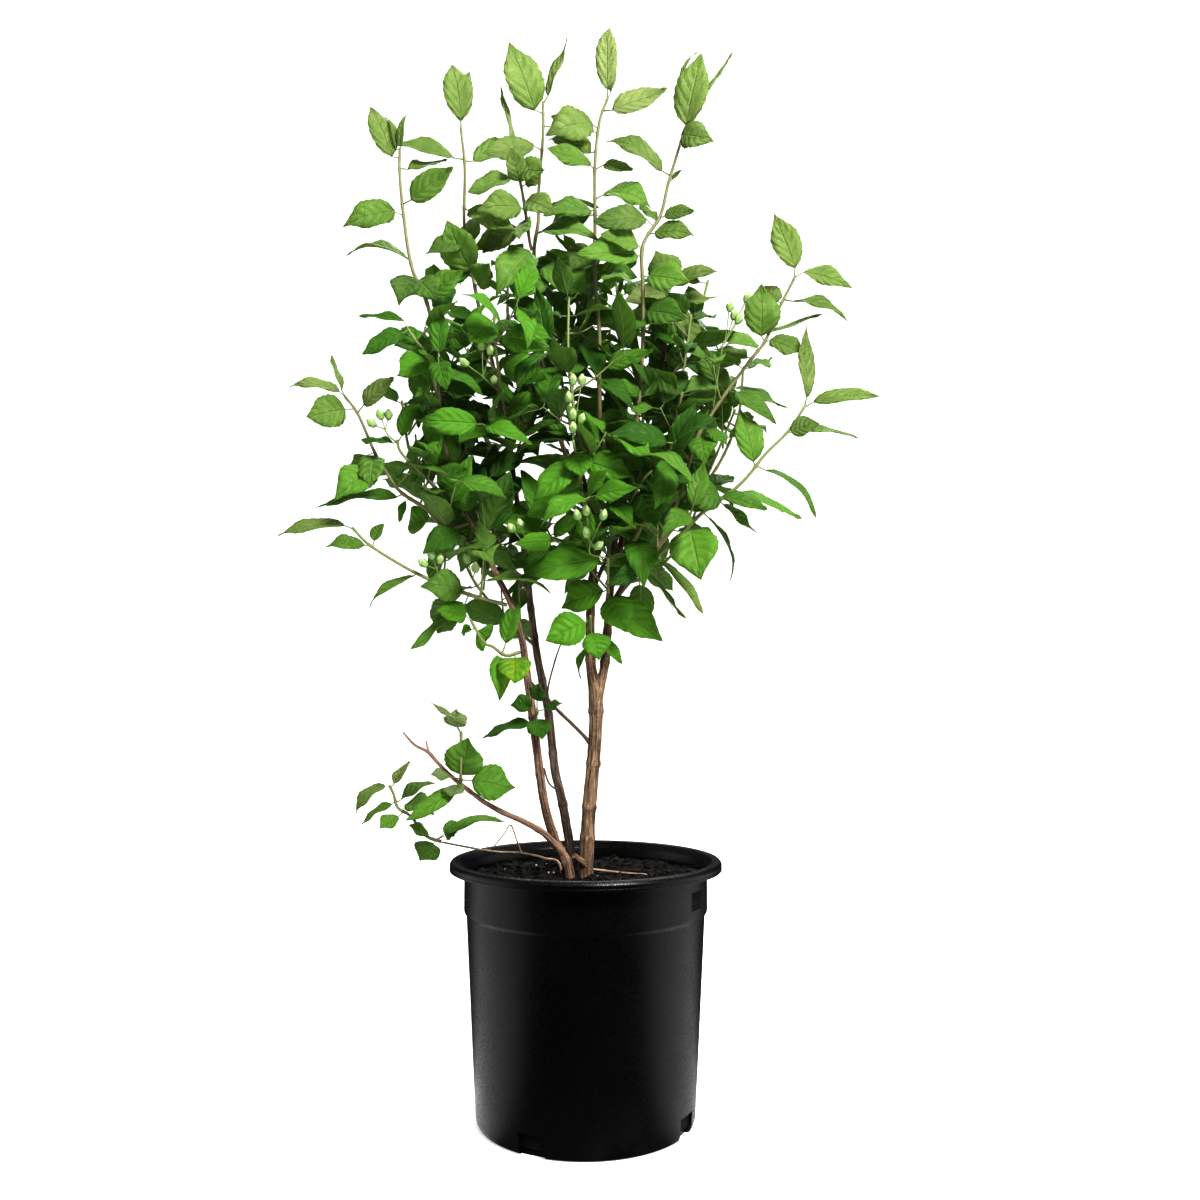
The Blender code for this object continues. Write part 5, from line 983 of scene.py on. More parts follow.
def cleaned(obj, painted_foot_reflection):
    """The object with corners this near to each other merged, and its faces turned outwards."""
    only(obj)
    bpy.ops.object.mode_set(mode="EDIT")
    bpy.ops.mesh.select_all(action="SELECT")
    bpy.ops.mesh.remove_doubles(threshold=painted_foot_reflection)
    bpy.ops.mesh.normals_make_consistent(inside=False)
    bpy.ops.object.mode_set(mode="OBJECT")
    return obj


def copied(template, coordinates):
    """A copy of a template with its own mesh, whose corners go to the coordinates."""
    obj = template.copy()
    obj.data = template.data.copy()
    obj.data.vertices.foreach_set("co", [value for spot in coordinates for value in spot])
    bpy.context.scene.collection.objects.link(obj)
    return obj


def marked(obj, name, values):
    """Give every corner of an object a value that its material reads."""
    layer = obj.data.attributes.new(name, "FLOAT", "POINT")
    if isinstance(values, (int, float)):
        values = [values] * len(obj.data.vertices)
    layer.data.foreach_set("value", values)
    return obj


# Growth: the same plan, draws and rules as the solid part, then the extra leaves and filling twigs


def smooth_line(points, radii, step=LINE_STEP):
    """A line through the points without corners, with a place and a radius every step."""
    ends = [2 * points[0] - points[1], *points, 2 * points[-1] - points[-2]]
    spots, sizes = [], []
    for i in range(len(points) - 1):
        before, start, end, after = ends[i : i + 4]
        cuts = max(1, round((end - start).length / step))
        for j in range(cuts):
            t = j / cuts
            spot = start * 2 + (end - before) * t
            spot += (before * 2 - start * 5 + end * 4 - after) * t * t
            spot += (start * 3 - end * 3 + after - before) * t * t * t
            spots.append(spot / 2)
            sizes.append(radii[i] + (radii[i + 1] - radii[i]) * t)
    return [*spots, points[-1].copy()], [*sizes, radii[-1]]


class Growth:
    """Where every stem and leaf of the plant is."""

    def __init__(self):
        self.lines, self.radii, self.blades, self.twigs = {}, {}, {}, {}
        self.standing = Standing()
        for name, cane in CANES.items():
            points = [seen(place) for place in cane.places]
            radii = [radius * MM for radius in cane.radii]
            if name in ROOTED:
                x, y = points[0].xy
                above = [i for i, point in enumerate(points) if point.z > CANE_COLLAR + COLLAR_RISE]
                foot = [Vector((x, y, CANE_FOOT)), Vector((x, y, CANE_COLLAR))]
                points = foot + [points[i] for i in above]
                radii = [ROOTED[name] * MM] * 2 + [radii[i] for i in above]
            self.lines[name], self.radii[name] = points, radii
        bodies = {name: node for name, node in frame["nodes"].items() if not name.startswith("shoot_")}
        for name, node in bodies.items():
            self.standing.add(name, "stem", *solid_of(node))
        shoots = {**SHOOTS, **BACK_SHOOTS}
        for name, shoot in shoots.items():
            points = self.rooted(shoot)
            carrier = "shoot_" + shoot.parent if shoot.parent in shoots else CANES[shoot.parent].node
            points = seated(points, shoot_radius(points, 0), bodies[carrier])
            self.lines[name] = points
            self.radii[name] = [shoot_radius(points, i / (len(points) - 1)) for i in range(len(points))]
            bodies["shoot_" + name] = pipe("shoot_" + name + "_line", points, self.radii[name], THIN_SIDES)
            self.standing.add("shoot_" + name, "stem", *solid_of(bodies["shoot_" + name]))
        for name, spray in SPRAYS.items():
            self.lines[name] = seated(self.rooted(spray), STALK_RADIUS, bodies["shoot_" + spray.parent])
        for name in shoots:
            self.blades[name] = []
            self.grow_leaves(name, shoots[name])
        for name in shoots:
            bpy.data.objects.remove(bodies["shoot_" + name])
        self.extra_leaves()
        for name in (*BACK_SHOOTS, *TWIGGED):
            self.twigs[name] = self.side_twigs(name)

    def rooted(self, plant):
        """The line of a shoot or spray, from the middle of what it grows from."""
        points = [seen(place) for place in plant.places]
        parent = self.lines[plant.parent]
        points[0] = along_line(parent, nearest_on(parent, points[0]))[0]
        return points

    def grow(self, name, make, **rules):
        """Add a leaf to a shoot if it finds room."""
        blade = settled(make, "shoot_" + name, self.standing, **rules)
        if blade:
            self.blades[name].append(blade)
            self.standing.add("shoot_" + name, "leaf", *blade_solid(blade))

    def grow_leaves(self, name, shoot):
        """The leaves of a shoot, each clear of all that stands."""
        line, draw = self.lines[name], random.Random(f"{SEED} {name}")
        for leaf in shoot.leaves:
            self.grow(name, partial(planned, line, leaf, draw))
        if not shoot.leaves:
            for place in list(pair_places(line, draw)):
                self.grow(name, partial(stem_leaf, PAIR, line, *place, draw), inside=in_crown)

    def extra_leaves(self):
        """Leaves at places of the plan that only the finished look has."""
        draw = random.Random(f"{SEED} extra")
        for name, *leaf in EXTRA_LEAVES:
            self.grow(name, partial(planned, self.lines[name], leaf, draw))

    def side_twigs(self, name):
        """Short side stems of a filling shoot, each with pairs of smaller leaves."""
        draw = random.Random(f"{SEED} twigs {name}")
        line, node, made = self.lines[name], "shoot_" + name, []
        total, distance, azimuth = line_length(line), TWIG_FIRST, draw.uniform(0, 360)
        while distance < total - TWIG_FIRST / 2:
            for _ in range(TWIG_TRIES):
                start, axis = along_line(line, distance)
                across = Matrix.Rotation(math.radians(azimuth), 3, axis) @ axis.orthogonal().normalized()
                way = (across + axis * draw.uniform(*TWIG_LEAN) + TWIG_LIFT).normalized()
                long = draw.uniform(*TWIG_LONG)
                end = start + way * long
                azimuth += draw.uniform(*TWIG_TURN)
                if not roomy(end):
                    continue
                twig = [start + way * SHOOT_TIP_RADIUS, start + way * long / 2 + TWIG_SAG, end]
                verts, faces = stick(twig, TWIG_RADIUS)
                if self.standing.hits(verts, faces, lambda owner, kind: owner != node or kind == "leaf"):
                    continue
                self.standing.add(node, "leaf", verts, faces)
                made.append(twig)
                self.twig_leaves(name, twig, draw)
                break
            distance += TWIG_EVERY * draw.uniform(0.8, 1.2)
            azimuth += TWIG_NEXT
        return made

    def twig_leaves(self, name, twig, draw):
        """The crossed pairs of leaves on a side stem."""
        total, turn = line_length(twig), draw.uniform(0, 180)
        for share in TWIG_PAIRS:
            for half in (0, 180):
                make = partial(stem_leaf, TWIG, twig, total * share, turn + half, 1.0, draw)
                self.grow(name, make, inside=roomy, strict=True)
            turn += 90


def roomy(point):
    """Whether a point is seen well inside the crown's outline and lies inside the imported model's box."""
    low, high = CAD_BOX
    middle = seen((*CROWN_MIDDLE, point.y / CM))
    outward = middle + (point - middle) / TWIG_CROWN
    return in_crown(outward) and all(low[i] + BOX_ROOM < point[i] < high[i] - BOX_ROOM for i in range(3))


def stick(points, radius):
    """The corners and faces of a three-sided stick, for finding what a twig would cross."""
    verts, faces = [], []
    for point, ahead in zip(points, [*points[1:], 2 * points[-1] - points[-2]]):
        side = (ahead - point).normalized().orthogonal().normalized() * radius
        turns = [Matrix.Rotation(i * math.tau / 3, 3, (ahead - point).normalized()) for i in range(3)]
        verts += [point + turn @ side for turn in turns]
    for i in range(0, len(verts) - 3, 3):
        faces += [(i + j, i + (j + 1) % 3, i + 3 + (j + 1) % 3, i + 3 + j) for j in range(3)]
    return verts, faces


# Fine modelling


def pipe(name, points, radii, sides):
    """A round stem through the points, with closed ends and a radius at each point."""
    curve = bpy.data.curves.new(name, "CURVE")
    curve.dimensions = "3D"
    curve.bevel_depth = 1
    curve.bevel_resolution = max(0, sides // 2 - 2)
    curve.use_fill_caps = True
    spline = curve.splines.new("POLY")
    spline.points.add(len(points) - 1)
    for spot, point, radius in zip(spline.points, points, radii):
        spot.co = (*point, 1)
        spot.radius = radius
    stem = bpy.data.objects.new(name, curve)
    bpy.context.scene.collection.objects.link(stem)
    only(stem)
    bpy.ops.object.convert(target="MESH")
    return cleaned(bpy.context.object, 0.00001)


def leaf_template():
    """A flat leaf, two wide and two long, whose far end is a point."""
    bpy.ops.mesh.primitive_grid_add(x_subdivisions=LEAF_COLUMNS, y_subdivisions=LEAF_ROWS, size=2)
    leaf = bpy.context.object
    leaf.name = "leaf"
    bpy.ops.object.mode_set(mode="EDIT")
    bpy.ops.mesh.select_mode(type="VERT")
    bpy.ops.mesh.select_all(action="DESELECT")
    bpy.ops.object.mode_set(mode="OBJECT")
    for vert in leaf.data.vertices:
        vert.select = vert.co.y > 0.999
    bpy.ops.object.mode_set(mode="EDIT")
    bpy.ops.mesh.merge(type="CENTER")
    bpy.ops.object.mode_set(mode="OBJECT")
    return leaf


def rib_template():
    """A stalk with the midrib that it runs into: rings of corners along Z."""
    rings = len(RIB_RADII)
    bpy.ops.mesh.primitive_cylinder_add(vertices=RIB_SIDES, radius=1, depth=1, end_fill_type="TRIFAN")
    rib = bpy.context.object
    rib.name = "rib"
    rib.location.z = 0.5
    bpy.ops.object.transform_apply(location=True)
    bpy.ops.object.mode_set(mode="EDIT")
    for i in range(1, rings - 1):
        bpy.ops.mesh.select_all(action="SELECT")
        bpy.ops.mesh.bisect(plane_co=(0, 0, i / (rings - 1)), plane_no=(0, 0, 1))
    bpy.ops.object.mode_set(mode="OBJECT")
    return rib


def fuller(blade, along):
    """How much wider the fine blade is than the plain one: rounder sides, and a more drawn-out tip."""
    if not 0 < along < 1:
        return 1.0
    widest = SIDE_RISE / (SIDE_RISE + SIDE_FALL)
    share = (along / widest) ** SIDE_RISE * ((1 - along) / (1 - widest)) ** SIDE_FALL
    drawn = 1 - TIP_DRAWN * max(0.0, (along - 0.64) / 0.36)
    return blade.width / 2 * share * drawn / half_width(blade, along)


def leaf_spot(blade, along, across, tooth, life):
    """A point of a fine blade: its teeth, its waved margin, its twist and its curled end."""
    edge = max(0.0, abs(across) * 2 - 1)
    beat = 0.5 + 0.5 * math.cos(math.pi * along * LEAF_ROWS)
    inner = 0 < along < 0.9
    reach = fuller(blade, along) * (1 - tooth * edge * beat * inner)
    shift = TOOTH_LEAN * edge * (1 - beat) * inner
    spot = surface(blade, min(1, along + shift), across * reach)
    long = (blade.tip - blade.base).length
    curl = TIP_CURL * long * math.sin(1.7 * blade.phase) * max(0.0, (along - 0.55) / 0.45) ** 2
    ripple = MARGIN_WAVE * math.sin(along * 12 + 2 * blade.phase + 2 * across) * across * across * inner
    cup = QUILT * math.sin(math.pi * min(1, abs(across))) * math.sin(math.pi * along)
    twist = TWIST * math.sin(3.1 * blade.phase) * (along - 0.3) * across * half_width(blade, along)
    return spot + blade.normal * life * (curl + twist + (ripple + cup) * min(1, blade.width / WAVE_WIDE))


def fine_leaf(leaf, blade, tooth):
    """A fine blade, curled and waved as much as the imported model's box has room for."""
    low, high = CAD_BOX
    for life in (1.0, 0.5, 0.0):
        spots = [leaf_spot(blade, (v.co.y + 1) / 2, v.co.x, tooth, life) for v in leaf.data.vertices]
        if all(low[i] < spot[i] < high[i] for spot in spots for i in range(3)):
            break
    for spot in spots:
        for i in range(3):
            spot[i] = max(low[i] + BOX_SKIN, min(high[i] - BOX_SKIN, spot[i]))
    return copied(leaf, spots)


def fine_rib(rib, blade):
    """The stalk from the stem and the midrib under the blade."""
    length = (blade.tip - blade.base).length
    scale = min(1.0, 0.55 + length / 0.14)
    line = [blade.root, blade.base] + [surface(blade, share, 0) for share in RIB_SPOTS]
    chord = (blade.tip - blade.base).normalized()
    across = chord.cross(blade.normal).normalized()
    spots, last = [], len(line) - 1
    for vert in rib.data.vertices:
        ring = max(0, min(last, round(vert.co.z * last)))
        sink = blade.normal * (RIB_SINK if ring else 0)
        radius = RIB_RADII[ring] * scale
        side, up = across * (vert.co.x * radius), blade.normal * (vert.co.y * radius)
        spots.append(line[ring] - sink + side + up)
    return copied(rib, spots)


# Materials


class Nodes:
    """A node tree, with short ways to add to it that give the output to go on with."""

    def __init__(self, tree):
        self.tree = tree

    def feed(self, node, inputs):
        """Link outputs to a node's inputs, or set the inputs' own values."""
        for name, value in inputs.items():
            socket = node.inputs[name]
            if isinstance(value, bpy.types.NodeSocket):
                self.tree.links.new(value, socket)
            else:
                opaque = socket.type == "RGBA" and len(value) == 3
                socket.default_value = (*value, 1) if opaque else value

    def put(self, kind, inputs=None, **settings):
        """A new node with its settings and inputs."""
        node = self.tree.nodes.new("ShaderNode" + kind)
        for name, value in settings.items():
            setattr(node, name, value)
        self.feed(node, inputs or {})
        return node

    def number(self, operation, *values, clamp=False):
        """A difference, root or other result of numbers."""
        return self.put("Math", dict(enumerate(values)), operation=operation, use_clamp=clamp).outputs[0]

    def times(self, first, second, clamp=False):
        return self.number("MULTIPLY", first, second, clamp=clamp)

    def times_plus(self, first, second, third, clamp=False):
        return self.number("MULTIPLY_ADD", first, second, third, clamp=clamp)

    def mix(self, factor, first, second):
        """The mix of two colours."""
        inputs = {0: factor, 6: first, 7: second}
        return self.put("Mix", inputs, data_type="RGBA", clamp_factor=True).outputs[2]

    def ramp(self, value, low, high, out_low=0.0, out_high=1.0):
        """A number brought smoothly from one range to another, and held there."""
        inputs = {"Value": value, "From Min": low, "From Max": high, "To Min": out_low, "To Max": out_high}
        return self.put("MapRange", inputs, interpolation_type="SMOOTHSTEP", clamp=True).outputs["Result"]

    def noisy(self, vector, scale, detail=3.0, rough=0.55, distortion=0.0):
        """Noise round a half."""
        inputs = {"Vector": vector, "Scale": scale, "Detail": detail, "Roughness": rough}
        return self.put("TexNoise", {**inputs, "Distortion": distortion}).outputs["Fac"]

    def dots(self, vector, scale, inner, outer):
        """Round spots, one to a cell."""
        cells = self.put("TexVoronoi", {"Scale": scale, "Vector": vector}, feature="F1")
        return self.ramp(cells.outputs["Distance"], inner, outer, 1.0, 0.0)

    def stretched(self, vector, scale):
        return self.put("Mapping", {"Scale": scale, "Vector": vector}).outputs["Vector"]

    def attribute(self, name):
        return self.put("Attribute", attribute_name=name).outputs["Fac"]

    def where(self):
        """The place on the piece."""
        return self.put("TexCoord").outputs["Object"]

    def split(self, vector):
        """The three numbers of a vector."""
        return self.put("SeparateXYZ", {"Vector": vector}).outputs

    def from_axis(self, spot):
        """How far a place is from the upright axis."""
        squared = self.times_plus(spot["X"], spot["X"], self.times(spot["Y"], spot["Y"]))
        return self.number("SQRT", squared)

    def grouped(self, name, inputs):
        """What one of the node groups puts out."""
        return self.put("Group", inputs, node_tree=bpy.data.node_groups[name]).outputs

    def mottle(self, vector, scale, contrast):
        return self.grouped("mottle", {"Vector": vector, "Scale": scale, "Contrast": contrast})["Value"]

    def surface(self, shader, colour, rough, specular, bump):
        """Feed a shader, with a bump of (height, strength, distance), and give the bumped normal."""
        height, strength, distance = bump
        bump = self.put("Bump", {"Height": height, "Strength": strength, "Distance": distance})
        normal = bump.outputs["Normal"]
        inputs = {"Base Color": colour, "Roughness": rough, "Specular IOR Level": specular}
        self.feed(shader, {**inputs, "Normal": normal})
        return normal


def new_material(name):
    """An empty material with its nodes and its Principled shader."""
    made = bpy.data.materials.new(name)
    made.use_nodes = True
    return made, Nodes(made.node_tree), made.node_tree.nodes["Principled BSDF"]


def scaled(colour, times, plus=0.0):
    """A colour made darker or paler."""
    return tuple(min(1.0, value * times + plus) for value in colour)


def group(name, inputs, outputs):
    """An empty node group with named inputs and outputs, and its own input and output nodes."""
    tree = bpy.data.node_groups.new(name, "ShaderNodeTree")
    for label, kind, value in inputs:
        socket = tree.interface.new_socket(label, in_out="INPUT", socket_type="NodeSocket" + kind)
        if value is not None:
            socket.default_value = value
    for label in outputs:
        tree.interface.new_socket(label, in_out="OUTPUT", socket_type="NodeSocketFloat")
    return Nodes(tree), tree.nodes.new("NodeGroupInput").outputs, tree.nodes.new("NodeGroupOutput")


def mottle_group():
    """Large, middle and small patches, mixed to one value round a half."""
    inputs = [("Vector", "Vector", None), ("Scale", "Float", 10.0), ("Contrast", "Float", 1.0)]
    nodes, given, out = group("mottle", inputs, ["Value"])
    sizes = [nodes.times(given["Scale"], times) for times in (1.0, 3.7, 13.0)]
    large, middle, small = (nodes.noisy(given["Vector"], size, 2.0, 0.6) for size in sizes)
    total = nodes.times_plus(large, 0.5, nodes.times(middle, 0.3))
    total = nodes.times_plus(small, 0.2, total)
    off = nodes.number("SUBTRACT", total, 0.5)
    nodes.feed(out, {"Value": nodes.times_plus(off, given["Contrast"], 0.5, clamp=True)})


def vein_group():
    """A leaf's veins from its own map: the midrib, curved side veins and a fine net between them."""
    inputs = [("Map", "Vector", None), ("Pairs", "Float", 5.5), ("Seed", "Float", 0.0)]
    nodes, given, out = group("leaf veins", inputs, ["Vein", "Net", "Height"])
    number, times, times_plus, ramp = nodes.number, nodes.times, nodes.times_plus, nodes.ramp
    spot = nodes.split(given["Map"])
    across, along = number("ABSOLUTE", times_plus(spot["X"], 2.0, -1.0)), spot["Y"]
    seed = nodes.put("CombineXYZ", {"Z": given["Seed"]}).outputs["Vector"]
    shifted = nodes.put("VectorMath", {0: given["Map"], 1: seed}, operation="ADD").outputs["Vector"]
    place = number("SUBTRACT", along, times(number("POWER", across, 1.25), 0.30))
    place = times_plus(nodes.noisy(shifted, 6.0, 2.0), 0.06, place)
    beat = number("FRACT", times(place, given["Pairs"]))
    off = times(number("ABSOLUTE", number("SUBTRACT", beat, 0.5)), 2.0)
    side = times(ramp(off, 0.0, 0.16, 1.0, 0.0), ramp(across, 0.78, 1.0, 1.0, 0.0))
    side = times(side, ramp(along, 0.0, 0.1))
    middle = ramp(across, 0.0, 0.085, 1.0, 0.0)
    long = nodes.stretched(shifted, (0.55, 1.0, 1.0))
    cells = nodes.put("TexVoronoi", {"Scale": 26.0, "Vector": long}, feature="DISTANCE_TO_EDGE")
    net = ramp(cells.outputs["Distance"], 0.0, 0.12, 1.0, 0.0)
    height = number("SUBTRACT", number("POWER", off, 0.7), times(middle, 1.2))
    height = times_plus(net, -0.18, height)
    nodes.feed(out, {"Vein": number("MAXIMUM", middle, times(side, 0.8)), "Net": net, "Height": height})


def leaf_material(settings, name, under):
    """A leaf's upper or under side: mottled green with veins, paler where it is young, and lit through.
    Its tone carries the painted light of front shoots and the painted shade of back ones.
    """
    made, nodes, shader = new_material(name)
    mix, ramp, times, times_plus = nodes.mix, nodes.ramp, nodes.times, nodes.times_plus
    where = nodes.where()
    tone_and_shade, young, spoilt = (nodes.attribute(label) for label in ("tone_and_shade", "young", "spoilt"))
    uv = nodes.put("UVMap", uv_map="UVMap").outputs["UV"]
    veins = nodes.grouped("leaf veins", {"Map": uv, "Pairs": settings.veins, "Seed": tone_and_shade})
    patches = nodes.mottle(where, 24.0, 1.9)
    # Painted light and shade: the tone lifts front shoots' leaves towards green and sinks back ones
    # towards deep green
    share = times_plus(patches, 0.22, times_plus(tone_and_shade, 0.75, 0.07))
    base = mix(ramp(share, 0.1, 0.85), settings.deep, settings.green)
    olive = ramp(times_plus(tone_and_shade, -0.3, patches), 0.15, 0.68, 0.6, 0.0)
    olive = times_plus(nodes.number("SUBTRACT", 0.8, tone_and_shade), 0.6, olive, clamp=True)
    base = mix(young, base, mix(olive, settings.young, settings.olive))
    base = mix(ramp(young, 0.84, 1.0, 0.0, 0.16), base, NEWEST_GREEN)
    if under:
        base = mix(0.62, base, settings.under)
    strength = times(veins["Vein"], 0.5 if under else 0.38)
    strength = times(strength, times_plus(young, 0.9, 0.55))
    colour = mix(strength, base, mix(0.45, base, VEIN_GREEN))
    colour = mix(times(veins["Net"], 0.10), colour, settings.deep)
    blotch = ramp(nodes.noisy(where, 60.0, 4.0), 0.42, 0.62)
    fading = times(spoilt, times_plus(blotch, 0.6, 0.4), clamp=True)
    colour = mix(ramp(fading, 0.12, 0.45), colour, settings.yellow)
    colour = mix(ramp(fading, 0.62, 0.8), colour, settings.brown)
    folded = times(times(spoilt, -1.0, clamp=True), ramp(patches, 0.2, 0.7, 1.0, 0.55))
    colour = mix(folded, colour, settings.folded)
    rough = times_plus(veins["Vein"], 0.08, times_plus(patches, 0.2, 0.50 if under else 0.36))
    height = times(veins["Height"], -1.0) if under else veins["Height"]
    height = times_plus(nodes.noisy(where, 900.0, 2.0), 0.12, height)
    normal = nodes.surface(shader, colour, rough, 0.15 if under else 0.26, (height, 0.7, 0.0016))
    nodes.feed(shader, {"Sheen Weight": 0.10 if under else 0.04, "Sheen Roughness": 0.5})
    light = nodes.put("BsdfTranslucent", {"Color": mix(0.55, colour, LIGHT_THROUGH), "Normal": normal})
    both = nodes.put("MixShader", {"Fac": 0.38, 1: shader.outputs["BSDF"], 2: light.outputs["BSDF"]})
    nodes.feed(made.node_tree.nodes["Material Output"], {"Surface": both.outputs["Shader"]})
    return made


def stem_material(settings):
    """A young stem: pale green, browner towards its foot, with fine lengthwise lines."""
    made, nodes, shader = new_material("young stem")
    where, wood = nodes.where(), nodes.attribute("wood")
    patches = nodes.mottle(where, 70.0, 2.5)
    share = nodes.times_plus(patches, 0.5, nodes.number("SUBTRACT", wood, 0.25), clamp=True)
    base = nodes.mix(share, settings.stem, settings.stem_old)
    lines = nodes.noisy(nodes.stretched(where, (1100, 1100, 90)), 1.0)
    colour = nodes.mix(nodes.ramp(lines, 0.45, 0.7, 0.0, 0.4), base, STEM_LINES)
    nodes.surface(shader, colour, nodes.ramp(lines, 0.3, 0.8, 0.42, 0.62), 0.3, (lines, 0.35, 0.0004))
    return made


def bark_material(name, colour, streak):
    """Bark with dark lengthwise furrows, paler flakes and small warts, painted shade towards the crown and
    paler twigs.
    """
    made, nodes, shader = new_material(name)
    mix, ramp, times, times_plus = nodes.mix, nodes.ramp, nodes.times, nodes.times_plus
    axes = {axis: nodes.attribute(label) for axis, label in zip("XYZ", ("ring_x", "ring_y", "run"))}
    where = nodes.put("CombineXYZ", axes).outputs["Vector"]
    furrow = nodes.noisy(nodes.stretched(where, (520, 520, 26)), 1.0, 5.0, 0.62, 0.4)
    flakes = nodes.noisy(nodes.stretched(where, (210, 210, 45)), 1.0, 4.0, 0.6, 0.8)
    patches = nodes.mottle(where, 28.0, 2.6)
    wart = nodes.dots(nodes.stretched(where, (330, 330, 150)), 1.0, 0.12, 0.26)
    dark, pale = scaled(colour, streak * 0.8), scaled(colour, 1.6, 0.03)
    base = mix(ramp(flakes, 0.40, 0.66), colour, pale)
    base = mix(ramp(patches, 0.35, 0.75, 0.0, 0.55), base, dark)
    base = mix(ramp(furrow, 0.38, 0.60, 0.95, 0.0), base, scaled(dark, 0.5))
    base = mix(times(wart, 0.5), base, pale)
    shade = nodes.attribute("shade")
    # Above zero: painted shade towards the crown, and the darker twigs; below zero: a paler bark
    base = mix(times(shade, 1.0, clamp=True), base, scaled(dark, 0.6))
    base = mix(times(shade, -1.0, clamp=True), base, pale)
    height = times_plus(wart, 0.35, times_plus(flakes, 0.6, furrow))
    nodes.surface(shader, base, ramp(flakes, 0.3, 0.7, 0.66, 0.9), 0.25, (height, 0.8, 0.0012))
    return made


def plastic_material(settings):
    """Black moulded plastic: soft sheen, faint turning lines, scuffs, and dust, most near the foot."""
    made, nodes, shader = new_material("nursery pot plastic")
    number, ramp, times, times_plus = nodes.number, nodes.ramp, nodes.times, nodes.times_plus
    where = nodes.where()
    patches = nodes.mottle(where, 9.0, 2.4)
    scratch = ramp(nodes.noisy(nodes.stretched(where, (60, 60, 700)), 1.0, 4.0, 0.7, 0.3), 0.60, 0.74)
    speck = nodes.dots(where, 260.0, 0.05, 0.13)
    spot = nodes.split(where)
    low = ramp(spot["Z"], 0.0, 0.07, 1.0, 0.0)
    dust = times(times_plus(low, 0.08, 0.004), ramp(patches, 0.35, 0.8))
    dust = times_plus(speck, 0.04, dust, clamp=True)
    dust = times_plus(times(scratch, patches), 0.05, dust, clamp=True)
    colour = nodes.mix(dust, settings.plastic, settings.dust)
    grain = nodes.noisy(where, 700.0, 2.0)
    rough = times_plus(dust, 0.5, times_plus(patches, 0.16, 0.27))
    rough = number("ADD", ramp(grain, 0.38, 0.62, -0.11, 0.11), rough)
    inside_band = number("LESS_THAN", nodes.from_axis(spot), BAND_RADIUS - RECESS_EDGE)
    level = number("ABSOLUTE", number("SUBTRACT", spot["Z"], RECESS_HEIGHT))
    sunk = times(inside_band, number("LESS_THAN", level, RECESS_SIZE[2] / 2 + 0.001))
    rough = times_plus(sunk, 0.6, rough, clamp=True)
    lines = nodes.noisy(nodes.stretched(where, (12, 12, 900)), 1.0, 2.0)
    shape = times_plus(lines, 0.5, times(grain, 0.8))
    shape = times_plus(nodes.noisy(where, 14.0, 1.0), 3.0, shape)
    nodes.surface(shader, colour, rough, 0.3, (shape, 0.25, 0.0006))
    return made


def earth_material(name, colour, scale, depth):
    """Damp soil, a bark chip or a grain of perlite: clotted colour and a rough, pitted surface."""
    made, nodes, shader = new_material(name)
    where = nodes.where()
    patches = nodes.mottle(where, scale, 2.8)
    base = nodes.mix(nodes.ramp(patches, 0.2, 0.55), scaled(colour, 0.45), colour)
    base = nodes.mix(nodes.ramp(patches, 0.6, 0.95), base, scaled(colour, 1.9, 0.004))
    pits = nodes.number("ADD", nodes.noisy(where, scale * 6, 4.0, 0.7), patches)
    nodes.surface(shader, base, nodes.ramp(patches, 0.2, 0.8, 0.7, 0.95), 0.25, (pits, 0.9, depth))
    return made


def bud_material(settings):
    """A closed bud: a green cup below and cream-green petals above, with a fine bump."""
    made, nodes, shader = new_material("flower bud")
    where, rise = nodes.where(), nodes.attribute("rise")
    patches = nodes.mottle(where, 160.0, 1.8)
    share = nodes.times_plus(patches, 0.24, nodes.number("SUBTRACT", rise, 0.12), clamp=True)
    colour = nodes.mix(nodes.ramp(share, 0.40, 0.56), settings.sepal, settings.petal)
    colour = nodes.mix(nodes.ramp(share, 0.82, 1.0, 0.0, 0.35), colour, settings.sepal)
    height = (nodes.noisy(where, 900.0), 0.3, 0.0004)
    nodes.surface(shader, colour, nodes.ramp(patches, 0.2, 0.8, 0.42, 0.6), 0.35, height)
    nodes.feed(shader, {"Subsurface Weight": 0.12, "Subsurface Scale": 0.003})
    return made


def finished(obj, *materials):
    """Give an object its materials in order, keeping each face's slot."""
    slots = [face.material_index for face in obj.data.polygons]
    obj.data.materials.clear()
    for made in materials:
        obj.data.materials.append(made)
    obj.data.polygons.foreach_set("material_index", slots)
    return obj


# Pieces


def swollen(points, radii, scars, rise, reach):
    """Radii that swell at each scar along a line."""
    run, made = 0.0, []
    for i, (point, radius) in enumerate(zip(points, radii)):
        run += (point - points[i - 1]).length if i else 0.0
        swell = sum(math.exp(-(((run - scar) / reach) ** 2)) for scar in scars)
        made.append(radius * (1 + rise * min(1.0, swell)))
    return made


def fine_stem(name, growth, blades, wood):
    """A shoot's stem, swollen where leaves leave it, browner towards its foot."""
    line = growth.lines[name]
    points, radii = smooth_line(line, growth.radii[name])
    scars = {round(nearest_on(points, blade.root), 3) for blade in blades}
    stem = pipe("stem_" + name, points, swollen(points, radii, scars, 0.28, 0.0022), 8)
    total = line_length(line)
    least, foot = wood
    values = [least + foot * (1 - nearest_on(line, vert.co) / total) for vert in stem.data.vertices]
    return marked(stem, "wood", values)


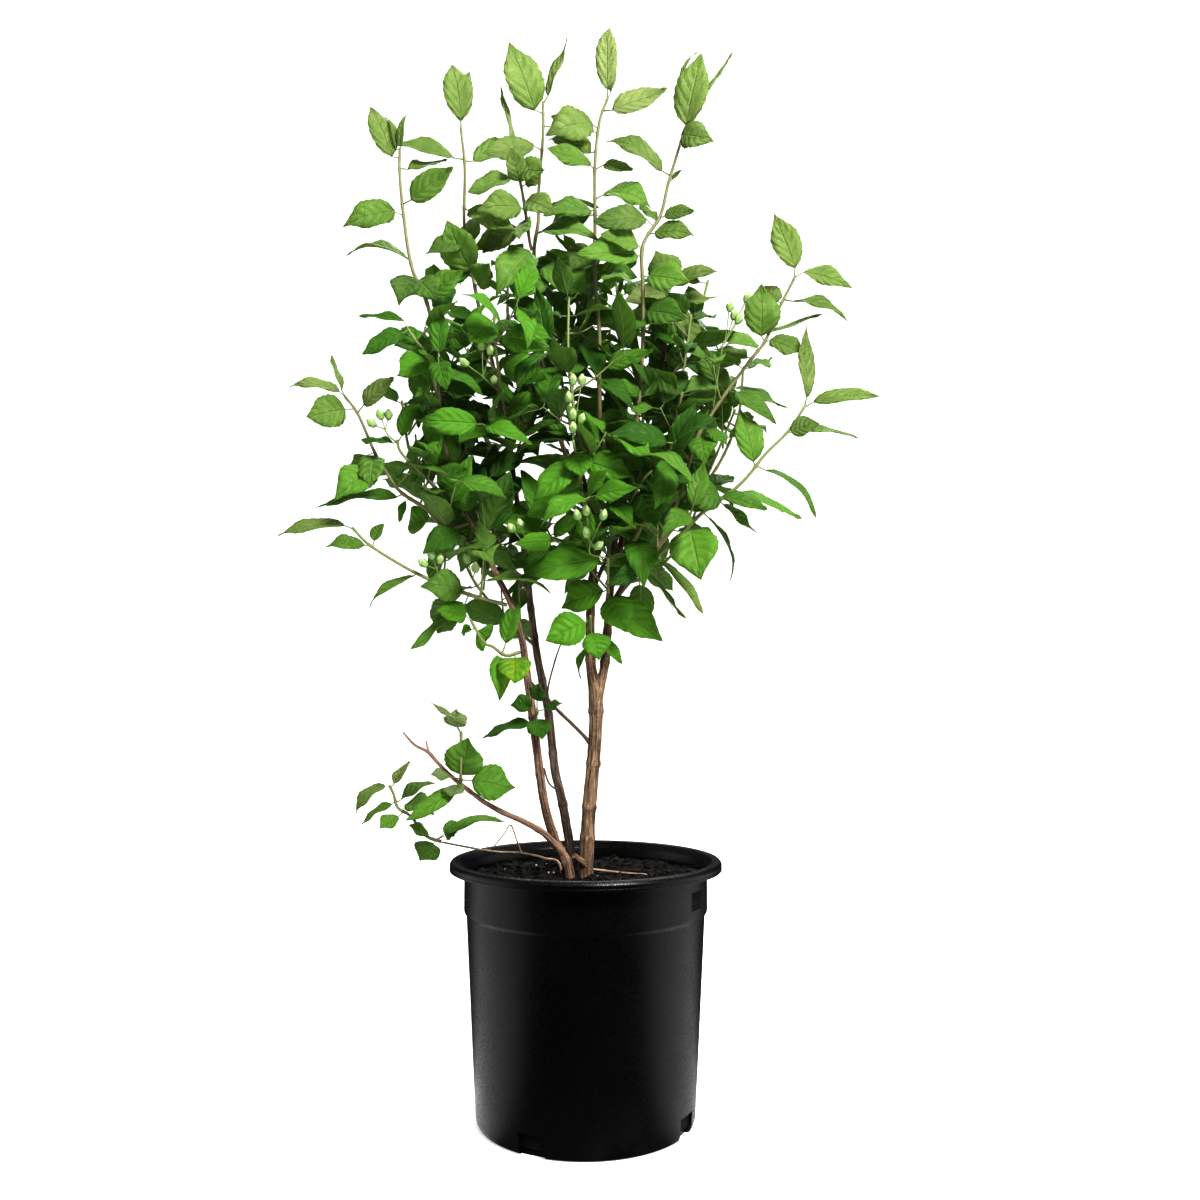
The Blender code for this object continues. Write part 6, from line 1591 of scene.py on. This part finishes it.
def leaf_values(name, blade, draw):
    """How dark and how young a leaf is; front shoots get painted light and back ones painted shade."""
    # Painted light: leaves of the front shoots draw a brighter tone
    tone_and_shade, young = draw.uniform(*(PAINTED_LIGHT_TONE if name in PAINTED_LIGHT_SHOOTS else USUAL_TONE)), 0.0
    if name in AGES:
        reach, least = AGES[name]
        below = max(0.0, SHOOT_TOPS[name] - blade.base.z)
        if below < TIP_REACH and name in TIP_AGES:
            return TIP_TONE, TIP_AGES[name]
        young = max(least, 1.0 - below / reach) ** AGE_CURVE
    # Painted shade: leaves of back shoots and of the tuft are made darker
    if name in BACK_SHOOTS:
        tone_and_shade *= BACK_PAINTED_SHADE
    if name == "tuft":
        tone_and_shade *= TUFT_PAINTED_SHADE
    return tone_and_shade, young * draw.uniform(*AGE_DRAW)


def make_shoot(name, growth, leaf, rib, settings, materials):
    """One leafy shoot: its stem, its stalks with midribs, and its blades, as one piece."""
    draw = random.Random(f"{SEED} look {name}")
    blades, pieces = growth.blades[name], []
    for i, blade in enumerate(blades):
        tone_and_shade, young = leaf_values(name, blade, draw)
        values = {"tone_and_shade": tone_and_shade, "young": young, "spoilt": SPOILT.get((name, i), 0.0), "wood": 0.0}
        blade = blade._replace(width=blade.width * (TOP_WIDER if name in WIDER else 1))
        for obj in (fine_leaf(leaf, blade, settings.tooth * (1 + 0.6 * young)), fine_rib(rib, blade)):
            for label, value in values.items():
                marked(obj, label, value)
            pieces.append(obj)
    leaves = joined("shoot_" + name + "_leaves", pieces[::2])
    solid = leaves.modifiers.new("Thickness", "SOLIDIFY")
    solid.thickness = settings.thick
    solid.offset = 0
    solid.material_offset = 1
    solid.material_offset_rim = 1
    leaves = applied(finished(leaves, *materials[:2]))
    stems = [fine_stem(name, growth, blades, PALE_STEM if name in PALE_SHOOTS else USUAL_STEM)]
    for i, twig in enumerate(growth.twigs.get(name, ())):
        points, radii = smooth_line(twig, [TWIG_RADIUS * 1.2, TWIG_RADIUS, TWIG_RADIUS * 0.7])
        stems.append(marked(pipe(f"twig_{i}", points, radii, 6), "wood", 0.15))
    stems = finished(joined("shoot_" + name + "_stems", stems + pieces[1::2]), *materials)
    stems.data.polygons.foreach_set("material_index", [2] * len(stems.data.polygons))
    bpy.ops.object.shade_smooth()
    only(leaves)
    bpy.ops.object.shade_smooth()
    piece = joined("leafy_" + name, [leaves, stems])
    while len(piece.data.materials) > 3:
        piece.data.materials.pop()
    placed(piece, "shoot_" + name)


class MOCKORANGE_OT_shoots(bpy.types.Operator):
    """Build every leafy shoot, with its stem, stalks, midribs and toothed blades"""

    bl_idname = "mock_orange.shoots"
    bl_label = "Leafy shoots"

    def execute(self, context):
        settings = context.scene.mock_orange_leaf
        growth = Growth()
        GROWN.append(growth)
        leaf, rib = leaf_template(), rib_template()
        materials = [
            leaf_material(settings, "leaf upper side", False),
            leaf_material(settings, "leaf underside", True),
            stem_material(settings),
        ]
        for name in (*SHOOTS, *BACK_SHOOTS):
            make_shoot(name, growth, leaf, rib, settings, materials)
        for template in (leaf, rib):
            bpy.data.objects.remove(template)
        return {"FINISHED"}


def turned(name, profile, steps):
    """A closed profile of (radius, height) turned round the upright axis."""
    bpy.ops.mesh.primitive_grid_add(x_subdivisions=len(profile) - 1, y_subdivisions=steps, size=2)
    piece = bpy.context.object
    piece.name = piece.data.name = name
    last = len(profile) - 1
    for vert in piece.data.vertices:
        radius, height = profile[round((vert.co.x + 1) / 2 * last)]
        turn = (vert.co.y + 1) * math.pi
        vert.co = (radius * math.cos(turn), radius * math.sin(turn), height)
    return cleaned(piece, 0.00002)


def rounded(profile, radius, steps=3):
    """The profile with its corners rounded to about a radius."""
    made = [profile[0]]
    for before, corner, after in zip(profile, profile[1:], profile[2:]):
        corner = Vector(corner)
        back, ahead = Vector(before) - corner, Vector(after) - corner
        reach = min(radius, back.length * 0.42, ahead.length * 0.42)
        start, end = corner + back.normalized() * reach, corner + ahead.normalized() * reach
        for i in range(steps + 1):
            t = i / steps
            made.append(tuple(start * (1 - t) ** 2 + corner * 2 * t * (1 - t) + end * t * t))
    return [*made, profile[-1]]


def cut_with(obj, cutters):
    """Cut an object with others, which are then removed."""
    for cutter in cutters:
        cut = obj.modifiers.new("Cut", "BOOLEAN")
        cut.operation = "DIFFERENCE"
        cut.object = cutter
        cut.solver = "EXACT"
    applied(obj)
    for cutter in cutters:
        bpy.data.objects.remove(cutter)
    return obj


def box_cutter(size, radius, height, angle):
    """A box set out from the axis at an angle to the right of the front."""
    turn = math.radians(angle)
    bpy.ops.mesh.primitive_cube_add(size=1)
    box = bpy.context.object
    box.scale = size
    box.rotation_euler.z = turn - math.pi / 2
    box.location = (radius * math.sin(turn), -radius * math.cos(turn), height)
    bpy.ops.object.transform_apply(location=True, rotation=True, scale=True)
    return box


def smooth_shaded(obj, degrees=35):
    only(obj)
    bpy.ops.object.shade_smooth_by_angle(angle=math.radians(degrees))
    return obj


class MOCKORANGE_OT_pot(bpy.types.Operator):
    """Build the nursery pot: a turned shell with a rolled lip, foot notches and a recess in its band"""

    bl_idname = "mock_orange.pot"
    bl_label = "Pot"

    def execute(self, context):
        settings = context.scene.mock_orange_pot
        lip, band, foot, top = LIP_RADIUS, BAND_RADIUS, FOOT_RADIUS, POT_HEIGHT
        profile = [
            (0, POT_FLOOR), (foot - 0.0088, POT_FLOOR), (foot - 0.0018, 0.008),
            (band - POT_WALL - 0.003, BAND_FOOT - 0.0025), (band - POT_WALL - 0.0001, BAND_FOOT + 0.0015),
            (band - POT_WALL, 0.268), (band - 0.0003, top - 0.0075), (band + 0.0060, top),
            (band + 0.0085, top - 0.0009), (lip - 0.0058, top - 0.0008), (lip - 0.0024, top - 0.0004),
            (lip, top - 0.0040), (lip - 0.0006, top - 0.0068), (lip - 0.0001, top - 0.0082),
            (lip - 0.0002, top - 0.0104), (lip - 0.0024, top - 0.0104), (lip - 0.0028, top - 0.0045),
            (band + 0.0024, top - 0.0055), (band, 0.270), (band, BAND_FOOT + 0.0016),
            (band - 0.0004, BAND_FOOT), (band - 0.0028, BAND_FOOT - 0.0035), (foot + 0.0018, 0.007),
            (foot, 0.002), (foot - 0.0033, 0), (0, 0),
        ]
        pot = turned("nursery_pot", rounded(profile, settings.lip_round), settings.steps)
        notch = NOTCH_SIZE, NOTCH_RADIUS, NOTCH_SIZE[2] / 2 - 0.001
        recess = RECESS_SIZE, RECESS_RADIUS, RECESS_HEIGHT
        cutters = [box_cutter(*notch, angle) for angle in NOTCH_ANGLES]
        cut_with(pot, cutters + [box_cutter(*recess, angle) for angle in RECESS_ANGLES])
        finished(smooth_shaded(pot), plastic_material(settings))
        placed(pot, "pot")
        return {"FINISHED"}


def soil_height(x, y):
    """The height of the soil's top: the plan's broad lumps, with clods and crumbs on them."""
    broad = math.sin(71 * x + 2) * math.sin(83 * y + 1) + 0.6 * math.sin(190 * x + 130 * y)
    clods = noise.fractal(Vector((x, y, 0)) * 95, 1.0, 2.0, 4)
    return SOIL_TOP + SOIL_LUMP * 0.9 * broad + 0.0019 * clods


def crumb_template(seed, stretch):
    """A small broken lump, one wide."""
    bpy.ops.mesh.primitive_ico_sphere_add(subdivisions=2, radius=0.5)
    crumb = bpy.context.object
    crumb.name = f"crumb_{seed}"
    for vert in crumb.data.vertices:
        off = noise.noise(vert.co * 2.3 + Vector((seed, 0, 0)))
        vert.co = Vector(a * b for a, b in zip(vert.co * (1 + 0.55 * off), stretch))
    return crumb


def scattered(template, count, sizes, draw, holes, limit):
    """Copies of a lump sunk a third into the soil's top, clear of the canes."""
    made = []
    while len(made) < count:
        radius, turn = limit * math.sqrt(draw.random()), draw.uniform(0, math.tau)
        x, y = radius * math.cos(turn), radius * math.sin(turn)
        size = draw.uniform(*sizes)
        if any(math.hypot(x - hx, y - hy) < hr + size for hx, hy, hr in holes):
            continue
        turn = draw.uniform(0, math.tau)
        spin = Matrix.Rotation(turn, 3, Vector((draw.gauss(0, 1), draw.gauss(0, 1), 3)))
        at = Vector((x, y, soil_height(x, y) + size * LUMP_LIFT))
        spots = [at + spin @ (vert.co * size) for vert in template.data.vertices]
        made.append(copied(template, spots))
    bpy.data.objects.remove(template)
    return joined("lumps", made)


class MOCKORANGE_OT_soil(bpy.types.Operator):
    """Build the potting mix: a lumpy top with crumbs, bark chips and white grains"""

    bl_idname = "mock_orange.soil"
    bl_label = "Soil"

    def execute(self, context):
        settings = context.scene.mock_orange_soil
        draw = random.Random(f"{SEED} soil")
        inner = BAND_RADIUS - POT_WALL - CLEAR
        foot = FOOT_RADIUS - 0.0018 - CLEAR
        rings = [(inner * i / SOIL_FINE, SOIL_TOP) for i in range(SOIL_FINE)]
        profile = rings + [
            (inner, SOIL_TOP - 0.001), (inner, BAND_FOOT + 0.0013), (inner - 0.0029, BAND_FOOT - 0.0025),
            (foot, 0.008 + CLEAR), (foot - 0.0068, POT_FLOOR + CLEAR), (0, POT_FLOOR + CLEAR),
        ]
        soil = turned("potting_mix", profile, 160)
        for vert in soil.data.vertices:
            if vert.co.z > SOIL_TOP - 0.0005:
                vert.co.z = soil_height(vert.co.x, vert.co.y)
        holes, cutters = [], []
        for name, radius in ROOTED.items():
            x, y, _ = seen(CANES[name].places[0])
            holes.append((x, y, radius * MM))
            middle = (x, y, HOLE_FOOT + HOLE_DEPTH / 2)
            bpy.ops.mesh.primitive_cylinder_add(
                vertices=24, radius=radius * MM + HOLE_CLEAR, depth=HOLE_DEPTH, location=middle
            )
            bpy.ops.object.transform_apply(location=True)
            cutters.append(bpy.context.object)
        cut_with(soil, cutters)
        finished(smooth_shaded(soil, 50), earth_material("potting soil", settings.earth, 130.0, 0.0016))
        chip = "bark chip", settings.chip, 190.0, 0.0008
        grain = "perlite grain", settings.grain, 420.0, 0.0003
        lumps = (
            (settings.crumbs, (1, 0.9, 0.75), (0.0016, 0.0062), None),
            (settings.chips, (2.1, 0.8, 0.4), (0.003, 0.0075), chip),
            (settings.perlite, (1, 0.9, 0.85), (0.0012, 0.0034), grain),
        )
        pieces = [soil]
        for seed, (count, stretch, sizes, look) in enumerate(lumps, 1):
            made = scattered(crumb_template(seed, stretch), count, sizes, draw, holes, inner - SOIL_EDGE)
            look = earth_material(*look) if look else bpy.data.materials["potting soil"]
            pieces.append(finished(made, look))
        placed(joined("potting_mix", pieces), "soil")
        return {"FINISHED"}


def fine_cane(name, growth, settings, draw):
    """A cane with its collar, its leaf scars and small bends, marked with painted shade towards the crown.
    """
    points, radii = smooth_line(growth.lines[name], growth.radii[name], CANE_STEP)
    total, closer, scars = line_length(points), 0.6 if radii[0] < THIN_CANE else 1.0, []
    run = draw.uniform(0.3, 1.0) * settings.knot_every
    while run < total:
        scars.append(run)
        run += settings.knot_every * draw.uniform(0.6, 1.3) * closer
    radii = swollen(points, radii, scars, settings.knot_rise, SCAR_REACH)
    forked = name not in ROOTED and name != "dry_twig"
    reach = radii[0] * 3
    made, run = [], 0.0
    for i, radius in enumerate(radii):
        run += (points[i] - points[i - 1]).length if i else 0.0
        collar = 1 + FORK_SWELL * math.exp(-((run / reach) ** 2)) if forked else 1.0
        made.append(radius * collar)
    sides = settings.sides if CANES[name].radii[0] > THICK_CANE else settings.sides // 2
    stem = pipe("cane_" + name, points, made, sides)
    start, places = draw.uniform(0, 5), []
    for vert in stem.data.vertices:
        share = nearest_on(growth.lines[name], vert.co)
        axis, way = along_line(points, share)
        out = vert.co - axis
        side = way.cross(Vector((0, 1, 0))).normalized()
        # Painted shade: the bark darkens as a cane rises into the crown
        dark = max(0.0, min(1.0, (vert.co.z - SHADE_FROM) / (SHADE_TO - SHADE_FROM))) * DEEPEST_SHADE
        shade = CANE_SHADES.get(name, dark)
        places.append((out.dot(side), out.dot(side.cross(way)), start + share, shade))
        bump = noise.fractal(Vector((vert.co.x * 220, vert.co.y * 220, vert.co.z * 60)), 1.0, 2.0, 3)
        vert.co += out * BARK_BUMP * bump
    for label, values in zip(("ring_x", "ring_y", "run", "shade"), zip(*places)):
        marked(stem, label, values)
    return stem


class MOCKORANGE_OT_canes(bpy.types.Operator):
    """Build the woody canes and twigs, with collars at their forks and scars along them"""

    bl_idname = "mock_orange.canes"
    bl_label = "Canes"

    def execute(self, context):
        settings = context.scene.mock_orange_bark
        growth = GROWN[0]
        looks = {
            "cane_main": ("tan bark", settings.tan, 0.42),
            "cane_middle": ("grey bark", settings.grey, 0.45),
            "cane_left": ("brown bark", settings.brown, 0.45),
            "twig_low": ("dry twig bark", settings.pale, 0.55),
            "twig_dry": ("dead twig bark", settings.pale, 0.45),
        }
        for node, (label, colour, streak) in looks.items():
            draw = random.Random(f"{SEED} bark {node}")
            names = [name for name, cane in CANES.items() if cane.node == node]
            piece = joined("woody_" + node, [fine_cane(name, growth, settings, draw) for name in names])
            finished(smooth_shaded(piece, 60), bark_material(label, tuple(colour), streak))
            placed(piece, node)
        return {"FINISHED"}


def bud_template(settings):
    """A closed bud along Z from its stalk, with the green cup's four points round its lower half."""
    bpy.ops.mesh.primitive_uv_sphere_add(segments=12, ring_count=9, radius=0.5)
    body = bpy.context.object
    for vert in body.data.vertices:
        rise = vert.co.z + 0.5
        turn = math.atan2(vert.co.y, vert.co.x)
        round_in = math.hypot(vert.co.x, vert.co.y)
        pinch = 1 - 0.42 * max(0.0, rise - 0.55) / 0.45
        fold = 1 + 0.05 * math.cos(4 * turn) * min(1.0, rise * 2)
        vert.co = (
            math.cos(turn) * round_in * settings.wide * pinch * fold,
            math.sin(turn) * round_in * settings.wide * pinch * fold,
            rise * settings.long,
        )
    rise = [0.58 + 0.4 * vert.co.z / settings.long for vert in body.data.vertices]
    marked(body, "rise", rise)
    bpy.ops.mesh.primitive_cylinder_add(vertices=16, radius=0.5, depth=1, end_fill_type="NOTHING")
    cup = bpy.context.object
    bpy.ops.object.mode_set(mode="EDIT")
    bpy.ops.mesh.subdivide(number_cuts=1)
    bpy.ops.object.mode_set(mode="OBJECT")
    for vert in cup.data.vertices:
        rise = vert.co.z + 0.5
        turn = math.atan2(vert.co.y, vert.co.x)
        point = 0.5 + 0.5 * math.cos(4 * turn)
        height = rise * (0.26 + 0.42 * point)
        wide = math.sin(math.pi * min(0.5, 0.12 + height)) ** 0.6
        out = settings.wide * (0.5 * wide + 0.03 + 0.03 * rise)
        vert.co = (math.cos(turn) * out, math.sin(turn) * out, height * settings.long)
    marked(cup, "rise", [0.3 * vert.co.z / settings.long for vert in cup.data.vertices])
    bud = joined("bud", [body, cup])
    bpy.ops.object.shade_smooth()
    return bud


class MOCKORANGE_OT_buds(bpy.types.Operator):
    """Build the sprays of closed flower buds"""

    bl_idname = "mock_orange.buds"
    bl_label = "Bud sprays"

    def execute(self, context):
        settings = context.scene.mock_orange_bud
        growth = GROWN[0]
        look, stalk_look = bud_material(settings), bpy.data.materials["young stem"]
        bud = bud_template(settings)
        for name, spray in SPRAYS.items():
            line = growth.lines[name]
            points, radii = smooth_line(line, [STALK_RADIUS * 1.1] * len(line), 0.003)
            stalks, buds = [marked(pipe("stalk", points, radii, 6), "wood", 0.0)], []
            for place in spray.buds:
                spot = seen(place)
                start, way = along_line(line, max(BUD_STALK, nearest_on(line, spot) - BUD_STALK))
                axis = (spot - start).normalized().lerp(way, 0.3).normalized()
                foot = spot - axis * settings.long / 2
                bend = start.lerp(foot, 0.5) + way * 0.001
                points, radii = smooth_line([start, bend, foot], [0.0006, 0.00055, 0.0008], 0.002)
                stalks.append(marked(pipe("stalk", points, radii, 6), "wood", 0.0))
                turn = axis.to_track_quat("Z", "Y").to_matrix()
                buds.append(copied(bud, [foot + turn @ vert.co for vert in bud.data.vertices]))
            stalks = finished(joined("stalks", stalks), stalk_look)
            buds = finished(joined("buds", buds), look)
            piece = joined("bud_spray_" + name, [buds, stalks])
            bpy.ops.object.shade_smooth()
            placed(piece, "spray_" + name)
        bpy.data.objects.remove(bud)
        return {"FINISHED"}


def area_light(name, watts, size, place, aim):
    """A large soft light at a place, turned to look at a point."""
    bpy.ops.object.light_add(type="AREA", location=place)
    lamp = bpy.context.object
    lamp.name = name
    lamp.data.energy = watts
    lamp.data.shape = "RECTANGLE"
    lamp.data.size, lamp.data.size_y = size
    lamp.rotation_euler = (Vector(aim) - Vector(place)).to_track_quat("-Z", "Y").to_euler()


class MOCKORANGE_OT_stage(bpy.types.Operator):
    """Set up the pale floor with painted reflections for the pot, the soft light and the camera"""

    bl_idname = "mock_orange.stage"
    bl_label = "Stage"

    def execute(self, context):
        settings = context.scene.mock_orange_stage
        bpy.ops.mesh.primitive_plane_add(size=settings.floor, location=(0, 0, 0))
        floor = context.object
        floor.name = "floor"
        made, nodes, shader = new_material("pale floor")
        number, times, ramp = nodes.number, nodes.times, nodes.ramp
        where = nodes.where()
        plain = nodes.mix(nodes.noisy(where, 3.0), scaled(settings.pale, 0.985), settings.pale)
        # Painted reflection: in glossy rays the floor is nearly black but glows at the sides and near the
        # pot, which paints the pot's sheen
        rays = nodes.put("LightPath").outputs
        spot = nodes.split(where)
        away = nodes.from_axis(spot)
        sideways = number("DIVIDE", number("ABSOLUTE", spot["X"]), away)
        painted_foot_reflection = ramp(away, 0.16, 0.34, 0.10, 0.0)
        glow = number("MAXIMUM", ramp(sideways, 0.70, 0.98), painted_foot_reflection)
        glow = times(times(glow, settings.glow), rays["Is Glossy Ray"])
        nodes.feed(shader, {
            # Painted dark reflection: for glossy rays the floor's colour is nearly black
            "Base Color": nodes.mix(rays["Is Glossy Ray"], plain, (0.02, 0.02, 0.02)),
            "Roughness": 0.85,
            "Specular IOR Level": 0.1,
            "Emission Strength": nodes.times_plus(rays["Is Camera Ray"], settings.lift, glow),
            "Emission Color": (1, 1, 1),
        })
        floor.data.materials.append(made)
        world = bpy.data.worlds.new("studio")
        context.scene.world = world
        world.use_nodes = True
        nodes = Nodes(world.node_tree)
        number, ramp = nodes.number, nodes.ramp
        rays = nodes.put("LightPath").outputs
        way = nodes.split(nodes.put("TexCoord").outputs["Generated"])
        round_about = ramp(way["Y"], -0.8, 0.6, settings.front, settings.sky)
        sides = ramp(number("ABSOLUTE", way["X"]), 0.72, 0.98, 0.02, settings.glow)
        inputs = {"Factor": rays["Is Glossy Ray"], "A": round_about, "B": sides}
        soft = nodes.put("Mix", inputs).outputs[0]
        soft = number("ADD", soft, ramp(way["Z"], 0.2, 1.0, 0.0, settings.sky))
        by_camera = rays["Is Camera Ray"]
        strength = nodes.times_plus(soft, number("SUBTRACT", 1.0, by_camera), by_camera)
        nodes.feed(world.node_tree.nodes["Background"], {"Color": (1, 1, 1), "Strength": strength})
        area_light("key", settings.key, (1.0, 1.0), (1.2, -2.1, 2.7), (0, 0, 0.7))
        area_light("rim", settings.back, (2.2, 1.4), (0.3, 1.8, 2.6), (0, 0, 0.8))
        camera = bpy.data.cameras.new("camera")
        camera.lens = settings.lens
        camera.sensor_width = 36
        camera.clip_end = 200
        viewer = bpy.data.objects.new("camera", camera)
        context.scene.collection.objects.link(viewer)
        viewer.location = settings.eye
        viewer.rotation_euler = (math.pi / 2 + settings.tilt, 0, 0)
        context.scene.camera = viewer
        picture = context.scene.view_settings
        picture.view_transform = "Standard"
        picture.exposure = settings.exposure
        picture.gamma = settings.gamma
        return {"FINISHED"}


class MOCKORANGE_PT_panel(bpy.types.Panel):
    """The sidebar's panel for the potted mock orange"""

    bl_idname = "MOCKORANGE_PT_panel"
    bl_label = "Mock orange"
    bl_space_type = "VIEW_3D"
    bl_region_type = "UI"
    bl_category = "Mock orange"

    def draw(self, context):
        for operator, name, _ in PARTS:
            column = self.layout.column()
            column.operator(operator.bl_idname)
            settings = getattr(context.scene, name)
            for label in settings.bl_rna.properties.keys():
                if label not in ("rna_type", "name"):
                    column.prop(settings, label)


PARTS = (
    (MOCKORANGE_OT_shoots, "mock_orange_leaf", MockOrangeLeaf),
    (MOCKORANGE_OT_canes, "mock_orange_bark", MockOrangeBark),
    (MOCKORANGE_OT_buds, "mock_orange_bud", MockOrangeBud),
    (MOCKORANGE_OT_soil, "mock_orange_soil", MockOrangeSoil),
    (MOCKORANGE_OT_pot, "mock_orange_pot", MockOrangePot),
    (MOCKORANGE_OT_stage, "mock_orange_stage", MockOrangeStage),
)


def register():
    for operator, name, settings in PARTS:
        bpy.utils.register_class(settings)
        setattr(bpy.types.Scene, name, bpy.props.PointerProperty(type=settings))
        bpy.utils.register_class(operator)
    bpy.utils.register_class(MOCKORANGE_PT_panel)


def unregister():
    bpy.utils.unregister_class(MOCKORANGE_PT_panel)
    for operator, name, settings in PARTS:
        bpy.utils.unregister_class(operator)
        delattr(bpy.types.Scene, name)
        bpy.utils.unregister_class(settings)


def main():
    register()
    vein_group()
    mottle_group()
    bpy.ops.mock_orange.shoots()
    bpy.ops.mock_orange.canes()
    bpy.ops.mock_orange.buds()
    bpy.ops.mock_orange.soil()
    bpy.ops.mock_orange.pot()
    bpy.ops.mock_orange.stage()


if __name__ == "__main__":
    main()
